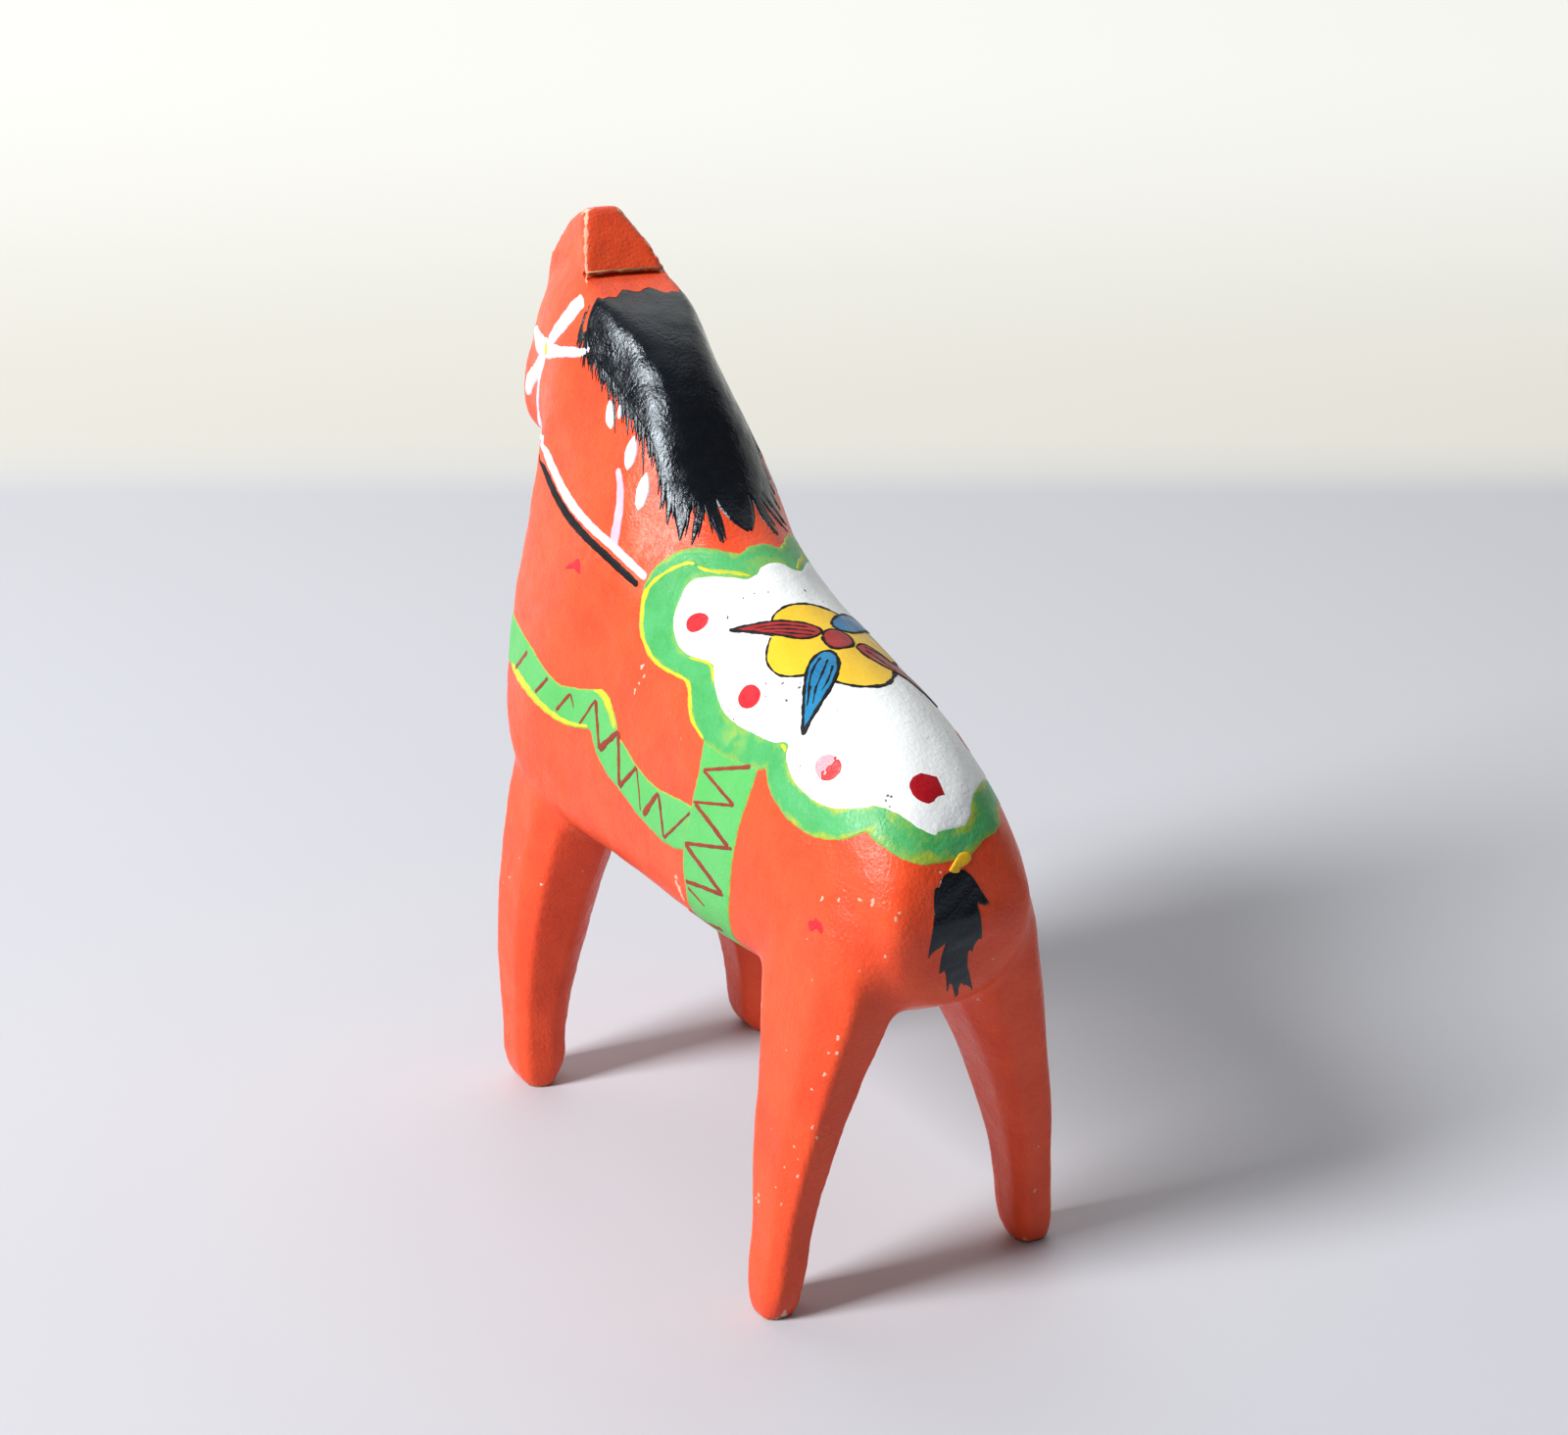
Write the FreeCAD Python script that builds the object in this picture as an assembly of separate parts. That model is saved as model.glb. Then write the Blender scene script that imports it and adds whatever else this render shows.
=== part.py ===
import FreeCAD, Part
import math
import os

os.makedirs("parts", exist_ok=True)
Vec = FreeCAD.Vector

# ---------------------------------------------------------------------------
# Dala horse: a carved pine block with painted decoration.  Millimetres.
# Frame: +Z up, the soles stand on Z = 0, the horse looks along -Y, its left
# side is +X and X = 0 is its plane of symmetry.  The origin is the middle of
# the footprint of the whole figure.
# ---------------------------------------------------------------------------

# driving dimensions
TOTAL_HEIGHT = 130.0   # sole to ear tip, the sections below are drawn for it
COAT_T = 0.20          # orange-red ground coat on the bare wood
FILM_T = 0.12          # first layer of decoration on the ground coat
DETAIL_T = 0.10        # second layer of decoration on the first
KERF_W = 0.60          # saw cut across the foot of the ears
KERF_DEPTH = 1.30
LINE_W = 0.30          # dark contour round the petals and the flower
Y_SHIFT = 9.64         # moves the drawing origin to the middle of the footprint

# Trunk, neck and head: closed rings from the rump forward to the muzzle.
# (top y, top z, bottom y, bottom z, half width, height of the widest line
#  from -1 at the bottom to +1 at the top, roundness above it, below it,
#  half width of the flat on the crest)
TRUNK = [
    (51.15, 56.00, 51.15, 53.00, 3.60, 0.00, 2.10, 2.10, 0.00),
    (50.75, 57.29, 50.75, 51.76, 7.00, 0.01, 2.10, 2.10, 0.00),
    (49.60, 62.57, 49.60, 46.33, 10.20, -0.02, 2.10, 2.10, 0.00),
    (47.20, 67.70, 47.60, 42.96, 11.45, -0.14, 2.10, 2.20, 0.00),
    (43.00, 72.12, 43.51, 40.99, 12.88, -0.26, 2.10, 2.40, 0.00),
    (37.00, 75.82, 37.51, 40.04, 14.66, -0.33, 2.00, 2.60, 0.00),
    (29.00, 78.99, 29.00, 39.64, 16.31, -0.36, 2.00, 2.70, 0.00),
    (19.99, 81.72, 17.89, 39.37, 17.51, -0.40, 2.00, 2.70, 0.00),
    (10.94, 84.66, 5.72, 39.26, 18.01, -0.43, 2.00, 2.70, 0.00),
    (2.79, 87.92, -6.48, 39.49, 18.10, -0.47, 2.00, 2.70, 0.00),
    (-4.00, 91.83, -18.72, 40.27, 18.72, -0.57, 2.00, 2.60, 1.00),
    (-9.42, 96.28, -31.00, 41.98, 19.73, -0.71, 2.00, 2.50, 2.50),
    (-13.53, 101.43, -42.19, 46.20, 20.45, -0.75, 2.00, 2.40, 3.10),
    (-17.70, 106.88, -50.59, 54.25, 18.21, -0.70, 2.00, 2.40, 3.00),
    (-22.85, 111.66, -54.73, 64.93, 15.38, -0.56, 2.00, 2.40, 3.60),
    (-27.91, 115.00, -54.78, 76.10, 13.08, -0.37, 2.10, 2.40, 4.80),
    (-33.05, 117.42, -52.90, 85.16, 10.90, -0.17, 2.20, 2.40, 6.20),
    (-39.17, 119.88, -53.26, 90.50, 8.71, -0.01, 2.40, 2.50, 6.60),
    (-47.88, 122.82, -56.36, 92.30, 7.20, 0.11, 2.40, 2.50, 4.00),
    (-55.45, 120.70, -59.98, 92.75, 6.13, 0.09, 2.40, 2.50, 2.50),
    (-62.00, 113.98, -64.04, 92.83, 5.13, 0.04, 2.40, 2.50, 2.00),
    (-67.02, 106.60, -67.53, 93.73, 4.79, -0.01, 2.40, 2.50, 1.50),
    (-70.43, 101.72, -69.92, 95.55, 3.37, -0.05, 2.40, 2.50, 0.50),
]

# Legs: rings from the sole upward into the trunk, left side of the horse.
# (z, centre x, centre y, half width, half depth, roundness)
HIND_LEG = [
    (0.00, 19.77, 37.83, 2.39, 2.37, 2.80),
    (1.50, 19.53, 37.62, 2.76, 3.20, 3.00),
    (8.00, 18.79, 37.57, 3.06, 4.18, 3.20),
    (20.00, 17.08, 37.44, 3.69, 5.84, 3.20),
    (32.00, 14.09, 36.93, 4.92, 7.93, 3.00),
    (44.00, 10.51, 35.96, 6.62, 10.85, 2.60),
    (56.00, 7.51, 34.69, 6.97, 12.50, 2.40),
    (66.00, 5.02, 33.71, 5.95, 11.43, 2.20),
]
FORE_LEG = [
    (0.00, 19.64, -37.58, 2.04, 3.70, 2.80),
    (1.50, 19.50, -37.74, 3.13, 4.24, 3.00),
    (8.00, 19.28, -37.99, 4.14, 4.82, 3.20),
    (20.00, 18.07, -38.15, 5.43, 6.03, 3.20),
    (32.00, 15.93, -38.07, 6.60, 7.84, 3.00),
    (44.00, 12.86, -37.37, 7.76, 9.98, 2.60),
    (56.00, 9.64, -35.91, 8.01, 11.70, 2.40),
    (66.00, 6.35, -34.45, 6.63, 10.62, 2.20),
]

# Ears: one wedge left standing, cut flat at the back.
# (back y, back z, front y, front z, half width at the back, at the front)
EARS = [
    (-38.8, 117.0, -57.0, 113.0, 6.8, 6.0),
    (-40.0, 120.2, -57.3, 117.5, 6.6, 5.4),
    (-43.8, 125.4, -57.0, 122.4, 4.9, 4.1),
    (-47.7, 130.0, -54.8, 127.4, 2.9, 2.2),
]

# Painted outlines on the flanks, as (y, z) seen from the side
SADDLE_FIELD = [
    (0.9, 88.9), (1.5, 88.5), (2.2, 87.9), (2.9, 87.4), (2.8, 87.0), (2.1, 87.0), (0.6, 87.0), (-1.0, 86.8),
    (-2.3, 86.5), (-3.3, 86.1), (-3.8, 85.6), (-4.1, 84.7), (-4.0, 83.6), (-3.9, 82.3), (-3.5, 81.2), (-2.8, 80.0),
    (-1.9, 79.0), (-0.5, 78.1), (0.9, 77.6), (2.1, 77.4), (4.4, 77.5), (6.5, 77.6), (7.7, 77.4), (8.5, 76.6),
    (9.5, 75.6), (10.8, 74.4), (12.5, 73.4), (14.2, 72.7), (16.1, 72.3), (18.2, 72.1), (20.4, 72.0), (22.2, 72.0),
    (23.9, 71.9), (24.9, 72.0), (26.1, 72.4), (26.8, 72.2), (26.9, 71.6), (27.5, 70.8), (28.4, 70.0), (29.6, 69.1),
    (30.8, 68.4), (32.4, 67.8), (34.3, 67.4), (36.0, 67.3), (37.5, 67.3), (39.2, 67.6), (40.6, 68.0), (41.7, 68.3),
    (42.1, 68.6), (43.0, 68.6), (44.0, 68.4), (45.1, 68.0), (46.2, 67.3), (47.2, 66.6), (47.7, 66.1), (48.1, 65.8),
    (48.3, 65.7), (48.2, 65.8), (48.0, 66.2)]
SADDLE_EDGE = [
    (-2.7, 91.0), (-2.4, 90.7), (-1.8, 90.2), (-1.4, 89.7), (-1.2, 89.4), (-1.8, 89.4), (-3.0, 89.6), (-4.0, 89.7),
    (-4.9, 89.7), (-6.1, 89.6), (-7.2, 89.3), (-8.2, 88.7), (-9.0, 87.9), (-9.8, 87.0), (-10.4, 86.0), (-10.8, 84.4),
    (-10.8, 82.9), (-10.4, 81.0), (-9.8, 79.4), (-8.8, 77.8), (-7.5, 76.6), (-5.8, 75.5), (-3.6, 74.9), (-1.6, 74.6),
    (0.8, 74.6), (2.7, 74.6), (3.9, 74.5), (4.6, 73.7), (5.4, 72.5), (6.4, 71.2), (7.6, 70.3), (9.5, 69.5),
    (11.6, 68.8), (16.7, 68.3), (23.6, 68.6), (24.9, 69.0), (25.9, 67.6), (27.5, 66.3), (30.5, 64.7), (32.2, 64.2),
    (33.8, 63.8), (35.6, 63.6), (37.2, 63.6), (39.2, 63.9), (40.7, 64.4), (41.8, 65.1), (43.0, 65.8), (44.1, 65.3),
    (45.6, 64.7), (46.8, 64.1), (47.8, 63.6), (48.5, 63.3), (48.9, 63.0), (49.2, 62.9), (49.4, 62.8), (49.5, 62.8)]
MANE_EDGE = [
    (-37.3, 119.3), (-36.7, 117.3), (-36.9, 115.6), (-36.6, 113.6), (-35.6, 111.8), (-33.8, 109.9),
    (-32.0, 109.9), (-30.4, 107.4), (-29.4, 108.2), (-27.8, 105.2), (-27.0, 106.2), (-25.2, 101.6),
    (-24.6, 104.3), (-22.9, 101.4), (-21.6, 102.8), (-20.2, 100.2), (-19.4, 101.2), (-17.6, 96.9),
    (-16.9, 99.6), (-15.4, 96.2), (-14.8, 97.4), (-13.2, 93.9), (-12.4, 95.2), (-11.2, 91.8),
    (-10.6, 94.2), (-9.2, 90.2), (-8.6, 92.8), (-7.6, 90.0), (-7.2, 93.0), (-5.6, 90.5),
    (-5.2, 92.2), (-4.1, 90.4), (-3.9, 91.8)]
BREAST_TOP = [
    (-46.2, 70.8), (-39.4, 70.2), (-33.7, 69.3), (-29.4, 67.9), (-26.2, 67.0), (-24.4, 66.8),
    (-21.4, 67.2), (-18.4, 67.8), (-15.7, 68.4), (-13.4, 68.3), (-11.8, 67.2), (-10.4, 65.5),
    (-9.2, 63.8), (-6.8, 62.4), (-3.8, 61.0), (-0.1, 60.1), (3.5, 59.9), (7.6, 60.2), (11.8, 60.3)]
BREAST_BOTTOM = [
    (10.2, 53.7), (7.7, 53.2), (4.1, 53.0), (0.5, 53.5), (-3.2, 54.5), (-8.1, 56.2), (-12.3, 57.6),
    (-14.5, 59.1), (-16.0, 60.8), (-17.2, 62.2), (-20.8, 61.6), (-24.0, 61.2), (-27.3, 61.4),
    (-30.7, 62.1), (-35.0, 63.1), (-40.3, 63.7), (-45.1, 64.1)]
GIRTH_FRONT = [
    (11.4, 68.9), (12.0, 64.6), (11.8, 60.3), (10.6, 56.3), (10.2, 53.7), (10.2, 51.6), (10.6, 48.6), (9.6, 45.6)]
GIRTH_BACK = [
    (20.4, 44.9), (21.2, 47.5), (22.0, 51.9), (22.3, 56.1), (22.8, 59.5), (23.3, 63.5), (23.6, 66.4), (23.6, 68.6)]
BRIDLE_STROKES = [
  [
      (-40.4, 118.2), (-41.0, 117.4), (-41.7, 116.6), (-42.4, 115.8), (-43.2, 114.9), (-44.0, 114.1), (-44.9, 113.2), (-45.9, 112.3),
      (-47.0, 111.3), (-48.2, 110.4), (-48.1, 110.0), (-46.5, 110.0), (-45.1, 110.5), (-43.7, 111.4), (-42.5, 112.3), (-41.5, 113.2),
      (-40.6, 114.0), (-39.9, 114.9), (-39.2, 115.6), (-38.6, 116.4), (-38.0, 117.1), (-37.5, 117.9), (-37.9, 118.5), (-39.2, 118.6)],
  [
      (-62.2, 109.4), (-60.4, 108.9), (-57.6, 108.6), (-54.5, 108.5), (-51.3, 108.6), (-48.2, 108.7), (-44.6, 109.0), (-40.5, 109.6),
      (-38.1, 110.1), (-36.4, 110.5), (-35.0, 110.9), (-33.9, 111.5), (-33.2, 112.2), (-32.8, 112.9), (-32.8, 113.0), (-32.9, 113.0),
      (-33.0, 113.0), (-33.8, 112.4), (-34.7, 112.0), (-35.8, 111.7), (-37.1, 111.6), (-38.9, 111.3), (-41.1, 111.0), (-43.4, 110.7),
      (-46.0, 110.5), (-48.6, 110.4), (-50.9, 110.4), (-52.8, 110.4), (-54.4, 110.7), (-56.0, 111.1), (-59.0, 110.9), (-61.2, 110.2)],
  [
      (-49.5, 108.7), (-51.7, 107.8), (-54.0, 106.9), (-56.3, 105.9), (-58.9, 104.9), (-61.6, 103.8), (-63.6, 102.8), (-65.0, 101.9),
      (-66.4, 101.0), (-67.8, 100.0), (-67.8, 99.2), (-65.9, 99.2), (-64.2, 99.9), (-63.1, 100.8), (-61.7, 101.7), (-59.7, 102.7),
      (-57.4, 103.8), (-55.0, 104.8), (-52.7, 105.8), (-50.6, 106.8), (-48.7, 107.7), (-46.9, 108.6), (-46.6, 109.1), (-47.9, 109.1)]]
BRIDLE_DOT = [
    (-47.5, 108.7), (-48.6, 108.6), (-49.4, 108.7), (-49.7, 109.0), (-49.4, 109.5), (-48.9, 109.9), (-48.4, 110.3), (-47.9, 110.4),
    (-47.3, 110.5), (-46.6, 110.3), (-46.0, 110.1), (-45.6, 109.8), (-45.6, 109.4), (-46.3, 109.0)]
REIN_STROKE = [
    (-44.2, 95.4), (-41.5, 94.4), (-39.0, 93.4), (-36.5, 92.4), (-34.0, 91.4), (-31.4, 90.6), (-28.7, 89.8), (-25.9, 89.1),
    (-23.3, 88.4), (-21.1, 87.6), (-19.1, 86.8), (-17.2, 86.1), (-15.4, 85.4), (-13.5, 84.7), (-11.6, 84.1), (-10.7, 84.1),
    (-10.4, 84.6), (-10.9, 85.2), (-12.8, 85.9), (-14.6, 86.6), (-16.4, 87.3), (-18.2, 88.0), (-20.0, 88.7), (-22.1, 89.5),
    (-24.5, 90.2), (-27.1, 90.8), (-29.7, 91.6), (-32.2, 92.4), (-34.7, 93.3), (-37.0, 94.2), (-39.1, 95.3), (-41.5, 96.3),
    (-44.2, 97.3)]
# the rein drops from the crossing of the bridle over the cheek to the throat
REIN_CHEEK = [(-47.8, 110.0), (-48.6, 108.0), (-51.6, 105.2), (-53.2, 101.8), (-51.4, 98.2), (-46.5, 96.6), (-41.5, 94.9)]
REIN_WIDTH = 1.3
REIN_SHADOW = [
    (-44.3, 94.8), (-43.1, 93.3), (-40.4, 92.2), (-37.7, 91.1), (-35.0, 90.1), (-32.1, 89.1), (-29.1, 88.3), (-26.0, 87.6),
    (-23.3, 86.8), (-20.9, 86.0), (-18.8, 85.1), (-16.8, 84.3), (-14.7, 83.7), (-12.4, 83.1), (-11.8, 83.2), (-11.6, 83.7),
    (-12.1, 84.0), (-14.2, 84.5), (-16.2, 85.2), (-18.1, 85.9), (-20.1, 86.8), (-22.4, 87.6), (-25.1, 88.3), (-28.0, 89.0),
    (-30.9, 89.8), (-33.8, 90.7), (-36.5, 91.6), (-39.1, 92.6), (-41.5, 93.8), (-43.9, 95.0), (-43.9, 95.1), (-44.1, 95.0)]
NECK_STROKE = [
    (-22.4, 97.5), (-21.5, 96.5), (-20.8, 95.4), (-20.3, 94.4), (-19.9, 93.3), (-19.5, 92.1), (-19.3, 91.0), (-19.2, 89.8),
    (-18.9, 88.6), (-18.6, 87.4), (-18.2, 87.0), (-17.5, 87.1), (-17.2, 87.6), (-17.5, 88.7), (-17.6, 89.9), (-17.8, 91.1),
    (-18.0, 92.2), (-18.4, 93.4), (-18.8, 94.6), (-19.4, 95.7), (-20.3, 96.8), (-21.3, 97.9), (-21.9, 98.1), (-22.4, 97.9)]
NECK_DROPS = [
  [
      (-25.7, 102.4), (-26.5, 102.4), (-27.2, 102.8), (-27.7, 103.4), (-28.0, 104.2), (-28.0, 104.9), (-27.9, 105.5), (-27.6, 105.7),
      (-27.2, 105.6), (-26.6, 105.2), (-25.9, 104.6), (-25.3, 103.9), (-25.0, 103.2), (-25.2, 102.7)],
  [
      (-19.9, 97.8), (-20.6, 98.0), (-21.2, 98.6), (-21.6, 99.5), (-21.6, 100.4), (-21.4, 101.3), (-21.2, 101.9), (-20.9, 102.1),
      (-20.6, 101.9), (-20.1, 101.3), (-19.5, 100.4), (-19.1, 99.5), (-19.0, 98.6), (-19.3, 98.0)],
  [
      (-15.9, 93.1), (-16.5, 93.4), (-17.0, 94.1), (-17.2, 95.0), (-17.3, 96.1), (-17.1, 97.0), (-16.9, 97.6), (-16.7, 97.8),
      (-16.3, 97.6), (-15.9, 96.9), (-15.4, 95.9), (-15.1, 94.9), (-15.0, 93.9), (-15.3, 93.3)]]
BREAST_ZIGZAG = [
  [
      (-36.7, 68.5), (-42.1, 64.6), (-41.9, 64.4), (-41.0, 64.7), (-35.8, 68.6), (-36.0, 68.8)],
  [
      (-28.5, 67.0), (-32.3, 63.8), (-32.2, 63.6), (-31.6, 63.8), (-27.9, 66.9), (-28.0, 67.2)],
  [
      (-22.7, 66.2), (-26.3, 62.7), (-26.2, 62.5), (-25.7, 62.6), (-22.2, 66.1), (-22.3, 66.3)],
  [
      (-22.7, 66.0), (-21.5, 64.2), (-21.3, 64.2), (-21.2, 64.3), (-22.3, 66.2), (-22.5, 66.2)],
  [
      (-19.7, 62.3), (-15.7, 66.9), (-15.8, 67.1), (-16.2, 67.0), (-20.1, 62.4), (-20.0, 62.2)],
  [
      (-16.3, 66.8), (-14.4, 60.2), (-14.0, 60.1), (-13.6, 60.4), (-15.6, 67.1), (-16.0, 67.1)],
  [
      (-13.5, 60.2), (-9.1, 64.1), (-9.1, 64.5), (-9.8, 64.3), (-14.6, 60.4), (-14.5, 59.9)],
  [
      (-9.8, 64.1), (-8.6, 56.6), (-8.1, 56.5), (-7.7, 56.9), (-9.1, 64.3), (-9.5, 64.4)],
  [
      (-7.8, 56.7), (-3.5, 60.9), (-3.5, 61.1), (-4.1, 60.9), (-8.5, 56.8), (-8.5, 56.5)],
  [
      (-4.0, 60.8), (-2.3, 55.1), (-2.1, 55.1), (-1.9, 55.2), (-3.6, 61.0), (-3.8, 61.0)],
  [
      (-0.8, 54.9), (3.2, 59.3), (3.1, 59.6), (2.5, 59.3), (-1.9, 54.9), (-1.7, 54.5)],
  [
      (2.5, 59.2), (4.7, 53.6), (5.0, 53.5), (5.3, 53.8), (3.2, 59.5), (2.8, 59.5)],
  [
      (5.3, 53.6), (11.9, 59.4), (11.8, 59.6), (11.5, 59.5), (4.7, 53.7), (4.7, 53.5)]]
GIRTH_ZIGZAG = [
  [
      (22.0, 68.7), (12.8, 65.7), (12.5, 65.4), (13.0, 65.3), (22.4, 68.3), (22.6, 68.6)],
  [
      (12.7, 65.3), (20.9, 63.0), (21.4, 63.2), (21.3, 63.4), (13.1, 65.7), (12.6, 65.6)],
  [
      (21.1, 63.4), (12.1, 61.2), (11.7, 60.9), (12.1, 60.8), (21.1, 63.0), (21.4, 63.3)],
  [
      (11.8, 60.8), (21.0, 57.5), (21.6, 57.6), (21.6, 58.0), (12.3, 61.2), (11.8, 61.1)],
  [
      (22.1, 58.1), (10.7, 55.2), (10.2, 54.8), (10.6, 54.7), (22.1, 57.6), (22.5, 58.0)],
  [
      (10.3, 54.7), (19.9, 50.7), (20.5, 50.9), (20.6, 51.3), (11.0, 55.2), (10.4, 55.0)],
  [
      (20.4, 51.3), (11.0, 49.8), (10.4, 49.5), (10.6, 49.3), (20.1, 50.7), (20.6, 51.1)],
  [
      (10.6, 49.4), (15.1, 47.3), (15.3, 47.4), (15.5, 47.6), (11.1, 49.7), (10.7, 49.6)]]
BREAST_GLAZE = [
  [
      (-45.0, 63.9), (-42.0, 63.8), (-39.3, 63.6), (-36.9, 63.3), (-34.7, 63.0), (-32.8, 62.6), (-31.0, 62.2), (-29.3, 61.9),
      (-27.6, 61.6), (-25.8, 61.4), (-23.9, 61.4), (-21.8, 61.6), (-19.7, 62.0), (-17.6, 62.5), (-17.3, 62.6), (-17.2, 62.9),
      (-17.6, 62.9), (-19.6, 62.5), (-21.6, 62.2), (-23.5, 62.1), (-25.2, 62.1), (-26.9, 62.3), (-28.5, 62.6), (-30.1, 63.0),
      (-31.7, 63.4), (-33.5, 63.8), (-35.4, 64.1), (-37.7, 64.4), (-40.4, 64.6), (-43.4, 64.7), (-44.3, 64.5), (-45.2, 64.1)],
  [
      (-17.0, 67.9), (-15.7, 67.9), (-15.0, 67.6), (-14.3, 67.3), (-13.6, 66.8), (-13.0, 66.3), (-12.5, 65.8), (-11.9, 65.2),
      (-11.3, 64.7), (-10.7, 64.1), (-10.4, 64.1), (-10.0, 64.2), (-10.0, 64.5), (-10.4, 65.1), (-10.8, 65.7), (-11.2, 66.3),
      (-11.7, 66.9), (-12.2, 67.5), (-12.9, 68.1), (-14.0, 68.5), (-15.4, 68.5), (-16.9, 68.1), (-17.1, 68.0), (-17.1, 67.9)]]
SADDLE_GLAZE = [
  [
      (-4.6, 87.9), (-5.7, 87.9), (-6.6, 87.6), (-7.3, 87.1), (-8.1, 86.5), (-8.7, 85.9), (-9.4, 85.2), (-9.9, 84.5),
      (-10.4, 83.6), (-10.6, 82.7), (-10.5, 81.8), (-10.2, 80.8), (-9.8, 80.0), (-9.4, 79.1), (-9.0, 78.2), (-8.3, 77.4),
      (-7.4, 76.7), (-6.4, 76.0), (-5.3, 75.5), (-4.0, 75.1), (-2.5, 74.8), (-1.0, 74.6), (0.5, 74.6), (2.1, 74.5),
      (3.5, 74.5), (4.4, 74.0), (4.9, 73.3), (5.4, 72.5), (5.9, 71.7), (6.6, 70.9), (7.6, 70.3), (8.7, 69.8),
      (10.0, 69.3), (11.2, 68.9), (11.4, 68.9), (11.5, 69.0), (11.5, 69.2), (10.3, 69.6), (9.2, 70.1), (8.1, 70.6),
      (7.2, 71.2), (6.7, 71.9), (6.2, 72.7), (5.7, 73.5), (5.1, 74.3), (3.8, 74.9), (2.2, 75.0), (0.6, 75.0),
      (-0.8, 75.1), (-2.3, 75.2), (-3.6, 75.5), (-4.8, 75.8), (-5.9, 76.4), (-6.8, 77.0), (-7.6, 77.7), (-8.2, 78.5),
      (-8.7, 79.3), (-9.1, 80.1), (-9.4, 81.0), (-9.6, 81.8), (-9.7, 82.6), (-9.6, 83.5), (-9.3, 84.2), (-8.8, 85.0),
      (-8.2, 85.7), (-7.6, 86.3), (-6.9, 86.8), (-6.1, 87.2), (-5.4, 87.6), (-4.5, 87.6), (-4.3, 87.6), (-4.4, 87.8)],
  [
      (-4.1, 87.4), (-2.8, 87.1), (-1.7, 87.1), (-0.7, 87.1), (0.2, 87.2), (1.1, 87.2), (2.0, 87.2), (2.9, 87.1),
      (2.9, 87.2), (2.8, 87.3), (2.6, 87.3), (1.7, 87.5), (0.7, 87.6), (-0.2, 87.6), (-1.0, 87.5), (-2.0, 87.5),
      (-3.0, 87.5), (-4.2, 87.7), (-4.4, 87.7), (-4.3, 87.5)],
  [
      (2.4, 77.2), (3.6, 77.2), (4.8, 77.3), (6.1, 77.4), (7.0, 77.3), (7.7, 76.8), (8.4, 76.3), (9.0, 75.6),
      (9.2, 75.6), (9.3, 75.6), (9.3, 75.7), (8.8, 76.4), (8.2, 77.0), (7.2, 77.6), (6.0, 77.7), (4.7, 77.6),
      (3.5, 77.5), (2.3, 77.3), (2.2, 77.3), (2.2, 77.2)]]
SADDLE_DOTS = [
  [
      (2.5, 82.2), (1.6, 82.6), (0.4, 82.5), (-0.6, 82.0), (-1.0, 81.2), (-0.4, 80.4), (0.6, 80.1), (1.8, 80.4),
      (2.6, 81.0), (2.8, 81.7)],
  [
      (16.0, 77.0), (17.2, 76.9), (18.2, 76.4), (18.6, 75.7), (18.3, 75.0), (17.6, 74.5), (16.4, 74.3), (15.3, 74.6),
      (14.7, 75.3), (14.6, 76.1), (15.0, 76.7)],
  [
      (33.2, 72.6), (34.0, 72.7), (34.9, 72.3), (35.6, 71.8), (36.0, 71.1), (35.7, 70.5), (35.1, 70.0), (34.1, 69.9),
      (33.2, 70.2), (32.4, 70.9), (32.1, 71.7), (32.3, 72.3)],
  [
      (42.8, 72.0), (43.3, 71.8), (44.1, 71.2), (44.9, 70.5), (45.5, 69.8), (45.9, 69.3), (45.9, 69.1), (45.4, 69.4),
      (44.7, 69.9), (43.9, 70.5), (43.3, 71.1), (42.9, 71.7)]]
MARKS = [
    [(-24.6, 85.0), (-23.4, 82.9), (-27.9, 82.4), (-27.0, 83.4)],
    [(38.5, 54.3), (39.8, 53.8), (41.1, 54.9), (41.3, 53.7), (40.2, 52.4), (39.0, 53.0)]]

# Painted outlines on the back, as (x, y) seen from above
FLOWER = [
    (5.1, 11.3), (4.5, 10.6), (3.5, 10.2), (2.1, 10.1), (0.8, 10.3), (-0.5, 10.6), (-1.7, 11.0), (-2.9, 11.6),
    (-4.0, 12.4), (-4.8, 13.6), (-6.2, 14.2), (-7.6, 15.6), (-8.4, 17.6), (-8.3, 19.8), (-7.4, 21.8), (-6.4, 23.2),
    (-5.2, 25.6), (-3.9, 26.8), (-2.4, 28.4), (-0.7, 29.3), (0.6, 29.1), (1.8, 28.6), (2.7, 27.8), (3.6, 26.8),
    (4.1, 25.8), (5.1, 23.6), (6.1, 21.9), (6.9, 21.0), (7.5, 20.1), (8.1, 18.9), (8.3, 17.6), (8.3, 16.3),
    (8.0, 15.2), (7.5, 14.3), (6.8, 13.6), (6.2, 13.1), (5.2, 12.6)]
FLOWER_CENTRE = [
    (1.1, 17.5), (0.5, 16.8), (-0.4, 16.6), (-1.2, 16.7), (-1.9, 17.2), (-2.3, 18.0), (-2.3, 19.2), (-1.8, 20.2),
    (-0.8, 20.7), (0.4, 20.7), (1.1, 20.4), (1.4, 19.6), (1.4, 18.5)]
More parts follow.
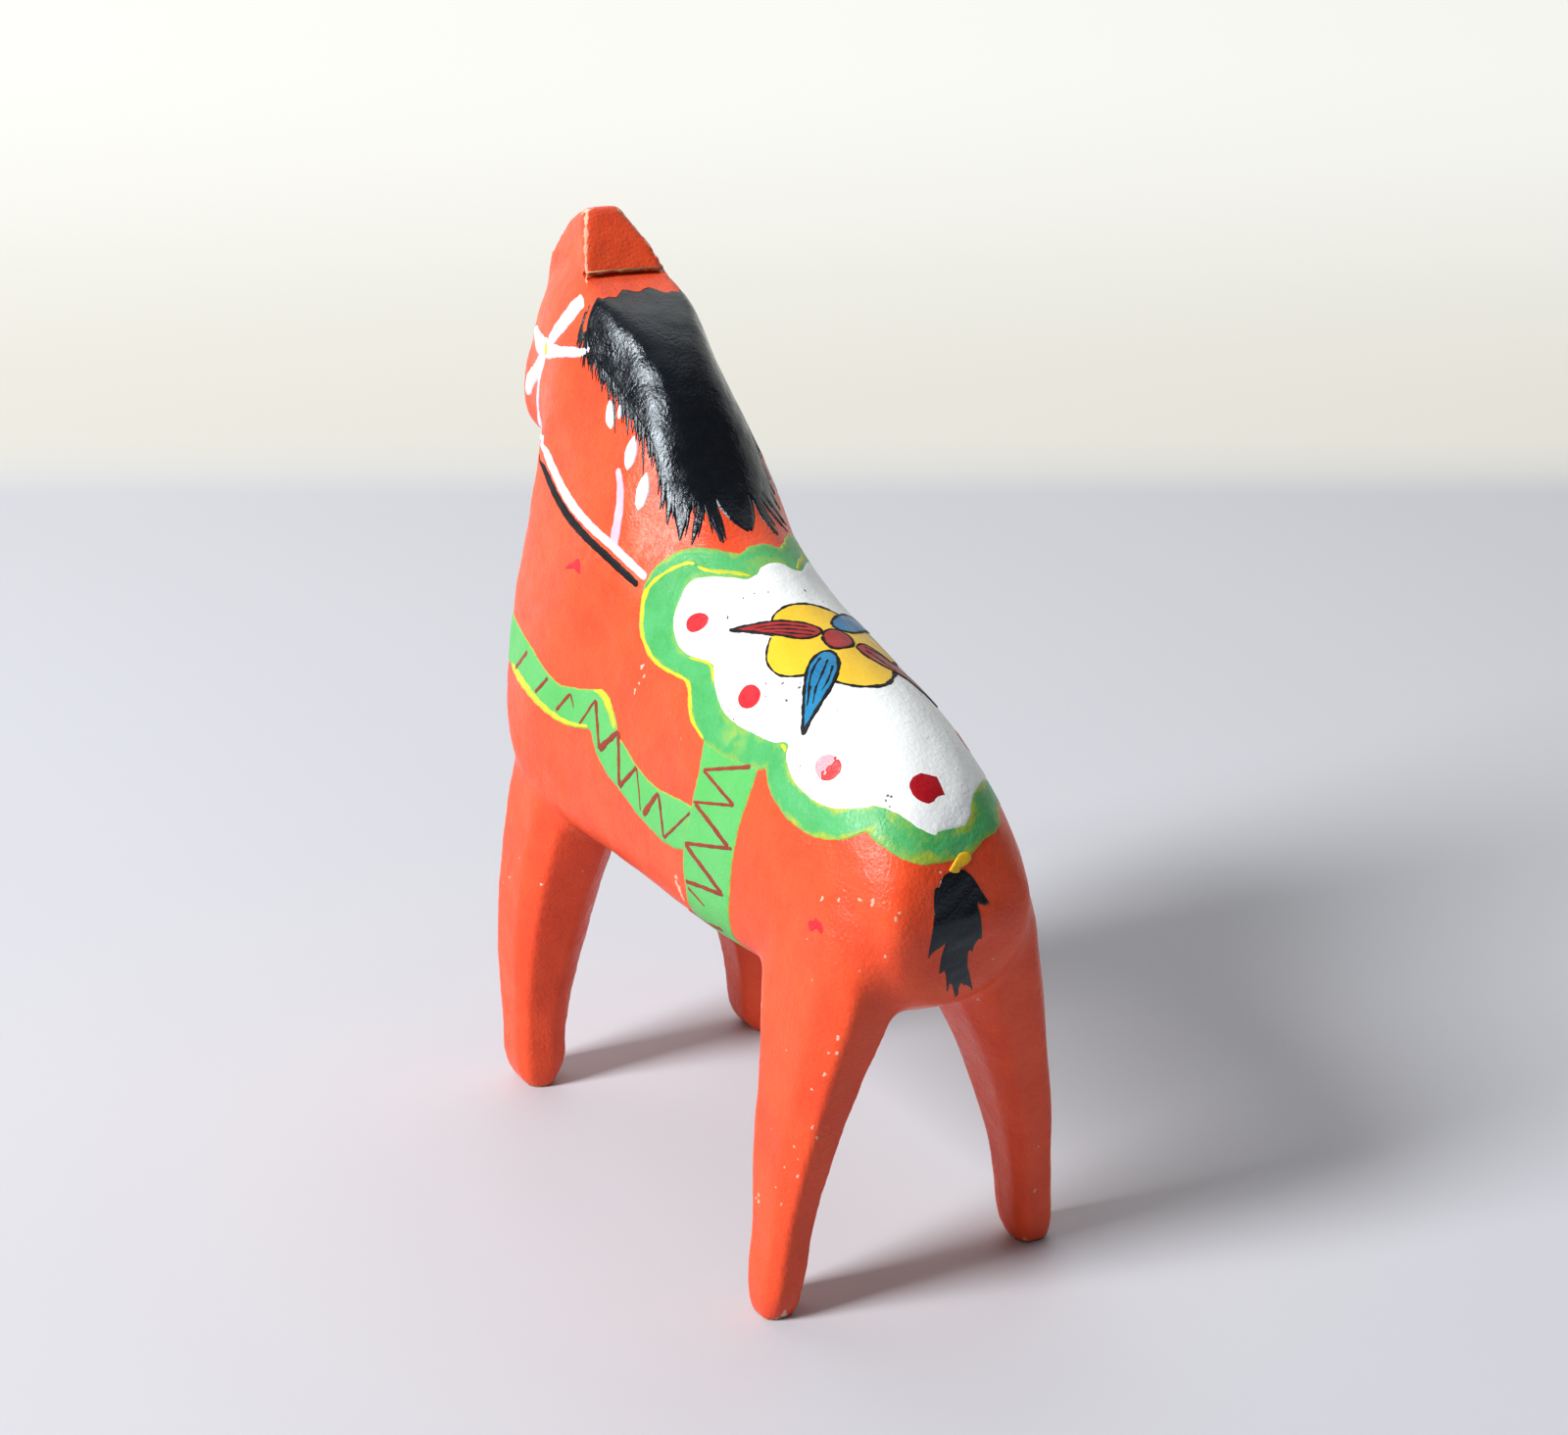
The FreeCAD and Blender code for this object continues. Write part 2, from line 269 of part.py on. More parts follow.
PETALS_RED = [[
    (8.9, 6.7), (8.6, 7.2), (7.0, 9.2), (5.4, 10.7), (3.8, 12.2), (2.5, 13.4), (1.5, 14.5), (0.7, 15.7),
    (0.7, 16.7), (1.3, 17.0), (2.4, 17.0), (3.7, 16.3), (4.8, 14.8), (6.0, 12.7), (7.2, 10.5), (8.7, 7.4)],
    [(-2.2, 20.4), (-3.4, 19.7), (-4.6, 20.2), (-5.7, 21.6), (-6.5, 23.0), (-7.3, 24.9), (-8.0, 26.9), (-8.9, 29.3),
     (-6.9, 27.4), (-5.2, 25.9), (-3.9, 25.0), (-3.0, 23.9), (-2.3, 22.7), (-2.0, 21.1)]]
PETALS_BLUE = [[
    (9.9, 28.2), (9.1, 27.8), (8.0, 27.5), (6.5, 27.0), (4.9, 26.2), (3.3, 24.9), (2.3, 23.7), (1.7, 22.2),
    (1.6, 21.1), (2.1, 20.4), (2.9, 20.2), (4.1, 20.5), (5.1, 21.1), (6.0, 21.9), (7.0, 23.4), (8.0, 25.0),
    (9.0, 26.6)],
    [(-1.4, 15.6), (-1.8, 14.7), (-3.0, 13.6), (-4.5, 12.4), (-6.4, 11.2), (-8.6, 10.1), (-10.6, 9.2),
     (-9.4, 11.2), (-8.2, 12.9), (-6.9, 14.5), (-5.4, 15.9), (-3.6, 17.0), (-2.2, 16.9), (-1.6, 16.4)]]

# Painted outlines on the rump, as (x, z) seen from behind
TAIL_KNOT = [
    (2.0, 61.9), (1.3, 62.7), (0.4, 63.5), (-0.5, 63.6), (-1.3, 63.1), (-1.1, 62.5), (-0.5, 62.1), (0.5, 61.8),
    (0.7, 61.3), (1.5, 61.4), (2.1, 61.8)]
TAIL_TASSEL = [
    (2.4, 61.5), (3.4, 60.8), (3.9, 59.4), (4.5, 58.1), (4.6, 57.2), (4.8, 55.2), (5.2, 53.3), (5.2, 51.4),
    (4.7, 51.9), (3.8, 52.4), (3.1, 52.9), (3.0, 51.8), (3.3, 50.3), (3.3, 48.6), (2.7, 48.9), (2.2, 47.4),
    (1.6, 45.8), (1.7, 46.8), (1.1, 46.4), (0.2, 44.6), (-0.4, 44.2), (0.0, 45.6), (-0.2, 46.4), (-0.9, 46.0),
    (-2.2, 45.0), (-1.0, 47.4), (-0.6, 49.2), (-0.5, 51.0), (-1.0, 51.0), (-1.4, 52.1), (-2.0, 52.6), (-1.7, 54.3),
    (-1.5, 56.0), (-1.5, 57.2), (-2.4, 56.7), (-3.1, 56.8), (-2.4, 58.2), (-1.8, 59.4), (-1.0, 60.7), (-0.1, 61.5)]


# ---------------------------------------------------------------------------
# Body of the horse, drawn "off" millimetres outside the finished ground coat
# ---------------------------------------------------------------------------
RING_N = 36
LEG_N = 20
FLAT_SOFT = 0.03


def closed_wire(points):
    """Closed smooth curve with the same spacing on every ring."""
    n = len(points)
    curve = Part.BSplineCurve()
    curve.interpolate(Points=points, PeriodicFlag=True, Parameters=[i / n for i in range(n + 1)])
    return Part.Wire(curve.toShape())


def trunk_ring(s, off, push):
    ty, tz, by, bz, w, v0, nt, nb, wf = s
    ax, az = ty - by, tz - bz
    h = math.hypot(ax, az)
    ax, az = ax / h, az / h
    ty, tz, by, bz = ty + ax * off + push, tz + az * off, by - ax * off + push, bz - az * off
    w += off
    top = 1.0
    if wf > 0:
        r = min(0.9, wf / w)
        top = v0 + (1.0 - v0) / ((1.0 - r ** nt) ** (1.0 / nt))
    pts = []
    for i in range(RING_N):
        a = 2.0 * math.pi * i / RING_N
        c, sn = math.cos(a), math.sin(a)
        if c >= 0:
            e, v = nt, v0 + (top - v0) * abs(c) ** (2.0 / nt)
        else:
            e, v = nb, v0 - (1.0 + v0) * abs(c) ** (2.0 / nb)
        if wf > 0:
            d = 1.0 - v
            v = 1.0 - 0.5 * (d + math.sqrt(d * d + FLAT_SOFT * FLAT_SOFT))
        u = w * math.copysign(abs(sn) ** (2.0 / e), sn) if abs(sn) > 1e-9 else 0.0
        k = (v + 1.0) / 2.0
        pts.append(Vec(u, by + (ty - by) * k, bz + (tz - bz) * k))
    return closed_wire(pts)


def trunk(off):
    n = len(TRUNK)
    wires = []
    for i, s in enumerate(TRUNK):
        push = 0.0
        if i < 5:
            push = off * (1.0, 0.95, 0.8, 0.5, 0.25)[i]
        if i > n - 5:
            push = -off * (1.0, 0.7, 0.5, 0.25)[n - 1 - i]
        wires.append(trunk_ring(s, off, push))
    return Part.makeLoft(wires, True, False)


def leg(table, off, side):
    wires = []
    for z, cx, cy, hx, hy, e in table:
        pts = []
        for i in range(LEG_N):
            a = 2.0 * math.pi * i / LEG_N
            c, sn = math.cos(a), math.sin(a)
            x = (hx + off) * (math.copysign(abs(c) ** (2.0 / e), c) if abs(c) > 1e-9 else 0.0)
            y = (hy + off) * (math.copysign(abs(sn) ** (2.0 / e), sn) if abs(sn) > 1e-9 else 0.0)
            pts.append(Vec(side * (cx + x), cy + y, z))
        wires.append(closed_wire(pts))
    return Part.makeLoft(wires, True, False)


def ears(off):
    rings = []
    last = len(EARS) - 1
    for i, (yb, zb, yf, zf, wb, wf) in enumerate(EARS):
        up = off if i == last else 0.0
        rings.append([Vec(wb + off, yb + off * 0.8, zb + up), Vec(wf + off, yf - off, zf + up),
                      Vec(-wf - off, yf - off, zf + up), Vec(-wb - off, yb + off * 0.8, zb + up)])
    return Part.makeLoft([Part.makePolygon(r + [r[0]]) for r in rings], True, True)


def kerf(grow):
    """Saw cut that carries on the line of the crest under the back of the ears."""
    d = Part.makeBox(30.0, KERF_DEPTH + 3.0 + grow, KERF_W + 2 * grow)
    d.translate(Vec(-15.0, -(KERF_DEPTH + grow), -(KERF_W / 2 + grow)))
    d.rotate(Vec(0, 0, 0), Vec(1, 0, 0), -20.0)
    d.translate(Vec(0, -40.0, 120.4))
    return d


def body(off, grow):
    t = trunk(off)
    parts = [ears(off)]
    for table in (HIND_LEG, FORE_LEG):
        for side in (1, -1):
            parts.append(leg(table, off, side))
    solid = t.multiFuse(parts)
    solid = solid.cut(kerf(grow))
    return solid


coat_outer = body(0.0, 0.0)
wood = body(-COAT_T, COAT_T)
film_outer = body(FILM_T, -FILM_T)
detail_outer = body(FILM_T + DETAIL_T, -FILM_T - DETAIL_T)

coat = coat_outer.cut(wood)
# one skin all round, with the seam of its two flanks running along the back
left_skin = coat.common(Part.makeBox(60, 200, 160, Vec(0, -100, -10)))
right_skin = coat.common(Part.makeBox(60, 200, 160, Vec(-60, -100, -10)))
coat = left_skin.fuse(right_skin)
film = film_outer.cut(coat_outer)
detail = detail_outer.cut(film_outer)


# ---------------------------------------------------------------------------
# Outlines as flat faces
# ---------------------------------------------------------------------------
def lift(p, plane):
    if plane == "yz":
        return Vec(0, p[0], p[1])
    if plane == "xz":
        return Vec(p[0], 0, p[1])
    return Vec(p[0], p[1], 0)


def poly_face(pts, plane):
    area = sum(a[0] * b[1] - b[0] * a[1] for a, b in zip(pts, pts[1:] + pts[:1]))
    if area < 0:
        pts = pts[::-1]
    v = [lift(p, plane) for p in pts]
    return Part.Face(Part.makePolygon(v + [v[0]]))


def ribbon(path, width, plane):
    left, right = [], []
    for i, p in enumerate(path):
        a, b = path[max(0, i - 1)], path[min(len(path) - 1, i + 1)]
        dx, dy = b[0] - a[0], b[1] - a[1]
        d = math.hypot(dx, dy)
        nx, ny = -dy / d * width / 2, dx / d * width / 2
        left.append((p[0] + nx, p[1] + ny))
        right.append((p[0] - nx, p[1] - ny))
    return poly_face(left + right[::-1], plane)


def union(faces):
    f = faces[0]
    if len(faces) > 1:
        f = f.multiFuse(faces[1:]).removeSplitter()
    return f


def prism(face, plane, side):
    """side 0: through both flanks, 1: left flank only."""
    if plane == "yz":
        if side == 0:
            s = face.extrude(Vec(60, 0, 0))
            s.translate(Vec(-30, 0, 0))
            return s
        return face.extrude(Vec(30, 0, 0))
    if plane == "xz":
        s = face.extrude(Vec(0, 30, 0))
        s.translate(Vec(0, 35, 0))
        return s
    s = face.extrude(Vec(0, 0, 45))
    s.translate(Vec(0, 0, 65))
    return s


def solids_of(shape, smallest=0.002):
    return [s for s in shape.Solids if s.Volume > smallest]


def mirrored(solids):
    return [s.mirror(Vec(0, 0, 0), Vec(1, 0, 0)) for s in solids]


done = []


def save(name, solids):
    if not solids:
        raise ValueError("empty node " + name)
    moved = []
    for s in solids:
        c = s.copy()
        c.translate(Vec(0, Y_SHIFT, 0))
        moved.append(c)
    shape = moved[0] if len(moved) == 1 else Part.makeCompound(moved)
    shape.exportStep("parts/%s.step" % name)
    b = shape.BoundBox
    done.append(name)
    print("%-18s %2d solids  vol %10.3f  x %.2f..%.2f  y %.2f..%.2f  z %.2f..%.2f  valid %s" % (
        name, len(moved), shape.Volume, b.XMin, b.XMax, b.YMin, b.YMax, b.ZMin, b.ZMax, shape.isValid()))


def paint(name, layer, face, plane="yz", side=0, mirror=False, merge=True):
    s = solids_of(layer.common(prism(face, plane, side)))
    if merge and len(s) > 1 and len(face.Faces) > 1:
        s = solids_of(s[0].multiFuse(s[1:]).removeSplitter())
    if mirror:
        s = s + mirrored(s)
    save(name, s)


save("wood_body", wood.Solids)
save("ground_coat", solids_of(coat))

# --- first layer on the ground coat -----------------------------------------
TOP = 150.0
field = poly_face([(0.7, TOP), (0.7, 89.2)] + SADDLE_FIELD + [(60.0, 65.7), (60.0, TOP)], "yz")
edge = poly_face([(-2.8, TOP), (-2.8, 91.2)] + SADDLE_EDGE + [(60.0, 62.8), (60.0, TOP)], "yz")
mane = poly_face(MANE_EDGE + [(-3.9, TOP), (-37.3, TOP)], "yz")
girth = poly_face(GIRTH_FRONT + [(9.6, 30.0), (20.4, 30.0)] + GIRTH_BACK + [(23.6, 72.0), (11.4, 72.0)], "yz")
breast = poly_face([(-80.0, 71.4)] + BREAST_TOP + [(14.0, 57.0)] + BREAST_BOTTOM + [(-80.0, 64.6)], "yz")
bridle = union([poly_face(p, "yz") for p in BRIDLE_STROKES]).cut(mane)
rein = union([poly_face(REIN_STROKE, "yz"), ribbon(REIN_CHEEK, REIN_WIDTH, "yz")]).cut(bridle)
shadow = poly_face(REIN_SHADOW, "yz").cut(rein)
neck_stroke = poly_face(NECK_STROKE, "yz").cut(rein)
drops = union([poly_face(p, "yz") for p in NECK_DROPS]).cut(mane)

paint("mane_black", film, mane)
paint("saddle_white", film, field)
paint("saddle_green", film, edge.cut(field))
paint("girth_green", film, girth.cut(edge))
paint("breast_green", film, breast.cut(girth).cut(edge))
paint("bridle_white", film, bridle, side=1, mirror=True)
paint("rein_white", film, rein, side=1, mirror=True)
paint("rein_black", film, shadow, side=1, mirror=True)
paint("neck_stroke", film, neck_stroke, side=1, mirror=True)
paint("neck_drops", film, drops, side=1, mirror=True)
paint("red_marks", film, union([poly_face(p, "yz") for p in MARKS]), side=1, mirror=True)
tassel = poly_face(TAIL_TASSEL, "xz")
knot = poly_face(TAIL_KNOT, "xz").cut(tassel)
paint("tail_tassel", film, tassel, plane="xz")
save("tail_knot", solids_of(film.common(prism(knot, "xz", 0)).cut(prism(edge, "yz", 0))))

# --- second layer on the first ----------------------------------------------

def grown(pts):
    return poly_face(pts, "xy").makeOffset2D(LINE_W)


red = union([poly_face(p, "xy") for p in PETALS_RED])
blue = union([poly_face(p, "xy") for p in PETALS_BLUE])
centre = poly_face(FLOWER_CENTRE, "xy")
flower = poly_face(FLOWER, "xy")
inner = union([red, blue, centre])
contour = union([grown(p) for p in PETALS_RED + PETALS_BLUE + [FLOWER_CENTRE]])
paint("petals_red", detail, red.cut(centre), plane="xy")
paint("petals_blue", detail, blue.cut(centre).cut(red), plane="xy")
paint("flower_centre", detail, centre, plane="xy")
paint("flower_yellow", detail, flower.cut(contour), plane="xy")
paint("flower_contour", detail, union([grown(FLOWER).cut(flower), contour]).cut(inner), plane="xy", merge=False)
paint("saddle_dots", detail, union([poly_face(p, "yz") for p in SADDLE_DOTS]), side=1, mirror=True)
green = union([edge.cut(field), girth.cut(edge), breast.cut(girth).cut(edge)])
paint("saddle_glaze", detail, union([poly_face(p, "yz") for p in SADDLE_GLAZE]).common(green), side=1, mirror=True)
zig = union([poly_face(p, "yz") for p in BREAST_ZIGZAG])
gzig = union([poly_face(p, "yz") for p in GIRTH_ZIGZAG])
paint("breast_zigzag", detail, zig.cut(gzig), side=1, mirror=True)
paint("girth_zigzag", detail, gzig.common(green), side=1, mirror=True)
paint("breast_glaze", detail, union([poly_face(p, "yz") for p in BREAST_GLAZE]).cut(zig).common(green), side=1, mirror=True)
paint("bridle_dot", detail, poly_face(BRIDLE_DOT, "yz").common(union([bridle, rein])), side=1, mirror=True)

b = coat.BoundBox
print("coat box", b.XMin, b.XMax, b.YMin, b.YMax, b.ZMin, b.ZMax, "shift for centre", -(b.YMin + b.YMax) / 2)
print(len(done), "nodes")
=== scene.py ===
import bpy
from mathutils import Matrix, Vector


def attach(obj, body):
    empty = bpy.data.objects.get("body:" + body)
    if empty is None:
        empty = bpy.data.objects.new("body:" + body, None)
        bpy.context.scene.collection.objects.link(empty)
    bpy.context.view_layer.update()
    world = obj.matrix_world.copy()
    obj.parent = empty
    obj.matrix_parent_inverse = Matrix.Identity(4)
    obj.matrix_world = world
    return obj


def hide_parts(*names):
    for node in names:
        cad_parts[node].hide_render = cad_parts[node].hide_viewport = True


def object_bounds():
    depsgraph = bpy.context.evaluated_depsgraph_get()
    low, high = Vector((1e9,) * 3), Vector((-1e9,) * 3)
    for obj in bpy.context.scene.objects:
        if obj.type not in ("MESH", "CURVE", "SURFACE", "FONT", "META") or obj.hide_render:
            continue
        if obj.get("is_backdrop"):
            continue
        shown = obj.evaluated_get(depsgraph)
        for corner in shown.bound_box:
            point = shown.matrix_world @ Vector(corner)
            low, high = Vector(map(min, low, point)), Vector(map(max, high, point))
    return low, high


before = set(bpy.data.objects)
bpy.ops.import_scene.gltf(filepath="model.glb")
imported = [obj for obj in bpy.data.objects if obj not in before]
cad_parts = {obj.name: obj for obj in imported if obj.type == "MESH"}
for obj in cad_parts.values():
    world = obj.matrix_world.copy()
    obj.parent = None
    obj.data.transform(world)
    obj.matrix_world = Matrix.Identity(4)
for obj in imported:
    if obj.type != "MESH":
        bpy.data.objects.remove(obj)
BOX_AFTER_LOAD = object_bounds()

import math
import random

import bmesh
import bpy
import numpy as np
from mathutils import Matrix, Vector
from mathutils.bvhtree import BVHTree

# A painted wooden horse.  All tables below are in millimetres in the part's
# own frame (+Z up, looks along -Y, left side +X); objects are made in metres.
MM = 0.001
SEED = 7
VOXEL = 0.00052
Y_SHIFT = 9.64

TRUNK = [
    (51.15, 56.00, 51.15, 53.00, 3.60, 0.00, 2.10, 2.10, 0.00),
    (50.75, 57.29, 50.75, 51.76, 7.00, 0.01, 2.10, 2.10, 0.00),
    (49.60, 62.57, 49.60, 46.33, 10.20, -0.02, 2.10, 2.10, 0.00),
    (47.20, 67.70, 47.60, 42.96, 11.45, -0.14, 2.10, 2.20, 0.00),
    (43.00, 72.12, 43.51, 40.99, 12.88, -0.26, 2.10, 2.40, 0.00),
    (37.00, 75.82, 37.51, 40.04, 14.66, -0.33, 2.00, 2.60, 0.00),
    (29.00, 78.99, 29.00, 39.64, 16.31, -0.36, 2.00, 2.70, 0.00),
    (19.99, 81.72, 17.89, 39.37, 17.51, -0.40, 2.00, 2.70, 0.00),
    (10.94, 84.66, 5.72, 39.26, 18.01, -0.43, 2.00, 2.70, 0.00),
    (2.79, 87.92, -6.48, 39.49, 18.10, -0.47, 2.00, 2.70, 0.00),
    (-4.00, 91.83, -18.72, 40.27, 18.72, -0.57, 2.00, 2.60, 1.00),
    (-9.42, 96.28, -31.00, 41.98, 19.73, -0.71, 2.00, 2.50, 2.50),
    (-13.53, 101.43, -42.19, 46.20, 20.45, -0.75, 2.00, 2.40, 3.10),
    (-17.70, 106.88, -50.59, 54.25, 18.21, -0.70, 2.00, 2.40, 3.00),
    (-22.85, 111.66, -54.73, 64.93, 15.38, -0.56, 2.00, 2.40, 3.60),
    (-27.91, 115.00, -54.78, 76.10, 13.08, -0.37, 2.10, 2.40, 4.80),
    (-33.05, 117.42, -52.90, 85.16, 11.90, -0.17, 2.20, 2.40, 6.20),
    (-39.17, 119.88, -53.26, 90.50, 10.40, -0.01, 2.40, 2.50, 6.60),
    (-47.88, 122.82, -56.36, 92.30, 8.60, 0.11, 2.40, 2.50, 4.00),
    (-55.45, 120.70, -59.98, 92.75, 7.00, 0.09, 2.40, 2.50, 2.50),
    (-62.00, 113.98, -64.04, 92.83, 5.60, 0.04, 2.40, 2.50, 2.00),
    (-67.02, 106.60, -67.53, 93.73, 4.79, -0.01, 2.40, 2.50, 1.50),
    (-70.43, 101.72, -69.92, 95.55, 3.37, -0.05, 2.40, 2.50, 0.50),
]
HIND_LEG = [
    (0.00, 19.77, 37.83, 2.39, 2.37, 2.80),
    (1.50, 19.53, 37.62, 2.76, 3.20, 3.00),
    (8.00, 18.79, 37.57, 3.06, 4.18, 3.20),
    (20.00, 17.08, 37.44, 3.69, 5.84, 3.20),
    (32.00, 14.09, 36.93, 4.92, 7.93, 3.00),
    (44.00, 10.51, 35.96, 6.62, 10.85, 2.60),
    (56.00, 7.51, 34.69, 6.97, 12.50, 2.40),
    (66.00, 5.02, 33.71, 5.95, 11.43, 2.20),
]
FORE_LEG = [
    (0.00, 19.64, -37.58, 2.04, 3.70, 2.80),
    (1.50, 19.50, -37.74, 3.13, 4.24, 3.00),
    (8.00, 19.28, -37.99, 4.14, 4.82, 3.20),
    (20.00, 18.07, -38.15, 5.43, 6.03, 3.20),
    (32.00, 15.93, -38.07, 6.60, 7.84, 3.00),
    (44.00, 12.86, -37.37, 7.76, 9.98, 2.60),
    (56.00, 9.64, -35.91, 8.01, 11.70, 2.40),
    (66.00, 6.35, -34.45, 6.63, 10.62, 2.20),
]
EARS = [
    (-38.8, 114.0, -57.0, 108.0, 6.8, 6.0),
    (-40.0, 120.2, -57.3, 117.5, 6.6, 5.4),
    (-43.8, 125.4, -57.0, 122.4, 4.9, 4.1),
    (-47.7, 130.0, -54.8, 127.4, 2.9, 2.2),
]
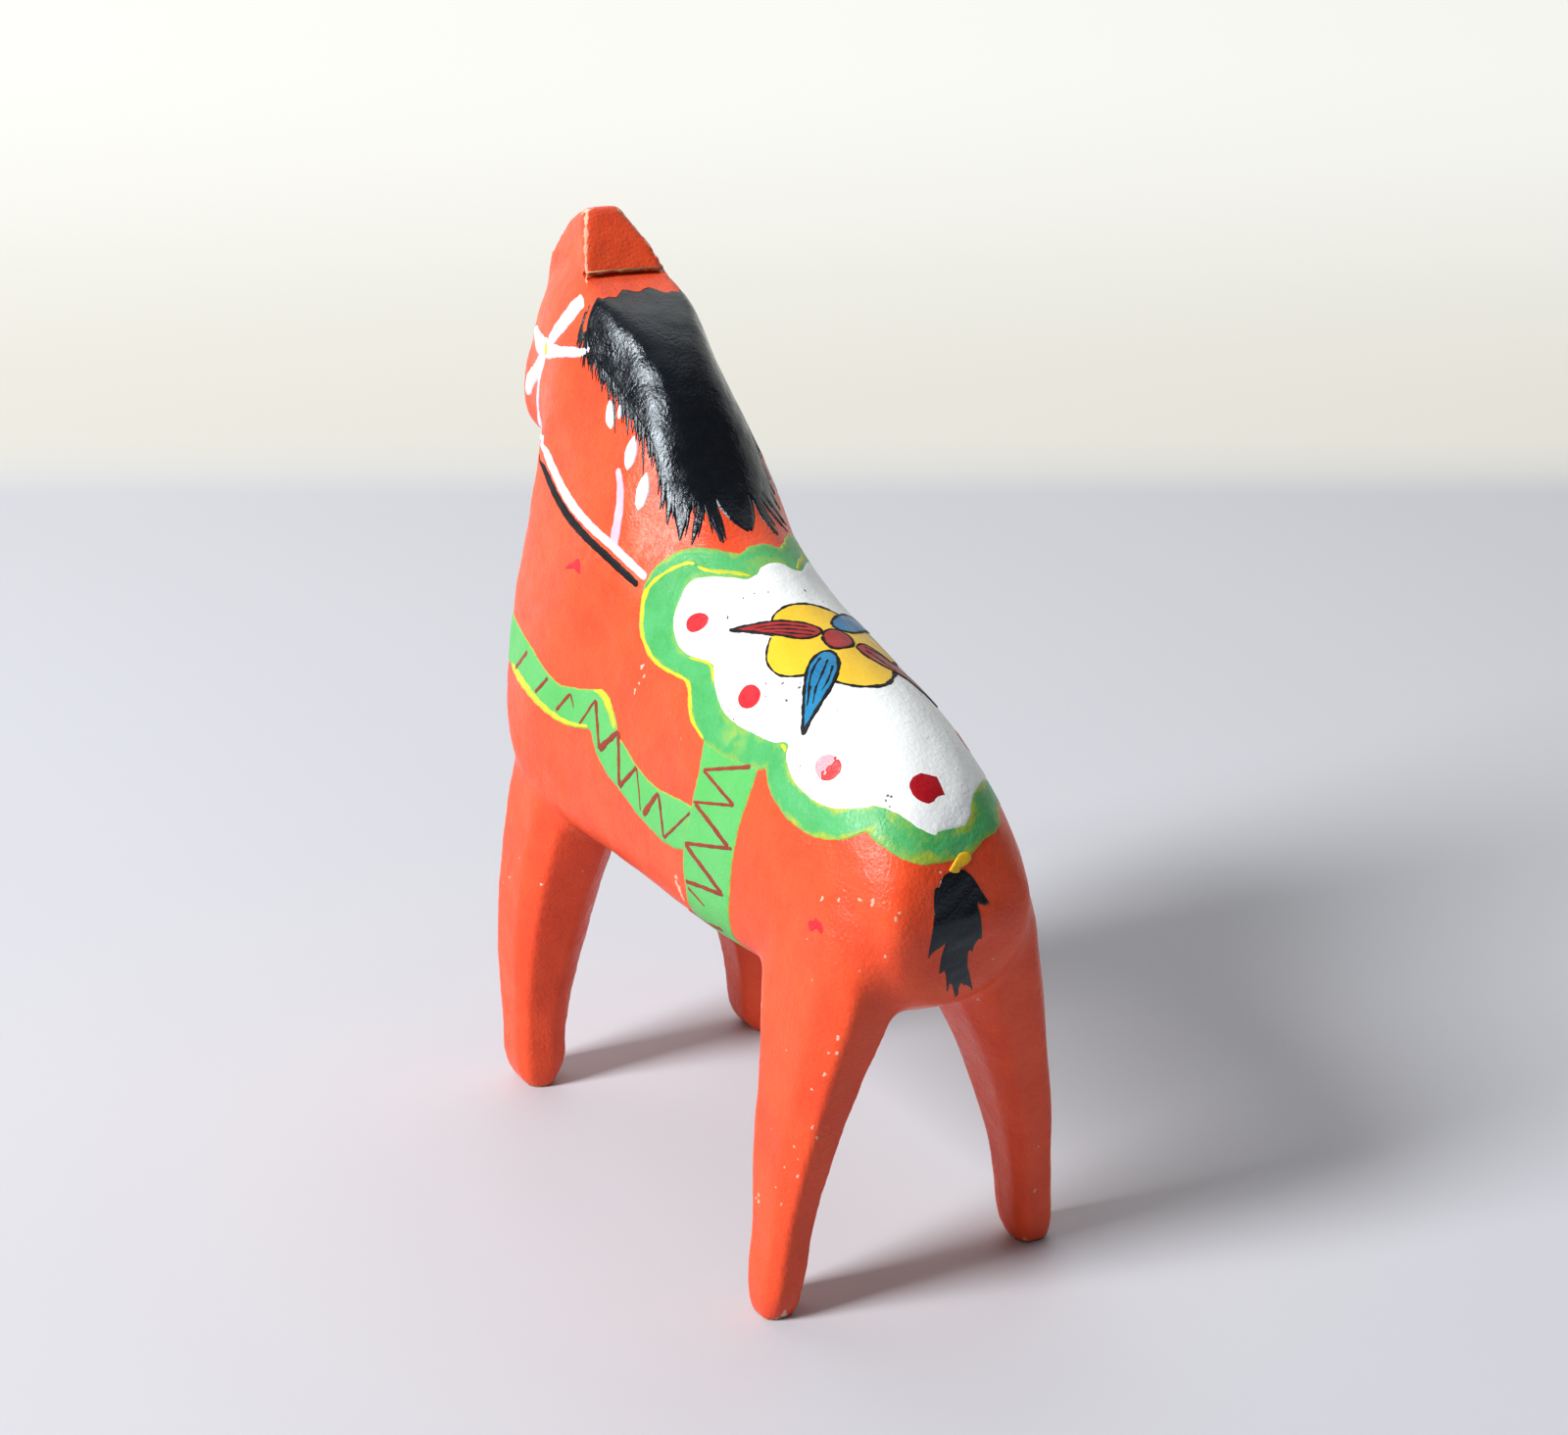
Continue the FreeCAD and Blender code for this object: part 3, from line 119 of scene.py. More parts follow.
STROKES = {
  "bridle": [
    [(7.28, -29.23, 118.03, 2.62), (7.63, -30.1, 116.89, 2.98), (7.89, -31.1, 115.71, 3.22), (8.07, -32.22, 114.47, 3.05), (8.15, -33.57, 113.19, 2.88),
     (8.12, -35.16, 111.85, 2.54), (7.98, -37.01, 110.44, 2.2)],
    [(5.56, -49.53, 110.26, 1.61), (6.13, -47.46, 109.85, 3.47), (6.56, -45.43, 109.56, 3.54), (7.01, -43.03, 109.45, 3.56), (7.49, -40.26, 109.49, 3.26),
     (7.99, -37.45, 109.63, 2.83), (8.59, -34.34, 109.86, 2.03), (9.19, -31.19, 110.29, 1.55), (9.4, -28.85, 110.71, 1.58), (9.33, -27.1, 111.02, 1.42),
     (9.13, -25.75, 111.3, 1.25), (8.83, -24.68, 111.77, 1.05), (8.5, -23.85, 112.31, 0.77), (8.18, -23.26, 112.94, 0.41)],
    [(7.85, -38.61, 108.67, 2.03), (7.45, -41.16, 107.49, 2.32), (6.95, -43.92, 106.27, 2.61), (6.38, -46.9, 104.98, 2.81), (5.66, -50.25, 103.61, 2.95),
     (5.16, -53.02, 102.32, 3.1), (5.04, -54.72, 101.17, 3.24), (4.97, -56.17, 100.02, 1.61)],
  ],
  "rein": [
    [(7.83, -38.93, 108.15, 1.86), (7.66, -40.2, 107, 1.93), (7.43, -41.6, 105.8, 2), (7.09, -43.27, 104.54, 2.03), (6.67, -45.12, 103.23, 2.03), (6.33,
     -46.47, 101.98, 2.03), (5.98, -47.63, 100.73, 1.98), (5.57, -48.84, 99.45, 1.92), (5.07, -50.22, 98.12, 1.92), (4.47, -51.79, 96.73, 1.98), (3.8,
     -53.47, 95.31, 2.03), (2.67, -54.96, 93.77, 1.01), (11.6, -33.97, 97.69, 1.05), (11.43, -35.15, 96.56, 1.07), (12.21, -33.41, 96.09, 1.08), (12.77,
     -31.23, 95.66, 2.3)],
    [(11.3, -34.86, 97.42, 1.06), (11.89, -34.07, 96.48, 1.09), (12.6, -32.14, 95.76, 2.33), (13, -30.42, 94.98, 2.37), (13.25, -28.77, 94.21, 2.23),
     (13.43, -27.11, 93.46, 2.12), (13.6, -25.46, 92.73, 2.09), (13.78, -23.75, 92.02, 2.09), (13.96, -21.94, 91.37, 2.05), (14.13, -20.03, 90.8, 1.96),
     (14.27, -18.03, 90.3, 1.86), (14.36, -15.98, 89.86, 1.77), (14.37, -14.04, 89.43, 1.69), (14.29, -12.26, 88.99, 1.61), (14.1, -10.65, 88.54, 1.56),
     (13.84, -9.19, 88.05, 1.56), (13.55, -7.86, 87.5, 1.56), (13.24, -6.59, 86.93, 1.57), (12.94, -5.33, 86.36, 1.58), (12.64, -4.05, 85.82, 1.51),
     (12.37, -2.71, 85.29, 1.45), (12.12, -1.32, 84.79, 1.38)],
  ],
  "rblack": [
    [(11.61, -35.64, 95.15, 0.48), (12.08, -35.23, 94.19, 0.65), (12.97, -32.63, 93.67, 1.69), (13.35, -30.98, 92.95, 2.03), (13.6, -29.3, 92.25, 2.1),
     (13.81, -27.62, 91.58, 2.08), (14.01, -25.96, 90.92, 2.14), (14.2, -24.23, 90.29, 2.14), (14.4, -22.43, 89.71, 2.11), (14.59, -20.55, 89.2, 2.05),
     (14.75, -18.58, 88.75, 1.96), (14.87, -16.6, 88.34, 1.86), (14.91, -14.74, 87.93, 1.79), (14.87, -13.02, 87.51, 1.72), (14.72, -11.46, 87.07, 1.69),
     (14.51, -10.03, 86.61, 1.69), (14.24, -8.73, 86.12, 1.69), (13.97, -7.49, 85.6, 1.69), (13.68, -6.26, 85.08, 1.7), (13.41, -5.02, 84.57, 1.58),
     (13.16, -3.75, 84.08, 1.47), (12.93, -2.43, 83.6, 1.36)],
  ],
  "lav": [
    [(10.98, -12.2, 97.69, 0.96), (11.2, -11.24, 96.66, 1.12), (11.45, -10.45, 95.59, 1.29), (11.75, -9.87, 94.48, 1.43), (12.09, -9.44, 93.35, 1.55),
     (12.42, -9.12, 92.19, 1.63), (12.77, -8.89, 91.03, 1.64), (13.13, -8.75, 89.85, 1.66), (13.43, -8.54, 88.67, 1.56), (13.71, -8.28, 87.49, 1.49)],
    [(13.64, -8.11, 87.52, 0.89), (13.82, -8.86, 87.75, 0.76), (13.84, -9.31, 88.15, 0.62), (13.77, -9.63, 88.71, 0.38)],
  ],
  "drop": [
    [(9.08, -18.09, 105.93, 0.6), (9.22, -17.76, 105.31, 1.33), (9.36, -17.43, 104.7, 1.82), (9.51, -17.09, 104.09, 2.04), (9.65, -16.75, 103.48, 1.98),
     (9.8, -16.4, 102.87, 1.62), (9.96, -16.04, 102.26, 0.94)],
    [(8.68, -11.37, 102.2, 0.67), (8.98, -11.17, 101.45, 1.48), (9.27, -10.97, 100.7, 2.02), (9.58, -10.77, 99.95, 2.25), (9.87, -10.58, 99.2, 2.18),
     (10.16, -10.4, 98.45, 1.78), (10.45, -10.22, 97.7, 1.02)],
    [(9, -7.09, 97.97, 0.63), (9.34, -6.91, 97.14, 1.4), (9.66, -6.73, 96.32, 1.89), (9.98, -6.58, 95.49, 2.11), (10.29, -6.43, 94.66, 2.05), (10.59, -6.3,
     93.82, 1.66), (10.89, -6.19, 92.98, 0.96)],
    [(8.55, -15.93, 105.71, 0.38), (8.75, -15.65, 105.05, 0.77), (8.95, -15.37, 104.39, 0.85), (9.15, -15.09, 103.73, 0.59)],
  ],
  "ydot": [
    [(7.77, -38.22, 110.51, 1.02), (7.83, -38.13, 110.03, 2.2), (7.89, -38.03, 109.55, 2.37), (7.95, -37.91, 109.08, 2.03), (8.02, -37.81, 108.6, 0.85)],
  ],
  "strand": [
    [(8.3, -26.16, 114.15, 1.23), (8.46, -25.86, 113.52, 1.18), (8.61, -25.56, 112.89, 1.13), (8.76, -25.24, 112.26, 1), (8.9, -24.86, 111.65, 0.84),
     (9.05, -24.54, 111.02, 0.65), (9.21, -24.29, 110.39, 0.38), (9.38, -24.1, 109.74, 0.11)],
    [(8.3, -24.21, 113.08, 1.18), (8.46, -24.09, 112.56, 1.15), (8.6, -23.94, 112.05, 1.1), (8.74, -23.75, 111.54, 0.98), (8.87, -23.53, 111.03, 0.82),
     (8.99, -23.32, 110.52, 0.63), (9.13, -23.2, 110, 0.37), (9.29, -23.17, 109.48, 0.11)],
    [(8.27, -22.93, 112.46, 1.4), (8.46, -22.7, 111.74, 1.33), (8.63, -22.41, 111.04, 1.26), (8.76, -22.05, 110.34, 1.08), (8.85, -21.61, 109.66, 0.89),
     (8.97, -21.26, 108.97, 0.68), (9.11, -20.94, 108.26, 0.4), (9.25, -20.66, 107.56, 0.12)],
    [(8.08, -21.5, 111.85, 1), (8.26, -21.43, 111.26, 0.97), (8.41, -21.29, 110.69, 0.93), (8.53, -21.07, 110.13, 0.81), (8.58, -20.7, 109.6, 0.67), (8.65,
     -20.36, 109.05, 0.52), (8.76, -20.09, 108.5, 0.31), (8.87, -19.84, 107.94, 0.09)],
    [(7.95, -20.51, 111.17, 0.95), (8.14, -20.44, 110.57, 0.93), (8.3, -20.29, 109.99, 0.9), (8.42, -20.05, 109.41, 0.8), (8.49, -19.66, 108.86, 0.67),
     (8.57, -19.3, 108.3, 0.53), (8.69, -19.01, 107.74, 0.32), (8.82, -18.74, 107.16, 0.09)],
    [(7.8, -19.96, 110.97, 0.78), (8.05, -19.29, 109.64, 0.77), (8.32, -18.58, 108.32, 0.77), (8.6, -17.85, 107.01, 0.7), (8.9, -17.12, 105.69, 0.61),
     (9.23, -16.41, 104.38, 0.48), (9.56, -15.7, 103.08, 0.28), (9.92, -14.99, 101.77, 0.08)],
    [(7.8, -18.53, 109.57, 0.94), (7.94, -18.16, 108.9, 0.92), (8.08, -17.76, 108.24, 0.89), (8.19, -17.31, 107.59, 0.79), (8.3, -16.81, 106.95, 0.67),
     (8.43, -16.36, 106.3, 0.52), (8.58, -15.94, 105.64, 0.31), (8.75, -15.55, 104.98, 0.09)],
    [(7.47, -16.96, 108.99, 0.72), (7.8, -16.85, 108.15, 0.71), (8.06, -16.56, 107.34, 0.68), (8.25, -16.1, 106.54, 0.61), (8.44, -15.61, 105.74, 0.52),
     (8.65, -15.18, 104.93, 0.4), (8.88, -14.77, 104.12, 0.24), (9.13, -14.39, 103.31, 0.07)],
    [(7.48, -16.44, 108.53, 1.05), (7.74, -15.97, 107.58, 1.02), (7.99, -15.46, 106.64, 0.98), (8.2, -14.84, 105.72, 0.88), (8.4, -14.2, 104.8, 0.74),
     (8.65, -13.62, 103.88, 0.58), (8.9, -13.06, 102.96, 0.34), (9.16, -12.53, 102.03, 0.1)],
    [(7.46, -15.02, 107.41, 0.91), (7.64, -14.69, 106.78, 0.89), (7.81, -14.35, 106.16, 0.86), (7.97, -13.97, 105.54, 0.77), (8.1, -13.53, 104.93, 0.65),
     (8.27, -13.15, 104.32, 0.51), (8.45, -12.81, 103.7, 0.3), (8.64, -12.48, 103.07, 0.09)],
    [(7.14, -13.55, 106.82, 0.92), (7.45, -13.5, 106.2, 0.89), (7.7, -13.33, 105.58, 0.86), (7.88, -12.98, 104.98, 0.75), (8.01, -12.54, 104.39, 0.63),
     (8.17, -12.15, 103.79, 0.49), (8.35, -11.81, 103.18, 0.29), (8.54, -11.49, 102.57, 0.09)],
    [(7.25, -12.79, 106.01, 0.89), (7.51, -12.47, 105.26, 0.87), (7.75, -12.09, 104.52, 0.83), (7.94, -11.6, 103.79, 0.73), (8.1, -11.07, 103.07, 0.62),
     (8.31, -10.62, 102.34, 0.48), (8.52, -10.19, 101.61, 0.28), (8.74, -9.78, 100.88, 0.08)],
    [(7, -11.65, 105.51, 0.57), (7.54, -11.28, 104.28, 0.56), (7.9, -10.58, 103.07, 0.53), (8.22, -9.81, 101.87, 0.47), (8.55, -9.08, 100.66, 0.39), (8.9,
     -8.42, 99.44, 0.3), (9.24, -7.79, 98.22, 0.17), (9.57, -7.18, 96.99, 0.05)],
    [(7.01, -10.6, 104.62, 1.07), (7.28, -10.28, 103.89, 1.03), (7.51, -9.9, 103.17, 0.98), (7.69, -9.42, 102.47, 0.85), (7.83, -8.9, 101.77, 0.71), (8.01,
     -8.46, 101.06, 0.55), (8.2, -8.04, 100.34, 0.32), (8.4, -7.64, 99.63, 0.09)],
    [(6.79, -9.36, 103.88, 0.82), (7.11, -9.07, 103.14, 0.8), (7.37, -8.73, 102.4, 0.77), (7.58, -8.32, 101.66, 0.68), (7.79, -7.91, 100.93, 0.57), (8,
     -7.53, 100.19, 0.44), (8.24, -7.2, 99.44, 0.26), (8.49, -6.9, 98.7, 0.07)],
    [(6.87, -8.63, 103.07, 0.98), (7.07, -8.2, 102.36, 0.95), (7.26, -7.78, 101.65, 0.91), (7.42, -7.33, 100.94, 0.8), (7.58, -6.89, 100.23, 0.68), (7.77,
     -6.51, 99.51, 0.53), (7.96, -6.15, 98.79, 0.31), (8.15, -5.82, 98.06, 0.09)],
    [(6.7, -6.95, 101.61, 0.77), (7.05, -6.61, 100.72, 0.75), (7.35, -6.22, 99.82, 0.71), (7.62, -5.8, 98.92, 0.63), (7.88, -5.4, 98.02, 0.54), (8.15,
     -5.05, 97.11, 0.42), (8.44, -4.73, 96.2, 0.24), (8.75, -4.43, 95.29, 0.07)],
    [(6.66, -5.61, 100.11, 1.13), (7.09, -5.36, 99.18, 1.09), (7.39, -4.98, 98.25, 1.05), (7.64, -4.55, 97.31, 0.93), (7.89, -4.13, 96.37, 0.79), (8.14,
     -3.75, 95.43, 0.62), (8.43, -3.39, 94.48, 0.36), (8.73, -3.05, 93.54, 0.11)],
    [(6.62, -4.66, 98.94, 1.28), (6.98, -4.24, 97.9, 1.24), (7.27, -3.79, 96.87, 1.2), (7.55, -3.32, 95.83, 1.08), (7.82, -2.84, 94.8, 0.92), (8.11, -2.4,
     93.76, 0.72), (8.44, -1.96, 92.73, 0.43), (8.77, -1.54, 91.7, 0.13)],
    [(6.28, -3.63, 98.02, 1.09), (6.63, -3.38, 97.23, 1.05), (6.9, -3.06, 96.44, 1.02), (7.12, -2.7, 95.65, 0.92), (7.34, -2.32, 94.86, 0.78), (7.58,
     -1.96, 94.07, 0.6), (7.85, -1.63, 93.28, 0.36), (8.14, -1.32, 92.49, 0.11)],
    [(5.99, -2.58, 96.99, 0.9), (6.29, -2.29, 96.21, 0.87), (6.59, -1.97, 95.44, 0.85), (6.85, -1.62, 94.67, 0.77), (7.12, -1.27, 93.9, 0.65), (7.41,
     -0.93, 93.13, 0.51), (7.72, -0.62, 92.37, 0.31), (8.06, -0.33, 91.61, 0.09)],
    [(5.85, -1.83, 96.18, 1.23), (6.03, -1.31, 95.31, 1.2), (6.29, -0.84, 94.45, 1.18), (6.64, -0.42, 93.59, 1.08), (7.03, -0.06, 92.72, 0.93), (7.43,
     0.32, 91.87, 0.73), (7.82, 0.67, 91.02, 0.44), (8.24, 1.01, 90.17, 0.13)],
    [(5.38, -1.09, 95.74, 0.71), (5.73, -0.76, 95, 0.69), (6.05, -0.43, 94.26, 0.68), (6.34, -0.04, 93.52, 0.61), (6.64, 0.37, 92.79, 0.52), (6.95, 0.75,
     92.06, 0.41), (7.29, 1.12, 91.33, 0.24), (7.65, 1.45, 90.6, 0.07)],
    [(3.88, -0.43, 96.24, 1.38), (4.3, 0.12, 95.28, 1.35), (4.78, 0.66, 94.34, 1.32), (5.29, 1.16, 93.4, 1.21), (5.83, 1.63, 92.47, 1.05), (6.37, 2.1,
     91.55, 0.82), (6.91, 2.53, 90.62, 0.5), (7.46, 2.93, 89.7, 0.15)],
    [(4.32, 0.08, 95.31, 0.69), (4.57, 0.53, 94.64, 0.67), (4.84, 0.98, 93.97, 0.66), (5.13, 1.41, 93.31, 0.59), (5.46, 1.84, 92.64, 0.51), (5.79, 2.25,
     91.99, 0.4), (6.15, 2.64, 91.33, 0.24), (6.53, 3.01, 90.68, 0.07)],
    [(3.67, -0.32, 96.24, 0.69), (3.9, 0.21, 95.49, 0.67), (4.1, 0.76, 94.75, 0.64), (4.22, 1.39, 94.04, 0.57), (4.31, 2.07, 93.35, 0.48), (4.47, 2.75,
     92.65, 0.37), (4.66, 3.44, 91.96, 0.22), (4.88, 4.13, 91.27, 0.06)],
    [(2.8, 0.11, 96.23, 1.03), (3.39, 0.62, 95.36, 1), (3.74, 1.25, 94.51, 0.96), (3.83, 2.05, 93.69, 0.86), (3.88, 2.94, 92.87, 0.72), (4.04, 3.81, 92.07,
     0.55), (4.25, 4.71, 91.27, 0.32), (4.5, 5.63, 90.48, 0.09)],
    [(2.48, 0.19, 96.2, 1.13), (2.96, 0.85, 95.36, 1.08), (3.26, 1.49, 94.54, 1.05), (3.31, 2.3, 93.75, 0.95), (3.29, 3.19, 92.99, 0.8), (3.4, 4.07, 92.23,
     0.61), (3.56, 4.98, 91.47, 0.35), (3.75, 5.91, 90.72, 0.1)],
    [(8.3, -24.53, 113.26, 0.78), (8.56, -24.52, 112.49, 0.79), (8.77, -24.27, 111.74, 0.78), (8.94, -23.89, 111, 0.71), (9.11, -23.52, 110.25, 0.6),
     (9.28, -23.17, 109.51, 0.47), (9.45, -22.84, 108.76, 0.27), (9.61, -22.53, 108, 0.08)],
    [(8.3, -24.45, 113.21, 0.77), (8.51, -24.46, 112.61, 0.77), (8.68, -24.34, 112.02, 0.76), (8.83, -24.08, 111.45, 0.69), (8.96, -23.79, 110.87, 0.59),
     (9.09, -23.49, 110.3, 0.46), (9.21, -23.15, 109.74, 0.26), (9.31, -22.78, 109.19, 0.07)],
    [(8.31, -23.5, 112.68, 0.56), (8.49, -23.54, 112.17, 0.56), (8.64, -23.47, 111.68, 0.56), (8.76, -23.26, 111.2, 0.49), (8.83, -22.89, 110.74, 0.41),
     (8.92, -22.59, 110.27, 0.32), (9.02, -22.37, 109.78, 0.19), (9.13, -22.16, 109.29, 0.05)],
    [(8.3, -23.36, 112.63, 0.52), (8.51, -23.37, 112, 0.52), (8.69, -23.25, 111.39, 0.51), (8.83, -22.97, 110.79, 0.46), (8.97, -22.7, 110.19, 0.39), (9.1,
     -22.45, 109.59, 0.3), (9.25, -22.26, 108.98, 0.17), (9.4, -22.12, 108.36, 0.05)],
    [(8.17, -21.82, 111.9, 0.68), (8.43, -21.81, 111.11, 0.69), (8.62, -21.59, 110.35, 0.68), (8.74, -21.19, 109.6, 0.61), (8.87, -20.8, 108.85, 0.53),
     (9.03, -20.5, 108.09, 0.42), (9.21, -20.24, 107.32, 0.25), (9.4, -20.04, 106.55, 0.07)],
    [(8.13, -21.53, 111.74, 0.63), (8.36, -21.52, 111.05, 0.64), (8.54, -21.37, 110.38, 0.64), (8.67, -21.08, 109.71, 0.58), (8.8, -20.77, 109.04, 0.5),
     (8.95, -20.53, 108.37, 0.4), (9.13, -20.39, 107.69, 0.24), (9.34, -20.33, 107, 0.07)],
    [(8, -20.57, 111.1, 0.37), (8.23, -20.56, 110.46, 0.38), (8.4, -20.42, 109.83, 0.38), (8.51, -20.11, 109.21, 0.34), (8.61, -19.74, 108.6, 0.3), (8.74,
     -19.46, 107.98, 0.24), (8.89, -19.23, 107.36, 0.14), (9.06, -19.05, 106.72, 0.04)],
    [(8.03, -20.76, 111.24, 0.61), (8.21, -20.76, 110.71, 0.62), (8.37, -20.69, 110.18, 0.62), (8.49, -20.49, 109.66, 0.57), (8.59, -20.25, 109.15, 0.49),
     (8.7, -20.04, 108.63, 0.39), (8.86, -19.97, 108.11, 0.23), (9.05, -19.99, 107.58, 0.06)],
    [(7.89, -20.1, 110.89, 0.35), (8.14, -20.04, 110.16, 0.35), (8.35, -19.86, 109.44, 0.35), (8.51, -19.59, 108.72, 0.33), (8.68, -19.31, 108, 0.29),
     (8.85, -19.02, 107.29, 0.23), (9.02, -18.73, 106.57, 0.13), (9.19, -18.43, 105.86, 0.04)],
    [(7.76, -19.73, 110.83, 0.51), (8.02, -19.63, 110.07, 0.52), (8.25, -19.48, 109.32, 0.52), (8.46, -19.27, 108.57, 0.49), (8.67, -19.03, 107.82, 0.43),
     (8.85, -18.76, 107.07, 0.34), (9.04, -18.47, 106.32, 0.2), (9.22, -18.15, 105.58, 0.06)],
    [(7.65, -18.48, 109.9, 0.66), (7.86, -18.46, 109.36, 0.67), (8.03, -18.34, 108.83, 0.67), (8.16, -18.09, 108.31, 0.6), (8.26, -17.76, 107.8, 0.52),
     (8.37, -17.46, 107.29, 0.41), (8.49, -17.18, 106.77, 0.25), (8.62, -16.92, 106.25, 0.07)],
    [(7.65, -18.23, 109.66, 0.52), (7.84, -18.14, 109.14, 0.53), (8.02, -18.04, 108.61, 0.53), (8.19, -17.92, 108.09, 0.49), (8.37, -17.81, 107.56, 0.43),
     (8.52, -17.63, 107.04, 0.34), (8.66, -17.42, 106.52, 0.2), (8.8, -17.19, 106, 0.05)],
    [(7.63, -17.59, 109.18, 0.36), (7.84, -17.53, 108.61, 0.36), (8.03, -17.4, 108.05, 0.36), (8.19, -17.19, 107.5, 0.33), (8.35, -16.95, 106.95, 0.28),
     (8.49, -16.68, 106.4, 0.22), (8.63, -16.37, 105.86, 0.13), (8.75, -16.03, 105.32, 0.04)],
    [(7.59, -17.18, 108.92, 0.63), (7.8, -17.14, 108.39, 0.64), (7.98, -17.02, 107.87, 0.64), (8.11, -16.77, 107.36, 0.58), (8.22, -16.44, 106.86, 0.49),
     (8.33, -16.12, 106.35, 0.39), (8.45, -15.81, 105.85, 0.23), (8.57, -15.51, 105.35, 0.06)],
    [(7.49, -16.47, 108.54, 0.51), (7.74, -16.39, 107.93, 0.52), (7.94, -16.21, 107.34, 0.52), (8.09, -15.89, 106.76, 0.47), (8.23, -15.53, 106.17, 0.41),
     (8.38, -15.22, 105.59, 0.32), (8.55, -14.93, 105, 0.19), (8.72, -14.65, 104.41, 0.05)],
    [(7.47, -16.38, 108.5, 0.45), (7.78, -16.27, 107.73, 0.45), (8.01, -15.95, 106.98, 0.46), (8.2, -15.53, 106.24, 0.42), (8.38, -15.09, 105.49, 0.37),
     (8.59, -14.7, 104.74, 0.29), (8.82, -14.36, 103.99, 0.17), (9.06, -14.05, 103.24, 0.05)],
    [(7.4, -15.51, 107.94, 0.49), (7.62, -15.46, 107.42, 0.48), (7.8, -15.31, 106.91, 0.48), (7.94, -15.04, 106.42, 0.43), (8.04, -14.67, 105.93, 0.36),
     (8.15, -14.34, 105.44, 0.29), (8.28, -14.04, 104.95, 0.17), (8.42, -13.75, 104.45, 0.05)],
    [(7.4, -15.7, 108.09, 0.3), (7.64, -15.63, 107.53, 0.3), (7.83, -15.47, 106.98, 0.3), (7.98, -15.17, 106.44, 0.27), (8.11, -14.83, 105.9, 0.23), (8.26,
     -14.52, 105.36, 0.18), (8.42, -14.26, 104.81, 0.11), (8.6, -14.02, 104.26, 0.03)],
    [(7.32, -13.99, 106.83, 0.45), (7.52, -13.93, 106.41, 0.45), (7.69, -13.82, 106, 0.45), (7.82, -13.63, 105.59, 0.41), (7.91, -13.36, 105.2, 0.35), (8,
     -13.07, 104.8, 0.28), (8.13, -12.87, 104.39, 0.17), (8.28, -12.71, 103.98, 0.05)],
    [(7.34, -14.16, 106.94, 0.29), (7.63, -14.02, 106.28, 0.29), (7.86, -13.77, 105.62, 0.3), (8.05, -13.43, 104.96, 0.27), (8.25, -13.08, 104.31, 0.23),
     (8.43, -12.72, 103.66, 0.18), (8.6, -12.31, 103.02, 0.1), (8.76, -11.88, 102.38, 0.03)],
    [(7.25, -12.91, 106.1, 0.44), (7.59, -12.74, 105.34, 0.44), (7.84, -12.39, 104.59, 0.43), (8.06, -11.98, 103.84, 0.4), (8.29, -11.55, 103.1, 0.34),
     (8.52, -11.15, 102.35, 0.27), (8.77, -10.8, 101.6, 0.16), (9.02, -10.47, 100.85, 0.05)],
    [(7.26, -13.14, 106.26, 0.41), (7.5, -13.04, 105.73, 0.41), (7.71, -12.87, 105.2, 0.41), (7.87, -12.58, 104.68, 0.37), (8.02, -12.29, 104.16, 0.32),
     (8.18, -12, 103.64, 0.25), (8.36, -11.75, 103.12, 0.15), (8.55, -11.56, 102.59, 0.04)],
    [(7.18, -12.13, 105.6, 0.28), (7.43, -12.02, 105.06, 0.29), (7.64, -11.84, 104.53, 0.29), (7.79, -11.53, 104.02, 0.26), (7.91, -11.16, 103.5, 0.22),
     (8.05, -10.84, 102.99, 0.17), (8.21, -10.55, 102.46, 0.1), (8.37, -10.26, 101.94, 0.03)],
    [(7.15, -11.89, 105.46, 0.54), (7.37, -11.75, 104.96, 0.55), (7.58, -11.59, 104.45, 0.56), (7.76, -11.38, 103.95, 0.51), (7.94, -11.15, 103.45, 0.44),
     (8.11, -10.91, 102.94, 0.34), (8.27, -10.66, 102.44, 0.2), (8.43, -10.4, 101.94, 0.05)],
    [(7.06, -11.17, 105, 0.31), (7.33, -11.04, 104.45, 0.3), (7.55, -10.83, 103.9, 0.3), (7.71, -10.52, 103.36, 0.27), (7.87, -10.19, 102.82, 0.24), (8.02,
     -9.87, 102.28, 0.19), (8.18, -9.55, 101.74, 0.11), (8.33, -9.24, 101.2, 0.03)],
    [(7.06, -11.06, 104.92, 0.56), (7.37, -10.86, 104.22, 0.55), (7.64, -10.56, 103.53, 0.55), (7.87, -10.21, 102.83, 0.51), (8.09, -9.84, 102.13, 0.44),
     (8.29, -9.46, 101.44, 0.34), (8.49, -9.07, 100.75, 0.2), (8.69, -8.69, 100.06, 0.05)],
    [(6.93, -9.83, 104.1, 0.41), (7.23, -9.68, 103.47, 0.41), (7.46, -9.41, 102.85, 0.41), (7.64, -9.05, 102.23, 0.36), (7.81, -8.68, 101.6, 0.31), (7.98,
     -8.31, 100.98, 0.24), (8.13, -7.93, 100.37, 0.14), (8.28, -7.56, 99.75, 0.04)],
    [(6.95, -9.98, 104.2, 0.53), (7.23, -9.84, 103.61, 0.53), (7.46, -9.61, 103.03, 0.52), (7.62, -9.27, 102.45, 0.47), (7.78, -8.93, 101.88, 0.4), (7.96,
     -8.62, 101.3, 0.32), (8.17, -8.37, 100.71, 0.18), (8.42, -8.19, 100.12, 0.05)],
    [(6.79, -8.86, 103.41, 0.46), (7.05, -8.75, 102.92, 0.45), (7.25, -8.56, 102.43, 0.45), (7.39, -8.28, 101.96, 0.4), (7.46, -7.92, 101.49, 0.34), (7.57,
     -7.62, 101.01, 0.27), (7.71, -7.38, 100.52, 0.16), (7.88, -7.17, 100.03, 0.05)],
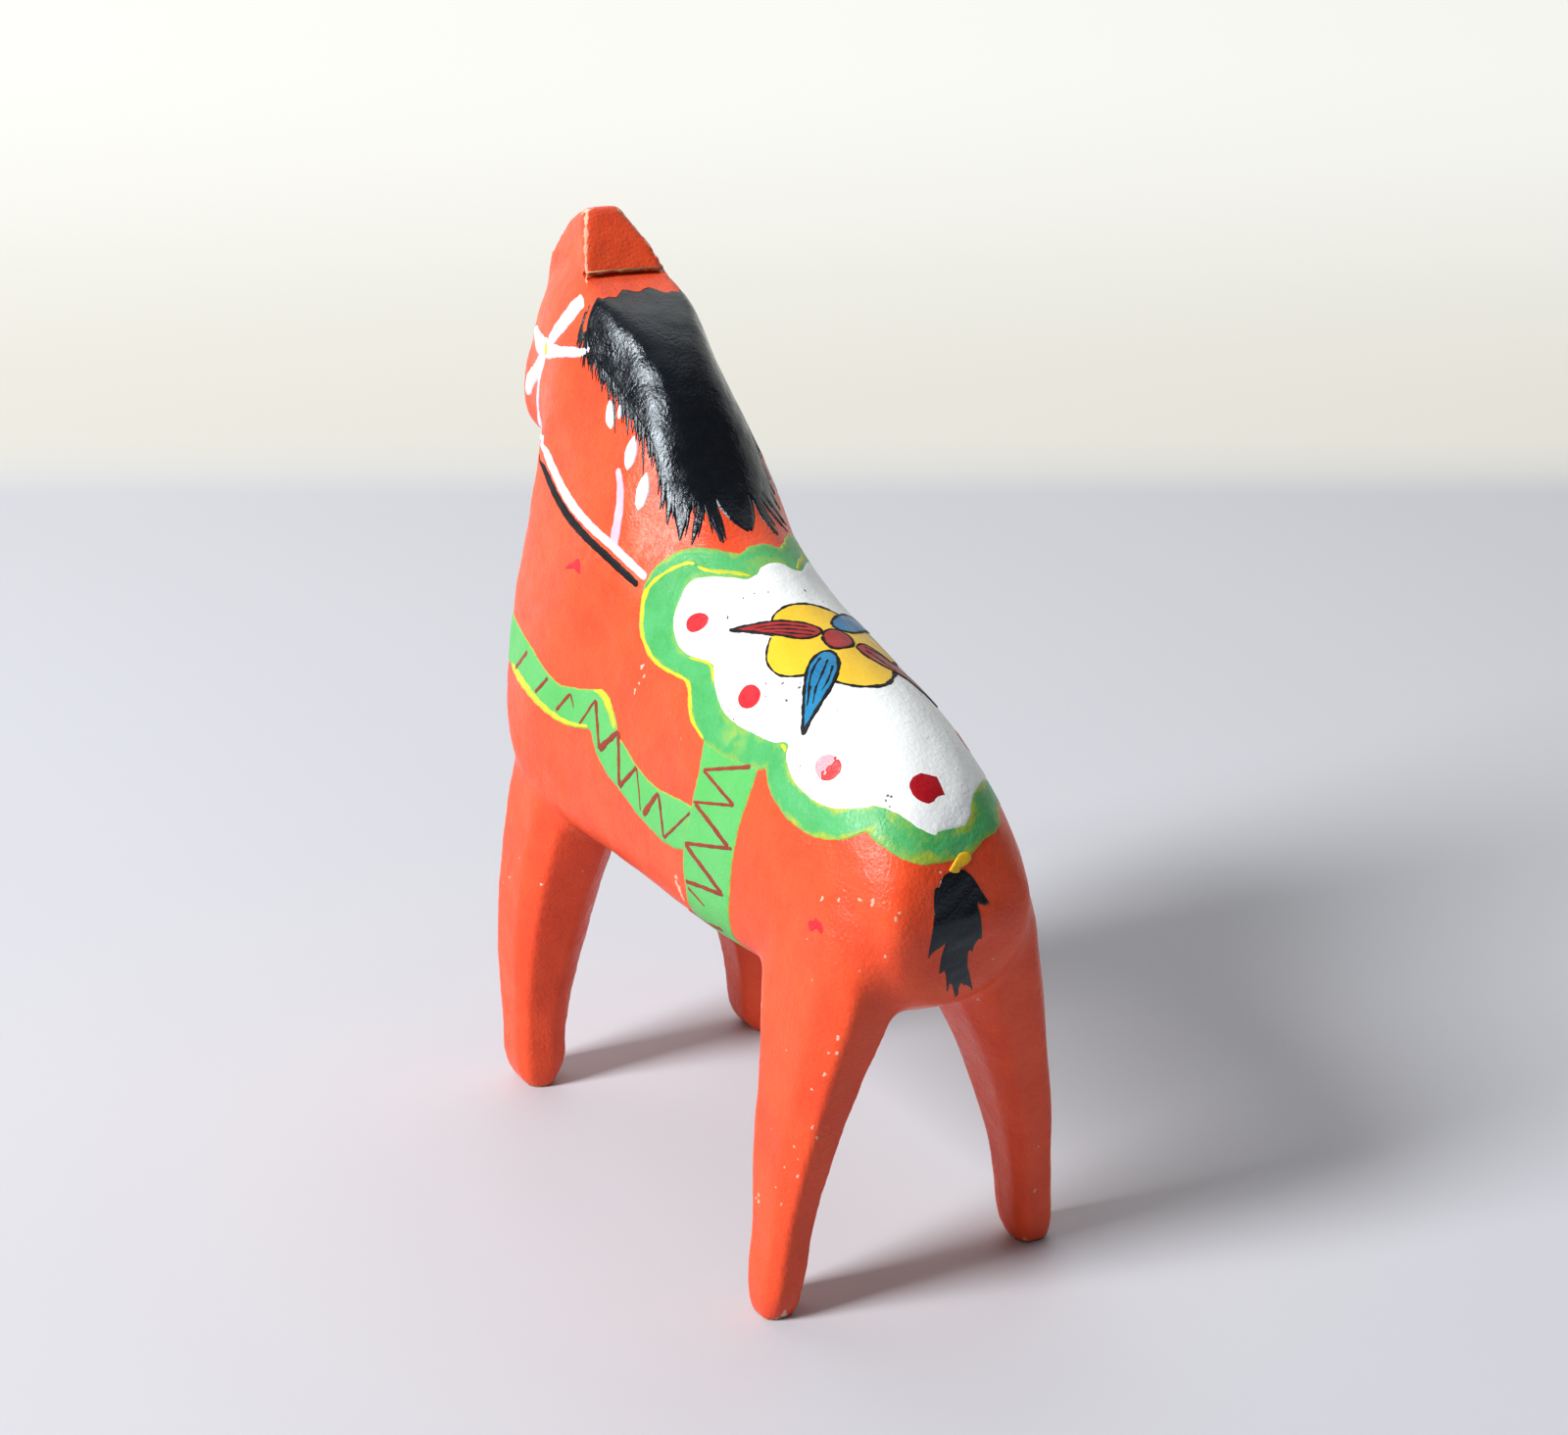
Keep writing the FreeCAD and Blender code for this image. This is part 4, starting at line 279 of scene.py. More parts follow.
    [(6.79, -8.77, 103.33, 0.5), (6.99, -8.64, 102.9, 0.5), (7.18, -8.49, 102.47, 0.5), (7.35, -8.31, 102.05, 0.46), (7.5, -8.12, 101.61, 0.39), (7.64,
     -7.92, 101.18, 0.31), (7.78, -7.72, 100.75, 0.18), (7.91, -7.51, 100.32, 0.05)],
    [(6.73, -7.6, 102.26, 0.37), (7, -7.47, 101.72, 0.37), (7.21, -7.27, 101.19, 0.36), (7.35, -6.96, 100.65, 0.32), (7.46, -6.63, 100.12, 0.28), (7.6,
     -6.34, 99.59, 0.22), (7.78, -6.12, 99.04, 0.13), (8, -5.96, 98.49, 0.04)],
    [(6.73, -7.77, 102.43, 0.52), (6.95, -7.71, 102.04, 0.52), (7.11, -7.57, 101.65, 0.51), (7.24, -7.39, 101.27, 0.45), (7.28, -7.11, 100.91, 0.38),
     (7.28, -6.78, 100.56, 0.3), (7.39, -6.59, 100.18, 0.18), (7.54, -6.44, 99.78, 0.05)],
    [(6.75, -6.19, 100.68, 0.3), (7.1, -6, 99.94, 0.3), (7.33, -5.67, 99.21, 0.29), (7.46, -5.24, 98.48, 0.27), (7.59, -4.82, 97.74, 0.23), (7.78, -4.47,
     97, 0.18), (7.96, -4.13, 96.25, 0.11), (8.15, -3.81, 95.5, 0.03)],
    [(6.76, -5.89, 100.32, 0.32), (7.06, -5.73, 99.69, 0.32), (7.28, -5.5, 99.06, 0.32), (7.45, -5.19, 98.43, 0.29), (7.62, -4.89, 97.79, 0.24), (7.78,
     -4.59, 97.16, 0.19), (7.94, -4.31, 96.52, 0.11), (8.1, -4.03, 95.88, 0.03)],
    [(6.72, -5.16, 99.48, 0.31), (6.93, -5.08, 99.07, 0.32), (7.1, -4.95, 98.66, 0.31), (7.23, -4.79, 98.25, 0.28), (7.29, -4.55, 97.85, 0.24), (7.35,
     -4.31, 97.45, 0.19), (7.47, -4.14, 97.04, 0.11), (7.63, -4.02, 96.62, 0.03)],
    [(6.74, -5.29, 99.6, 0.49), (7.08, -5.1, 98.88, 0.5), (7.3, -4.8, 98.16, 0.49), (7.43, -4.4, 97.44, 0.44), (7.55, -4, 96.72, 0.38), (7.74, -3.66, 96,
     0.3), (7.94, -3.35, 95.27, 0.18), (8.16, -3.08, 94.53, 0.05)],
    [(6.41, -3.76, 98.02, 0.43), (6.68, -3.57, 97.43, 0.43), (6.92, -3.37, 96.83, 0.44), (7.13, -3.15, 96.23, 0.4), (7.33, -2.92, 95.63, 0.34), (7.52,
     -2.67, 95.03, 0.27), (7.71, -2.4, 94.43, 0.16), (7.88, -2.14, 93.82, 0.05)],
    [(6.5, -4.09, 98.36, 0.34), (6.81, -3.92, 97.73, 0.34), (7.03, -3.69, 97.1, 0.34), (7.15, -3.35, 96.47, 0.31), (7.26, -3, 95.84, 0.27), (7.42, -2.69,
     95.21, 0.21), (7.62, -2.42, 94.58, 0.12), (7.85, -2.2, 93.94, 0.04)],
    [(6.16, -2.9, 97.2, 0.46), (6.4, -2.76, 96.69, 0.46), (6.61, -2.58, 96.19, 0.46), (6.78, -2.34, 95.68, 0.42), (6.92, -2.1, 95.17, 0.37), (7.07, -1.87,
     94.67, 0.29), (7.24, -1.64, 94.16, 0.17), (7.43, -1.42, 93.65, 0.05)],
    [(6.12, -2.79, 97.09, 0.37), (6.38, -2.65, 96.58, 0.37), (6.59, -2.47, 96.07, 0.37), (6.74, -2.21, 95.56, 0.34), (6.86, -1.94, 95.05, 0.3), (7, -1.68,
     94.54, 0.23), (7.19, -1.48, 94.03, 0.14), (7.43, -1.3, 93.52, 0.04)],
    [(5.9, -2.14, 96.51, 0.45), (6.16, -1.98, 95.98, 0.45), (6.38, -1.78, 95.46, 0.45), (6.55, -1.52, 94.93, 0.41), (6.71, -1.24, 94.41, 0.36), (6.86,
     -0.96, 93.88, 0.28), (6.98, -0.63, 93.37, 0.16), (7.09, -0.27, 92.86, 0.05)],
    [(5.79, -1.87, 96.29, 0.29), (5.96, -1.78, 95.97, 0.3), (6.11, -1.67, 95.65, 0.3), (6.25, -1.55, 95.33, 0.27), (6.36, -1.4, 95.01, 0.23), (6.46, -1.23,
     94.69, 0.18), (6.59, -1.08, 94.38, 0.11), (6.74, -0.97, 94.06, 0.03)],
    [(5.55, -1.24, 95.75, 0.23), (5.79, -1.04, 95.27, 0.24), (6.01, -0.85, 94.78, 0.24), (6.23, -0.64, 94.29, 0.22), (6.45, -0.42, 93.81, 0.19), (6.65,
     -0.17, 93.32, 0.15), (6.83, 0.08, 92.84, 0.09), (7.01, 0.35, 92.35, 0.02)],
    [(5.58, -1.33, 95.83, 0.24), (5.87, -1.15, 95.3, 0.25), (6.1, -0.92, 94.77, 0.25), (6.24, -0.61, 94.24, 0.22), (6.37, -0.25, 93.72, 0.19), (6.52, 0.1,
     93.19, 0.15), (6.69, 0.43, 92.67, 0.09), (6.86, 0.77, 92.15, 0.03)],
    [(4.86, -0.64, 95.71, 0.38), (5.08, -0.5, 95.33, 0.38), (5.28, -0.34, 94.95, 0.38), (5.44, -0.13, 94.57, 0.34), (5.56, 0.12, 94.19, 0.29), (5.68, 0.38,
     93.81, 0.23), (5.81, 0.62, 93.44, 0.14), (5.94, 0.87, 93.06, 0.04)],
    [(4.97, -0.7, 95.67, 0.42), (5.17, -0.59, 95.34, 0.42), (5.34, -0.45, 95.01, 0.42), (5.49, -0.28, 94.69, 0.38), (5.61, -0.08, 94.36, 0.32), (5.72,
     0.13, 94.03, 0.26), (5.83, 0.33, 93.7, 0.15), (5.95, 0.53, 93.38, 0.04)],
    [(3.96, -0.09, 95.78, 0.43), (4.2, 0.08, 95.4, 0.43), (4.42, 0.27, 95.03, 0.43), (4.59, 0.51, 94.65, 0.39), (4.72, 0.78, 94.27, 0.33), (4.85, 1.05,
     93.89, 0.26), (5, 1.31, 93.51, 0.15), (5.14, 1.58, 93.14, 0.04)],
    [(4.1, 0.17, 95.38, 0.35), (4.36, 0.35, 94.99, 0.35), (4.58, 0.56, 94.6, 0.35), (4.75, 0.81, 94.21, 0.32), (4.88, 1.1, 93.82, 0.27), (5.01, 1.39,
     93.43, 0.22), (5.19, 1.64, 93.04, 0.13), (5.42, 1.86, 92.65, 0.04)],
    [(3.86, 0.22, 95.51, 0.36), (4.11, 0.41, 95.11, 0.36), (4.34, 0.62, 94.72, 0.36), (4.51, 0.88, 94.32, 0.33), (4.67, 1.18, 93.92, 0.28), (4.82, 1.47,
     93.53, 0.22), (5.01, 1.71, 93.13, 0.13), (5.25, 1.93, 92.74, 0.04)],
    [(4.02, 0.29, 95.32, 0.47), (4.28, 0.46, 94.93, 0.47), (4.5, 0.68, 94.54, 0.47), (4.67, 0.94, 94.16, 0.42), (4.79, 1.23, 93.77, 0.37), (4.9, 1.54,
     93.38, 0.29), (5.03, 1.84, 93, 0.17), (5.16, 2.15, 92.61, 0.05)],
    [(3.07, 0.2, 96.01, 0.25), (3.32, 0.38, 95.66, 0.25), (3.54, 0.58, 95.31, 0.24), (3.71, 0.82, 94.96, 0.22), (3.82, 1.1, 94.61, 0.19), (3.91, 1.38,
     94.26, 0.15), (4.08, 1.62, 93.91, 0.09), (4.31, 1.82, 93.57, 0.03)],
    [(3.14, 0.16, 96.01, 0.41), (3.45, 0.41, 95.54, 0.41), (3.72, 0.7, 95.08, 0.41), (3.9, 1.04, 94.61, 0.37), (4.04, 1.41, 94.14, 0.32), (4.22, 1.77,
     93.67, 0.25), (4.42, 2.13, 93.21, 0.15), (4.64, 2.49, 92.75, 0.04)],
    [(2.82, 0.31, 96, 0.42), (2.99, 0.51, 95.71, 0.42), (3.16, 0.69, 95.41, 0.42), (3.34, 0.87, 95.12, 0.38), (3.53, 1.04, 94.84, 0.33), (3.75, 1.2, 94.56,
     0.26), (3.9, 1.38, 94.27, 0.15), (4.04, 1.59, 93.97, 0.04)],
    [(2.82, 0.31, 96, 0.22), (3.16, 0.59, 95.52, 0.22), (3.43, 0.9, 95.04, 0.22), (3.63, 1.27, 94.55, 0.2), (3.82, 1.66, 94.06, 0.17), (4.02, 2.03, 93.58,
     0.14), (4.29, 2.37, 93.1, 0.08), (4.6, 2.68, 92.62, 0.02)],
    [(-0, -0.75, 97.35, 4.47), (0.17, -0.31, 96.85, 4.47), (0.3, 0.14, 96.36, 4.49), (0.42, 0.61, 95.88, 4.51), (0.53, 1.09, 95.41, 4.55), (0.6, 1.59,
     94.95, 4.33), (0.63, 2.11, 94.5, 3.97), (0.63, 2.63, 94.06, 3.59), (0.62, 3.16, 93.63, 3.18), (0.59, 3.7, 93.22, 2.74), (0.53, 4.24, 92.82, 2.16),
     (0.45, 4.78, 92.43, 1.57), (0.35, 5.32, 92.05, 0.94), (0.22, 5.87, 91.68, 0.27)],
    [(1.25, -0.66, 97.24, 2.06), (1.4, -0.26, 96.8, 2.06), (1.51, 0.14, 96.36, 2.08), (1.59, 0.54, 95.94, 2.09), (1.65, 0.95, 95.53, 2.09), (1.69, 1.36,
     95.14, 2), (1.67, 1.77, 94.75, 1.86), (1.6, 2.2, 94.37, 1.71), (1.5, 2.64, 94.01, 1.55), (1.39, 3.07, 93.66, 1.35), (1.27, 3.51, 93.32, 1.07), (1.13,
     3.96, 93, 0.78), (0.97, 4.4, 92.69, 0.49), (0.77, 4.83, 92.39, 0.18)],
    [(-1.55, -0.81, 97.43, 3.54), (-1.48, -0.42, 96.97, 3.46), (-1.41, -0.01, 96.52, 3.39), (-1.34, 0.42, 96.07, 3.32), (-1.27, 0.86, 95.63, 3.24), (-1.18,
     1.32, 95.19, 2.98), (-1.1, 1.79, 94.76, 2.63), (-1.02, 2.28, 94.34, 2.25), (-0.92, 2.79, 93.93, 1.85), (-0.8, 3.32, 93.51, 1.48), (-0.65, 3.85, 93.1,
     1.13), (-0.49, 4.4, 92.7, 0.79), (-0.31, 4.96, 92.3, 0.47), (-0.11, 5.54, 91.9, 0.15)],
    [(5.95, -3.68, 98.52, 3.52), (6.06, -3.29, 97.86, 3.47), (6.17, -2.92, 97.2, 3.41), (6.3, -2.54, 96.55, 3.36), (6.44, -2.18, 95.89, 3.31), (6.58, -1.8,
     95.23, 3.09), (6.74, -1.42, 94.58, 2.8), (6.91, -1.05, 93.93, 2.51), (7.11, -0.69, 93.28, 2.21), (7.32, -0.33, 92.63, 1.88), (7.53, 0.04, 91.99,
     1.48), (7.76, 0.4, 91.34, 1.08), (8, 0.76, 90.7, 0.66), (8.26, 1.12, 90.06, 0.23)],
    [(6.44, -5.02, 99.66, 2.75), (6.52, -4.65, 99.07, 2.66), (6.61, -4.3, 98.48, 2.57), (6.73, -3.97, 97.89, 2.49), (6.87, -3.66, 97.3, 2.4), (7.03, -3.39,
     96.7, 2.23), (7.21, -3.15, 96.1, 2.03), (7.42, -2.93, 95.5, 1.82), (7.64, -2.71, 94.91, 1.6), (7.85, -2.5, 94.31, 1.36), (8.08, -2.3, 93.71, 1.06),
     (8.31, -2.12, 93.11, 0.76), (8.55, -1.94, 92.52, 0.47), (8.8, -1.79, 91.92, 0.15)],
    [(6.96, -6.33, 100.54, 1.98), (7.03, -5.98, 100.01, 1.88), (7.12, -5.64, 99.48, 1.79), (7.22, -5.33, 98.95, 1.69), (7.34, -5.05, 98.41, 1.6), (7.48,
     -4.79, 97.87, 1.47), (7.64, -4.55, 97.32, 1.31), (7.8, -4.33, 96.78, 1.14), (7.97, -4.12, 96.23, 0.99), (8.14, -3.93, 95.68, 0.82), (8.33, -3.76,
     95.14, 0.65), (8.54, -3.62, 94.59, 0.47), (8.76, -3.5, 94.04, 0.3), (8.99, -3.41, 93.49, 0.12)],
    [(4.79, -2.46, 98.09, 2.4), (4.95, -2.17, 97.58, 2.32), (5.09, -1.9, 97.06, 2.23), (5.24, -1.63, 96.54, 2.14), (5.4, -1.35, 96.03, 2.06), (5.59, -1.09,
     95.52, 1.93), (5.82, -0.86, 95.02, 1.76), (6.06, -0.65, 94.51, 1.58), (6.3, -0.44, 94, 1.4), (6.53, -0.21, 93.49, 1.19), (6.77, 0, 92.99, 0.95),
     (7.01, 0.21, 92.49, 0.69), (7.26, 0.42, 91.98, 0.42), (7.51, 0.62, 91.48, 0.15)],
    [(3.49, -1.53, 97.86, 2.14), (3.56, -1.27, 97.48, 2.04), (3.65, -1.01, 97.1, 1.94), (3.76, -0.76, 96.72, 1.84), (3.88, -0.51, 96.34, 1.75), (4.02,
     -0.28, 95.96, 1.62), (4.17, -0.05, 95.57, 1.48), (4.35, 0.17, 95.2, 1.33), (4.52, 0.39, 94.83, 1.18), (4.72, 0.59, 94.46, 1.03), (4.94, 0.77, 94.09,
     0.85), (5.18, 0.92, 93.73, 0.67), (5.43, 1.06, 93.37, 0.48), (5.7, 1.18, 93.01, 0.29)],
    [(2.06, -1.11, 97.78, 2.58), (2.14, -0.85, 97.45, 2.43), (2.24, -0.58, 97.12, 2.27), (2.36, -0.32, 96.79, 2.11), (2.48, -0.05, 96.47, 1.95), (2.63,
     0.22, 96.15, 1.78), (2.8, 0.48, 95.83, 1.6), (2.97, 0.71, 95.5, 1.44), (3.14, 0.93, 95.17, 1.29), (3.29, 1.17, 94.84, 1.13), (3.42, 1.42, 94.52,
     0.95), (3.56, 1.68, 94.19, 0.76), (3.7, 1.94, 93.87, 0.58), (3.84, 2.2, 93.55, 0.4)],
    [(4.4, 0.44, 94.86, 0.68), (4.66, 0.62, 94.48, 0.73), (4.92, 0.78, 94.1, 0.78), (5.17, 0.95, 93.71, 0.83), (5.41, 1.13, 93.33, 0.87), (5.65, 1.32,
     92.94, 0.93), (5.87, 1.5, 92.55, 0.98), (6.1, 1.69, 92.16, 0.95), (6.32, 1.88, 91.78, 0.83), (6.54, 2.08, 91.38, 0.72), (6.76, 2.27, 90.99, 0.6),
     (6.97, 2.48, 90.6, 0.48), (7.18, 2.7, 90.21, 0.35), (7.38, 2.91, 89.82, 0.23)],
    [(3.71, 1.12, 94.65, 0.67), (3.71, 1.46, 94.32, 0.74), (3.71, 1.81, 93.98, 0.81), (3.72, 2.17, 93.65, 0.88), (3.74, 2.53, 93.32, 0.95), (3.77, 2.89,
     92.99, 1.02), (3.8, 3.26, 92.66, 1.09), (3.84, 3.63, 92.33, 1.06), (3.89, 4.01, 92.01, 0.92), (3.95, 4.4, 91.68, 0.79), (4.01, 4.79, 91.36, 0.66),
     (4.08, 5.18, 91.03, 0.53), (4.16, 5.58, 90.71, 0.39), (4.24, 5.99, 90.39, 0.26)],
    [(4.02, 1.14, 94.42, 0.53), (4.08, 1.38, 94.15, 0.53), (4.13, 1.62, 93.88, 0.53), (4.17, 1.87, 93.62, 0.53), (4.21, 2.13, 93.36, 0.53), (4.25, 2.39,
     93.1, 0.53), (4.28, 2.66, 92.85, 0.53), (4.3, 2.94, 92.6, 0.5), (4.32, 3.22, 92.36, 0.44), (4.33, 3.51, 92.12, 0.38), (4.34, 3.81, 91.88, 0.32),
     (4.34, 4.12, 91.65, 0.25), (4.33, 4.43, 91.42, 0.19), (4.32, 4.75, 91.2, 0.13)],
  ],
  "zig": [
    [(19, -26.63, 68.56, 0.75), (18.99, -27.58, 67.81, 0.75), (18.97, -28.57, 67.05, 0.75), (18.92, -29.63, 66.27, 0.75), (18.85, -30.75, 65.46, 0.75),
     (18.75, -31.93, 64.63, 0.75)],
    [(19.41, -18.58, 66.97, 0.59), (19.53, -19.28, 66.36, 0.6), (19.65, -19.99, 65.74, 0.62), (19.75, -20.74, 65.1, 0.64), (19.85, -21.5, 64.45, 0.66),
     (19.93, -22.3, 63.8, 0.69)],
    [(18.64, -12.84, 66.13, 0.55), (18.81, -13.51, 65.45, 0.55), (18.96, -14.21, 64.77, 0.55), (19.12, -14.9, 64.09, 0.55), (19.27, -15.62, 63.39, 0.56),
     (19.41, -16.36, 62.69, 0.56)],
    [(18.64, -12.84, 66.13, 0.45), (18.64, -12.62, 65.76, 0.41), (18.64, -12.39, 65.39, 0.38), (18.64, -12.17, 65.02, 0.34), (18.64, -11.95, 64.65, 0.3),
     (18.64, -11.72, 64.28, 0.26)],
    [(18.63, -10.24, 62.36, 0.4), (18.46, -9.42, 63.3, 0.41), (18.28, -8.62, 64.22, 0.43), (18.1, -7.83, 65.15, 0.45), (17.9, -7.08, 66.05, 0.47), (17.71,
     -6.34, 66.95, 0.48)],
    [(17.71, -6.34, 66.95, 0.77), (17.84, -5.92, 65.63, 0.79), (17.98, -5.5, 64.31, 0.8), (18.11, -5.1, 62.99, 0.82), (18.22, -4.74, 61.65, 0.83), (18.31,
     -4.41, 60.29, 0.84)],
    [(18.31, -4.41, 60.29, 1.21), (18.18, -3.43, 61.11, 1.12), (18.03, -2.5, 61.9, 1.04), (17.87, -1.58, 62.69, 0.96), (17.71, -0.68, 63.47, 0.88), (17.54,
     0.19, 64.23, 0.8)],
    [(17.54, 0.19, 64.23, 0.79), (17.71, 0.54, 62.78, 0.8), (17.86, 0.85, 61.3, 0.81), (17.98, 1.11, 59.81, 0.83), (18.08, 1.33, 58.29, 0.84), (18.16,
     1.49, 56.75, 0.86)],
    [(18.16, 1.49, 56.75, 0.8), (18.07, 2.42, 57.61, 0.77), (17.97, 3.3, 58.44, 0.74), (17.86, 4.18, 59.27, 0.7), (17.74, 5.03, 60.08, 0.67), (17.62, 5.87,
     60.89, 0.64)],
    [(17.62, 5.87, 60.89, 0.44), (17.72, 6.26, 59.77, 0.41), (17.81, 6.62, 58.63, 0.39), (17.89, 6.97, 57.49, 0.36), (17.96, 7.28, 56.33, 0.33), (18, 7.56,
     55.16, 0.3)],
    [(18, 8.29, 54.86, 1.18), (17.96, 9.2, 55.79, 1.08), (17.89, 10.06, 56.7, 0.99), (17.82, 10.9, 57.59, 0.89), (17.73, 11.71, 58.47, 0.79), (17.63,
     12.49, 59.34, 0.7)],
    [(17.63, 12.49, 59.34, 0.73), (17.74, 12.99, 58.23, 0.73), (17.84, 13.46, 57.12, 0.71), (17.91, 13.89, 55.99, 0.7), (17.97, 14.28, 54.84, 0.69),
     (18.01, 14.64, 53.68, 0.68)],
    [(18.01, 14.64, 53.68, 0.53), (17.95, 16.12, 54.91, 0.5), (17.87, 17.53, 56.1, 0.47), (17.75, 18.87, 57.25, 0.44), (17.6, 20.14, 58.37, 0.41), (17.42,
     21.32, 59.45, 0.38)],
  ],
  "gzig": [
    [(14.2, 31.83, 68.48, 0.6), (14.64, 30.11, 67.93, 0.56), (15.07, 28.33, 67.37, 0.53), (15.47, 26.47, 66.77, 0.5), (15.84, 24.53, 66.14, 0.47), (16.18,
     22.52, 65.48, 0.44)],
    [(16.18, 22.52, 65.48, 0.55), (16.17, 24.23, 65.04, 0.56), (16.14, 25.9, 64.6, 0.55), (16.11, 27.55, 64.15, 0.55), (16.07, 29.17, 63.69, 0.55), (16.01,
     30.75, 63.23, 0.56)],
    [(16.01, 30.75, 63.23, 0.45), (16.28, 29.05, 62.83, 0.44), (16.54, 27.31, 62.41, 0.42), (16.77, 25.51, 61.96, 0.42), (16.98, 23.64, 61.49, 0.4),
     (17.18, 21.72, 61, 0.39)],
    [(17.15, 22.21, 61.03, 0.69), (17.14, 24.05, 60.39, 0.71), (17.13, 25.85, 59.74, 0.73), (17.09, 27.59, 59.08, 0.78), (17.03, 29.29, 58.41, 0.79),
     (16.96, 30.94, 57.73, 0.83)],
    [(16.86, 31.74, 57.85, 0.53), (17.12, 29.63, 57.34, 0.53), (17.36, 27.45, 56.79, 0.52), (17.56, 25.18, 56.2, 0.53), (17.73, 22.81, 55.58, 0.52),
     (17.87, 20.33, 54.92, 0.53)],
    [(17.87, 20.39, 54.87, 0.87), (17.82, 22.43, 54.13, 0.86), (17.75, 24.4, 53.38, 0.87), (17.64, 26.29, 52.61, 0.86), (17.51, 28.13, 51.82, 0.88),
     (17.35, 29.88, 51.01, 0.87)],
    [(17.32, 30.18, 51, 0.61), (17.47, 28.37, 50.77, 0.62), (17.6, 26.5, 50.51, 0.63), (17.71, 24.56, 50.23, 0.63), (17.79, 22.56, 49.92, 0.64), (17.84,
     20.47, 49.58, 0.67)],
    [(17.74, 20.82, 48.82, 0.57), (17.67, 21.69, 48.56, 0.52), (17.59, 22.54, 48.3, 0.47), (17.5, 23.35, 48.03, 0.44), (17.39, 24.15, 47.74, 0.38), (17.28,
     24.92, 47.45, 0.34)],
    [(15.55, 16.79, 43.63, 0.55), (15.56, 18.69, 43.68, 0.54), (15.49, 20.42, 43.64, 0.52), (15.79, 22.98, 44.14, 0.51), (15.9, 25.13, 44.45, 1.04),
     (15.92, 27.09, 44.67, 1.02)],
  ],
  "contour": [
    [(1.09, 27.15, 82.41, 0.39), (0.8, 26.77, 82.56, 0.4), (0.5, 26.49, 82.66, 0.49), (0.19, 26.32, 82.73, 0.59), (-0.18, 26.22, 82.76, 0.69), (-0.48,
     26.22, 82.75, 0.73), (-0.75, 26.27, 82.72, 0.74), (-1.05, 26.3, 82.68, 0.79), (-1.33, 26.32, 82.64, 0.81), (-1.55, 26.44, 82.57, 0.84), (-1.73, 26.64,
     82.49, 0.86), (-1.89, 26.83, 82.39, 0.89), (-2.05, 27.02, 82.3, 0.91), (-2.19, 27.25, 82.2, 0.91), (-2.29, 27.5, 82.1, 0.9), (-2.36, 27.79, 81.99,
     0.9), (-2.42, 28.11, 81.88, 0.89), (-2.42, 28.48, 81.77, 0.81), (-2.28, 28.9, 81.67, 0.62), (-2, 29.45, 81.56, 0.53), (-1.75, 29.87, 81.49, 0.4),
     (-1.4, 30.09, 81.47, 0.68), (-0.95, 30.25, 81.48, 0.71), (-0.6, 30.33, 81.48, 0.69), (-0.26, 30.4, 81.47, 0.69), (0.06, 30.44, 81.47, 0.68), (0.34,
     30.41, 81.47, 0.69), (0.59, 30.33, 81.48, 0.69), (0.83, 30.22, 81.5, 0.68), (1.05, 30.09, 81.52, 0.65), (1.23, 29.91, 81.55, 0.64), (1.35, 29.64,
     81.61, 0.61), (1.43, 29.33, 81.7, 0.59), (1.48, 29.02, 81.78, 0.56), (1.5, 28.67, 81.89, 0.53), (1.47, 28.3, 82.01, 0.48), (1.39, 27.93, 82.13, 0.44),
     (1.26, 27.55, 82.26, 0.41), (1.09, 27.15, 82.41, 0.4)],
    [(8.9, 16.38, 81.56, 0.44), (8.56, 16.84, 81.79, 0.44), (8.22, 17.29, 81.98, 0.44), (7.87, 17.75, 82.17, 0.44), (7.52, 18.19, 82.34, 0.44), (7.16,
     18.62, 82.5, 0.44), (6.8, 19.04, 82.66, 0.45), (6.42, 19.42, 82.81, 0.45), (6.03, 19.81, 82.96, 0.46), (5.64, 20.17, 83.08, 0.46), (5.26, 20.56,
     83.19, 0.46), (4.86, 20.93, 83.28, 0.47), (4.46, 21.3, 83.36, 0.47), (4.06, 21.65, 83.41, 0.48), (3.66, 22.02, 83.45, 0.48), (3.26, 22.38, 83.47,
     0.5), (2.86, 22.75, 83.48, 0.5), (2.46, 23.1, 83.47, 0.53), (2.07, 23.47, 83.44, 0.52), (1.71, 23.89, 83.37, 0.54), (1.36, 24.29, 83.29, 0.55), (1.02,
     24.74, 83.19, 0.55), (0.75, 25.22, 83.06, 0.56), (0.59, 25.86, 82.86, 0.49), (0.82, 26.47, 82.65, 0.38), (1.51, 26.69, 82.5, 0.51), (2.1, 26.75,
     82.37, 0.52), (2.61, 26.62, 82.3, 0.52), (3.06, 26.37, 82.24, 0.51), (3.5, 26.08, 82.2, 0.5), (3.88, 25.7, 82.16, 0.48), (4.22, 25.25, 82.17, 0.47),
     (4.54, 24.75, 82.18, 0.45), (4.85, 24.26, 82.18, 0.45), (5.18, 23.79, 82.17, 0.45), (5.49, 23.28, 82.15, 0.44), (5.81, 22.77, 82.12, 0.44), (6.12,
     22.26, 82.1, 0.42), (6.41, 21.71, 82.06, 0.42), (6.71, 21.17, 82.03, 0.42), (7, 20.61, 81.99, 0.41), (7.28, 20.03, 81.94, 0.41), (7.57, 19.46, 81.89,
     0.41), (7.85, 18.88, 81.82, 0.4), (8.13, 18.28, 81.75, 0.4), (8.4, 17.67, 81.68, 0.4), (8.66, 17.04, 81.62, 0.38), (8.9, 16.38, 81.56, 0.38)],
    [(-2.17, 29.99, 81.37, 0.64), (-3.08, 29.47, 81.29, 0.77), (-3.81, 29.24, 81.1, 0.88), (-4.3, 29.41, 80.86, 0.88), (-4.74, 29.6, 80.59, 0.88), (-5.06,
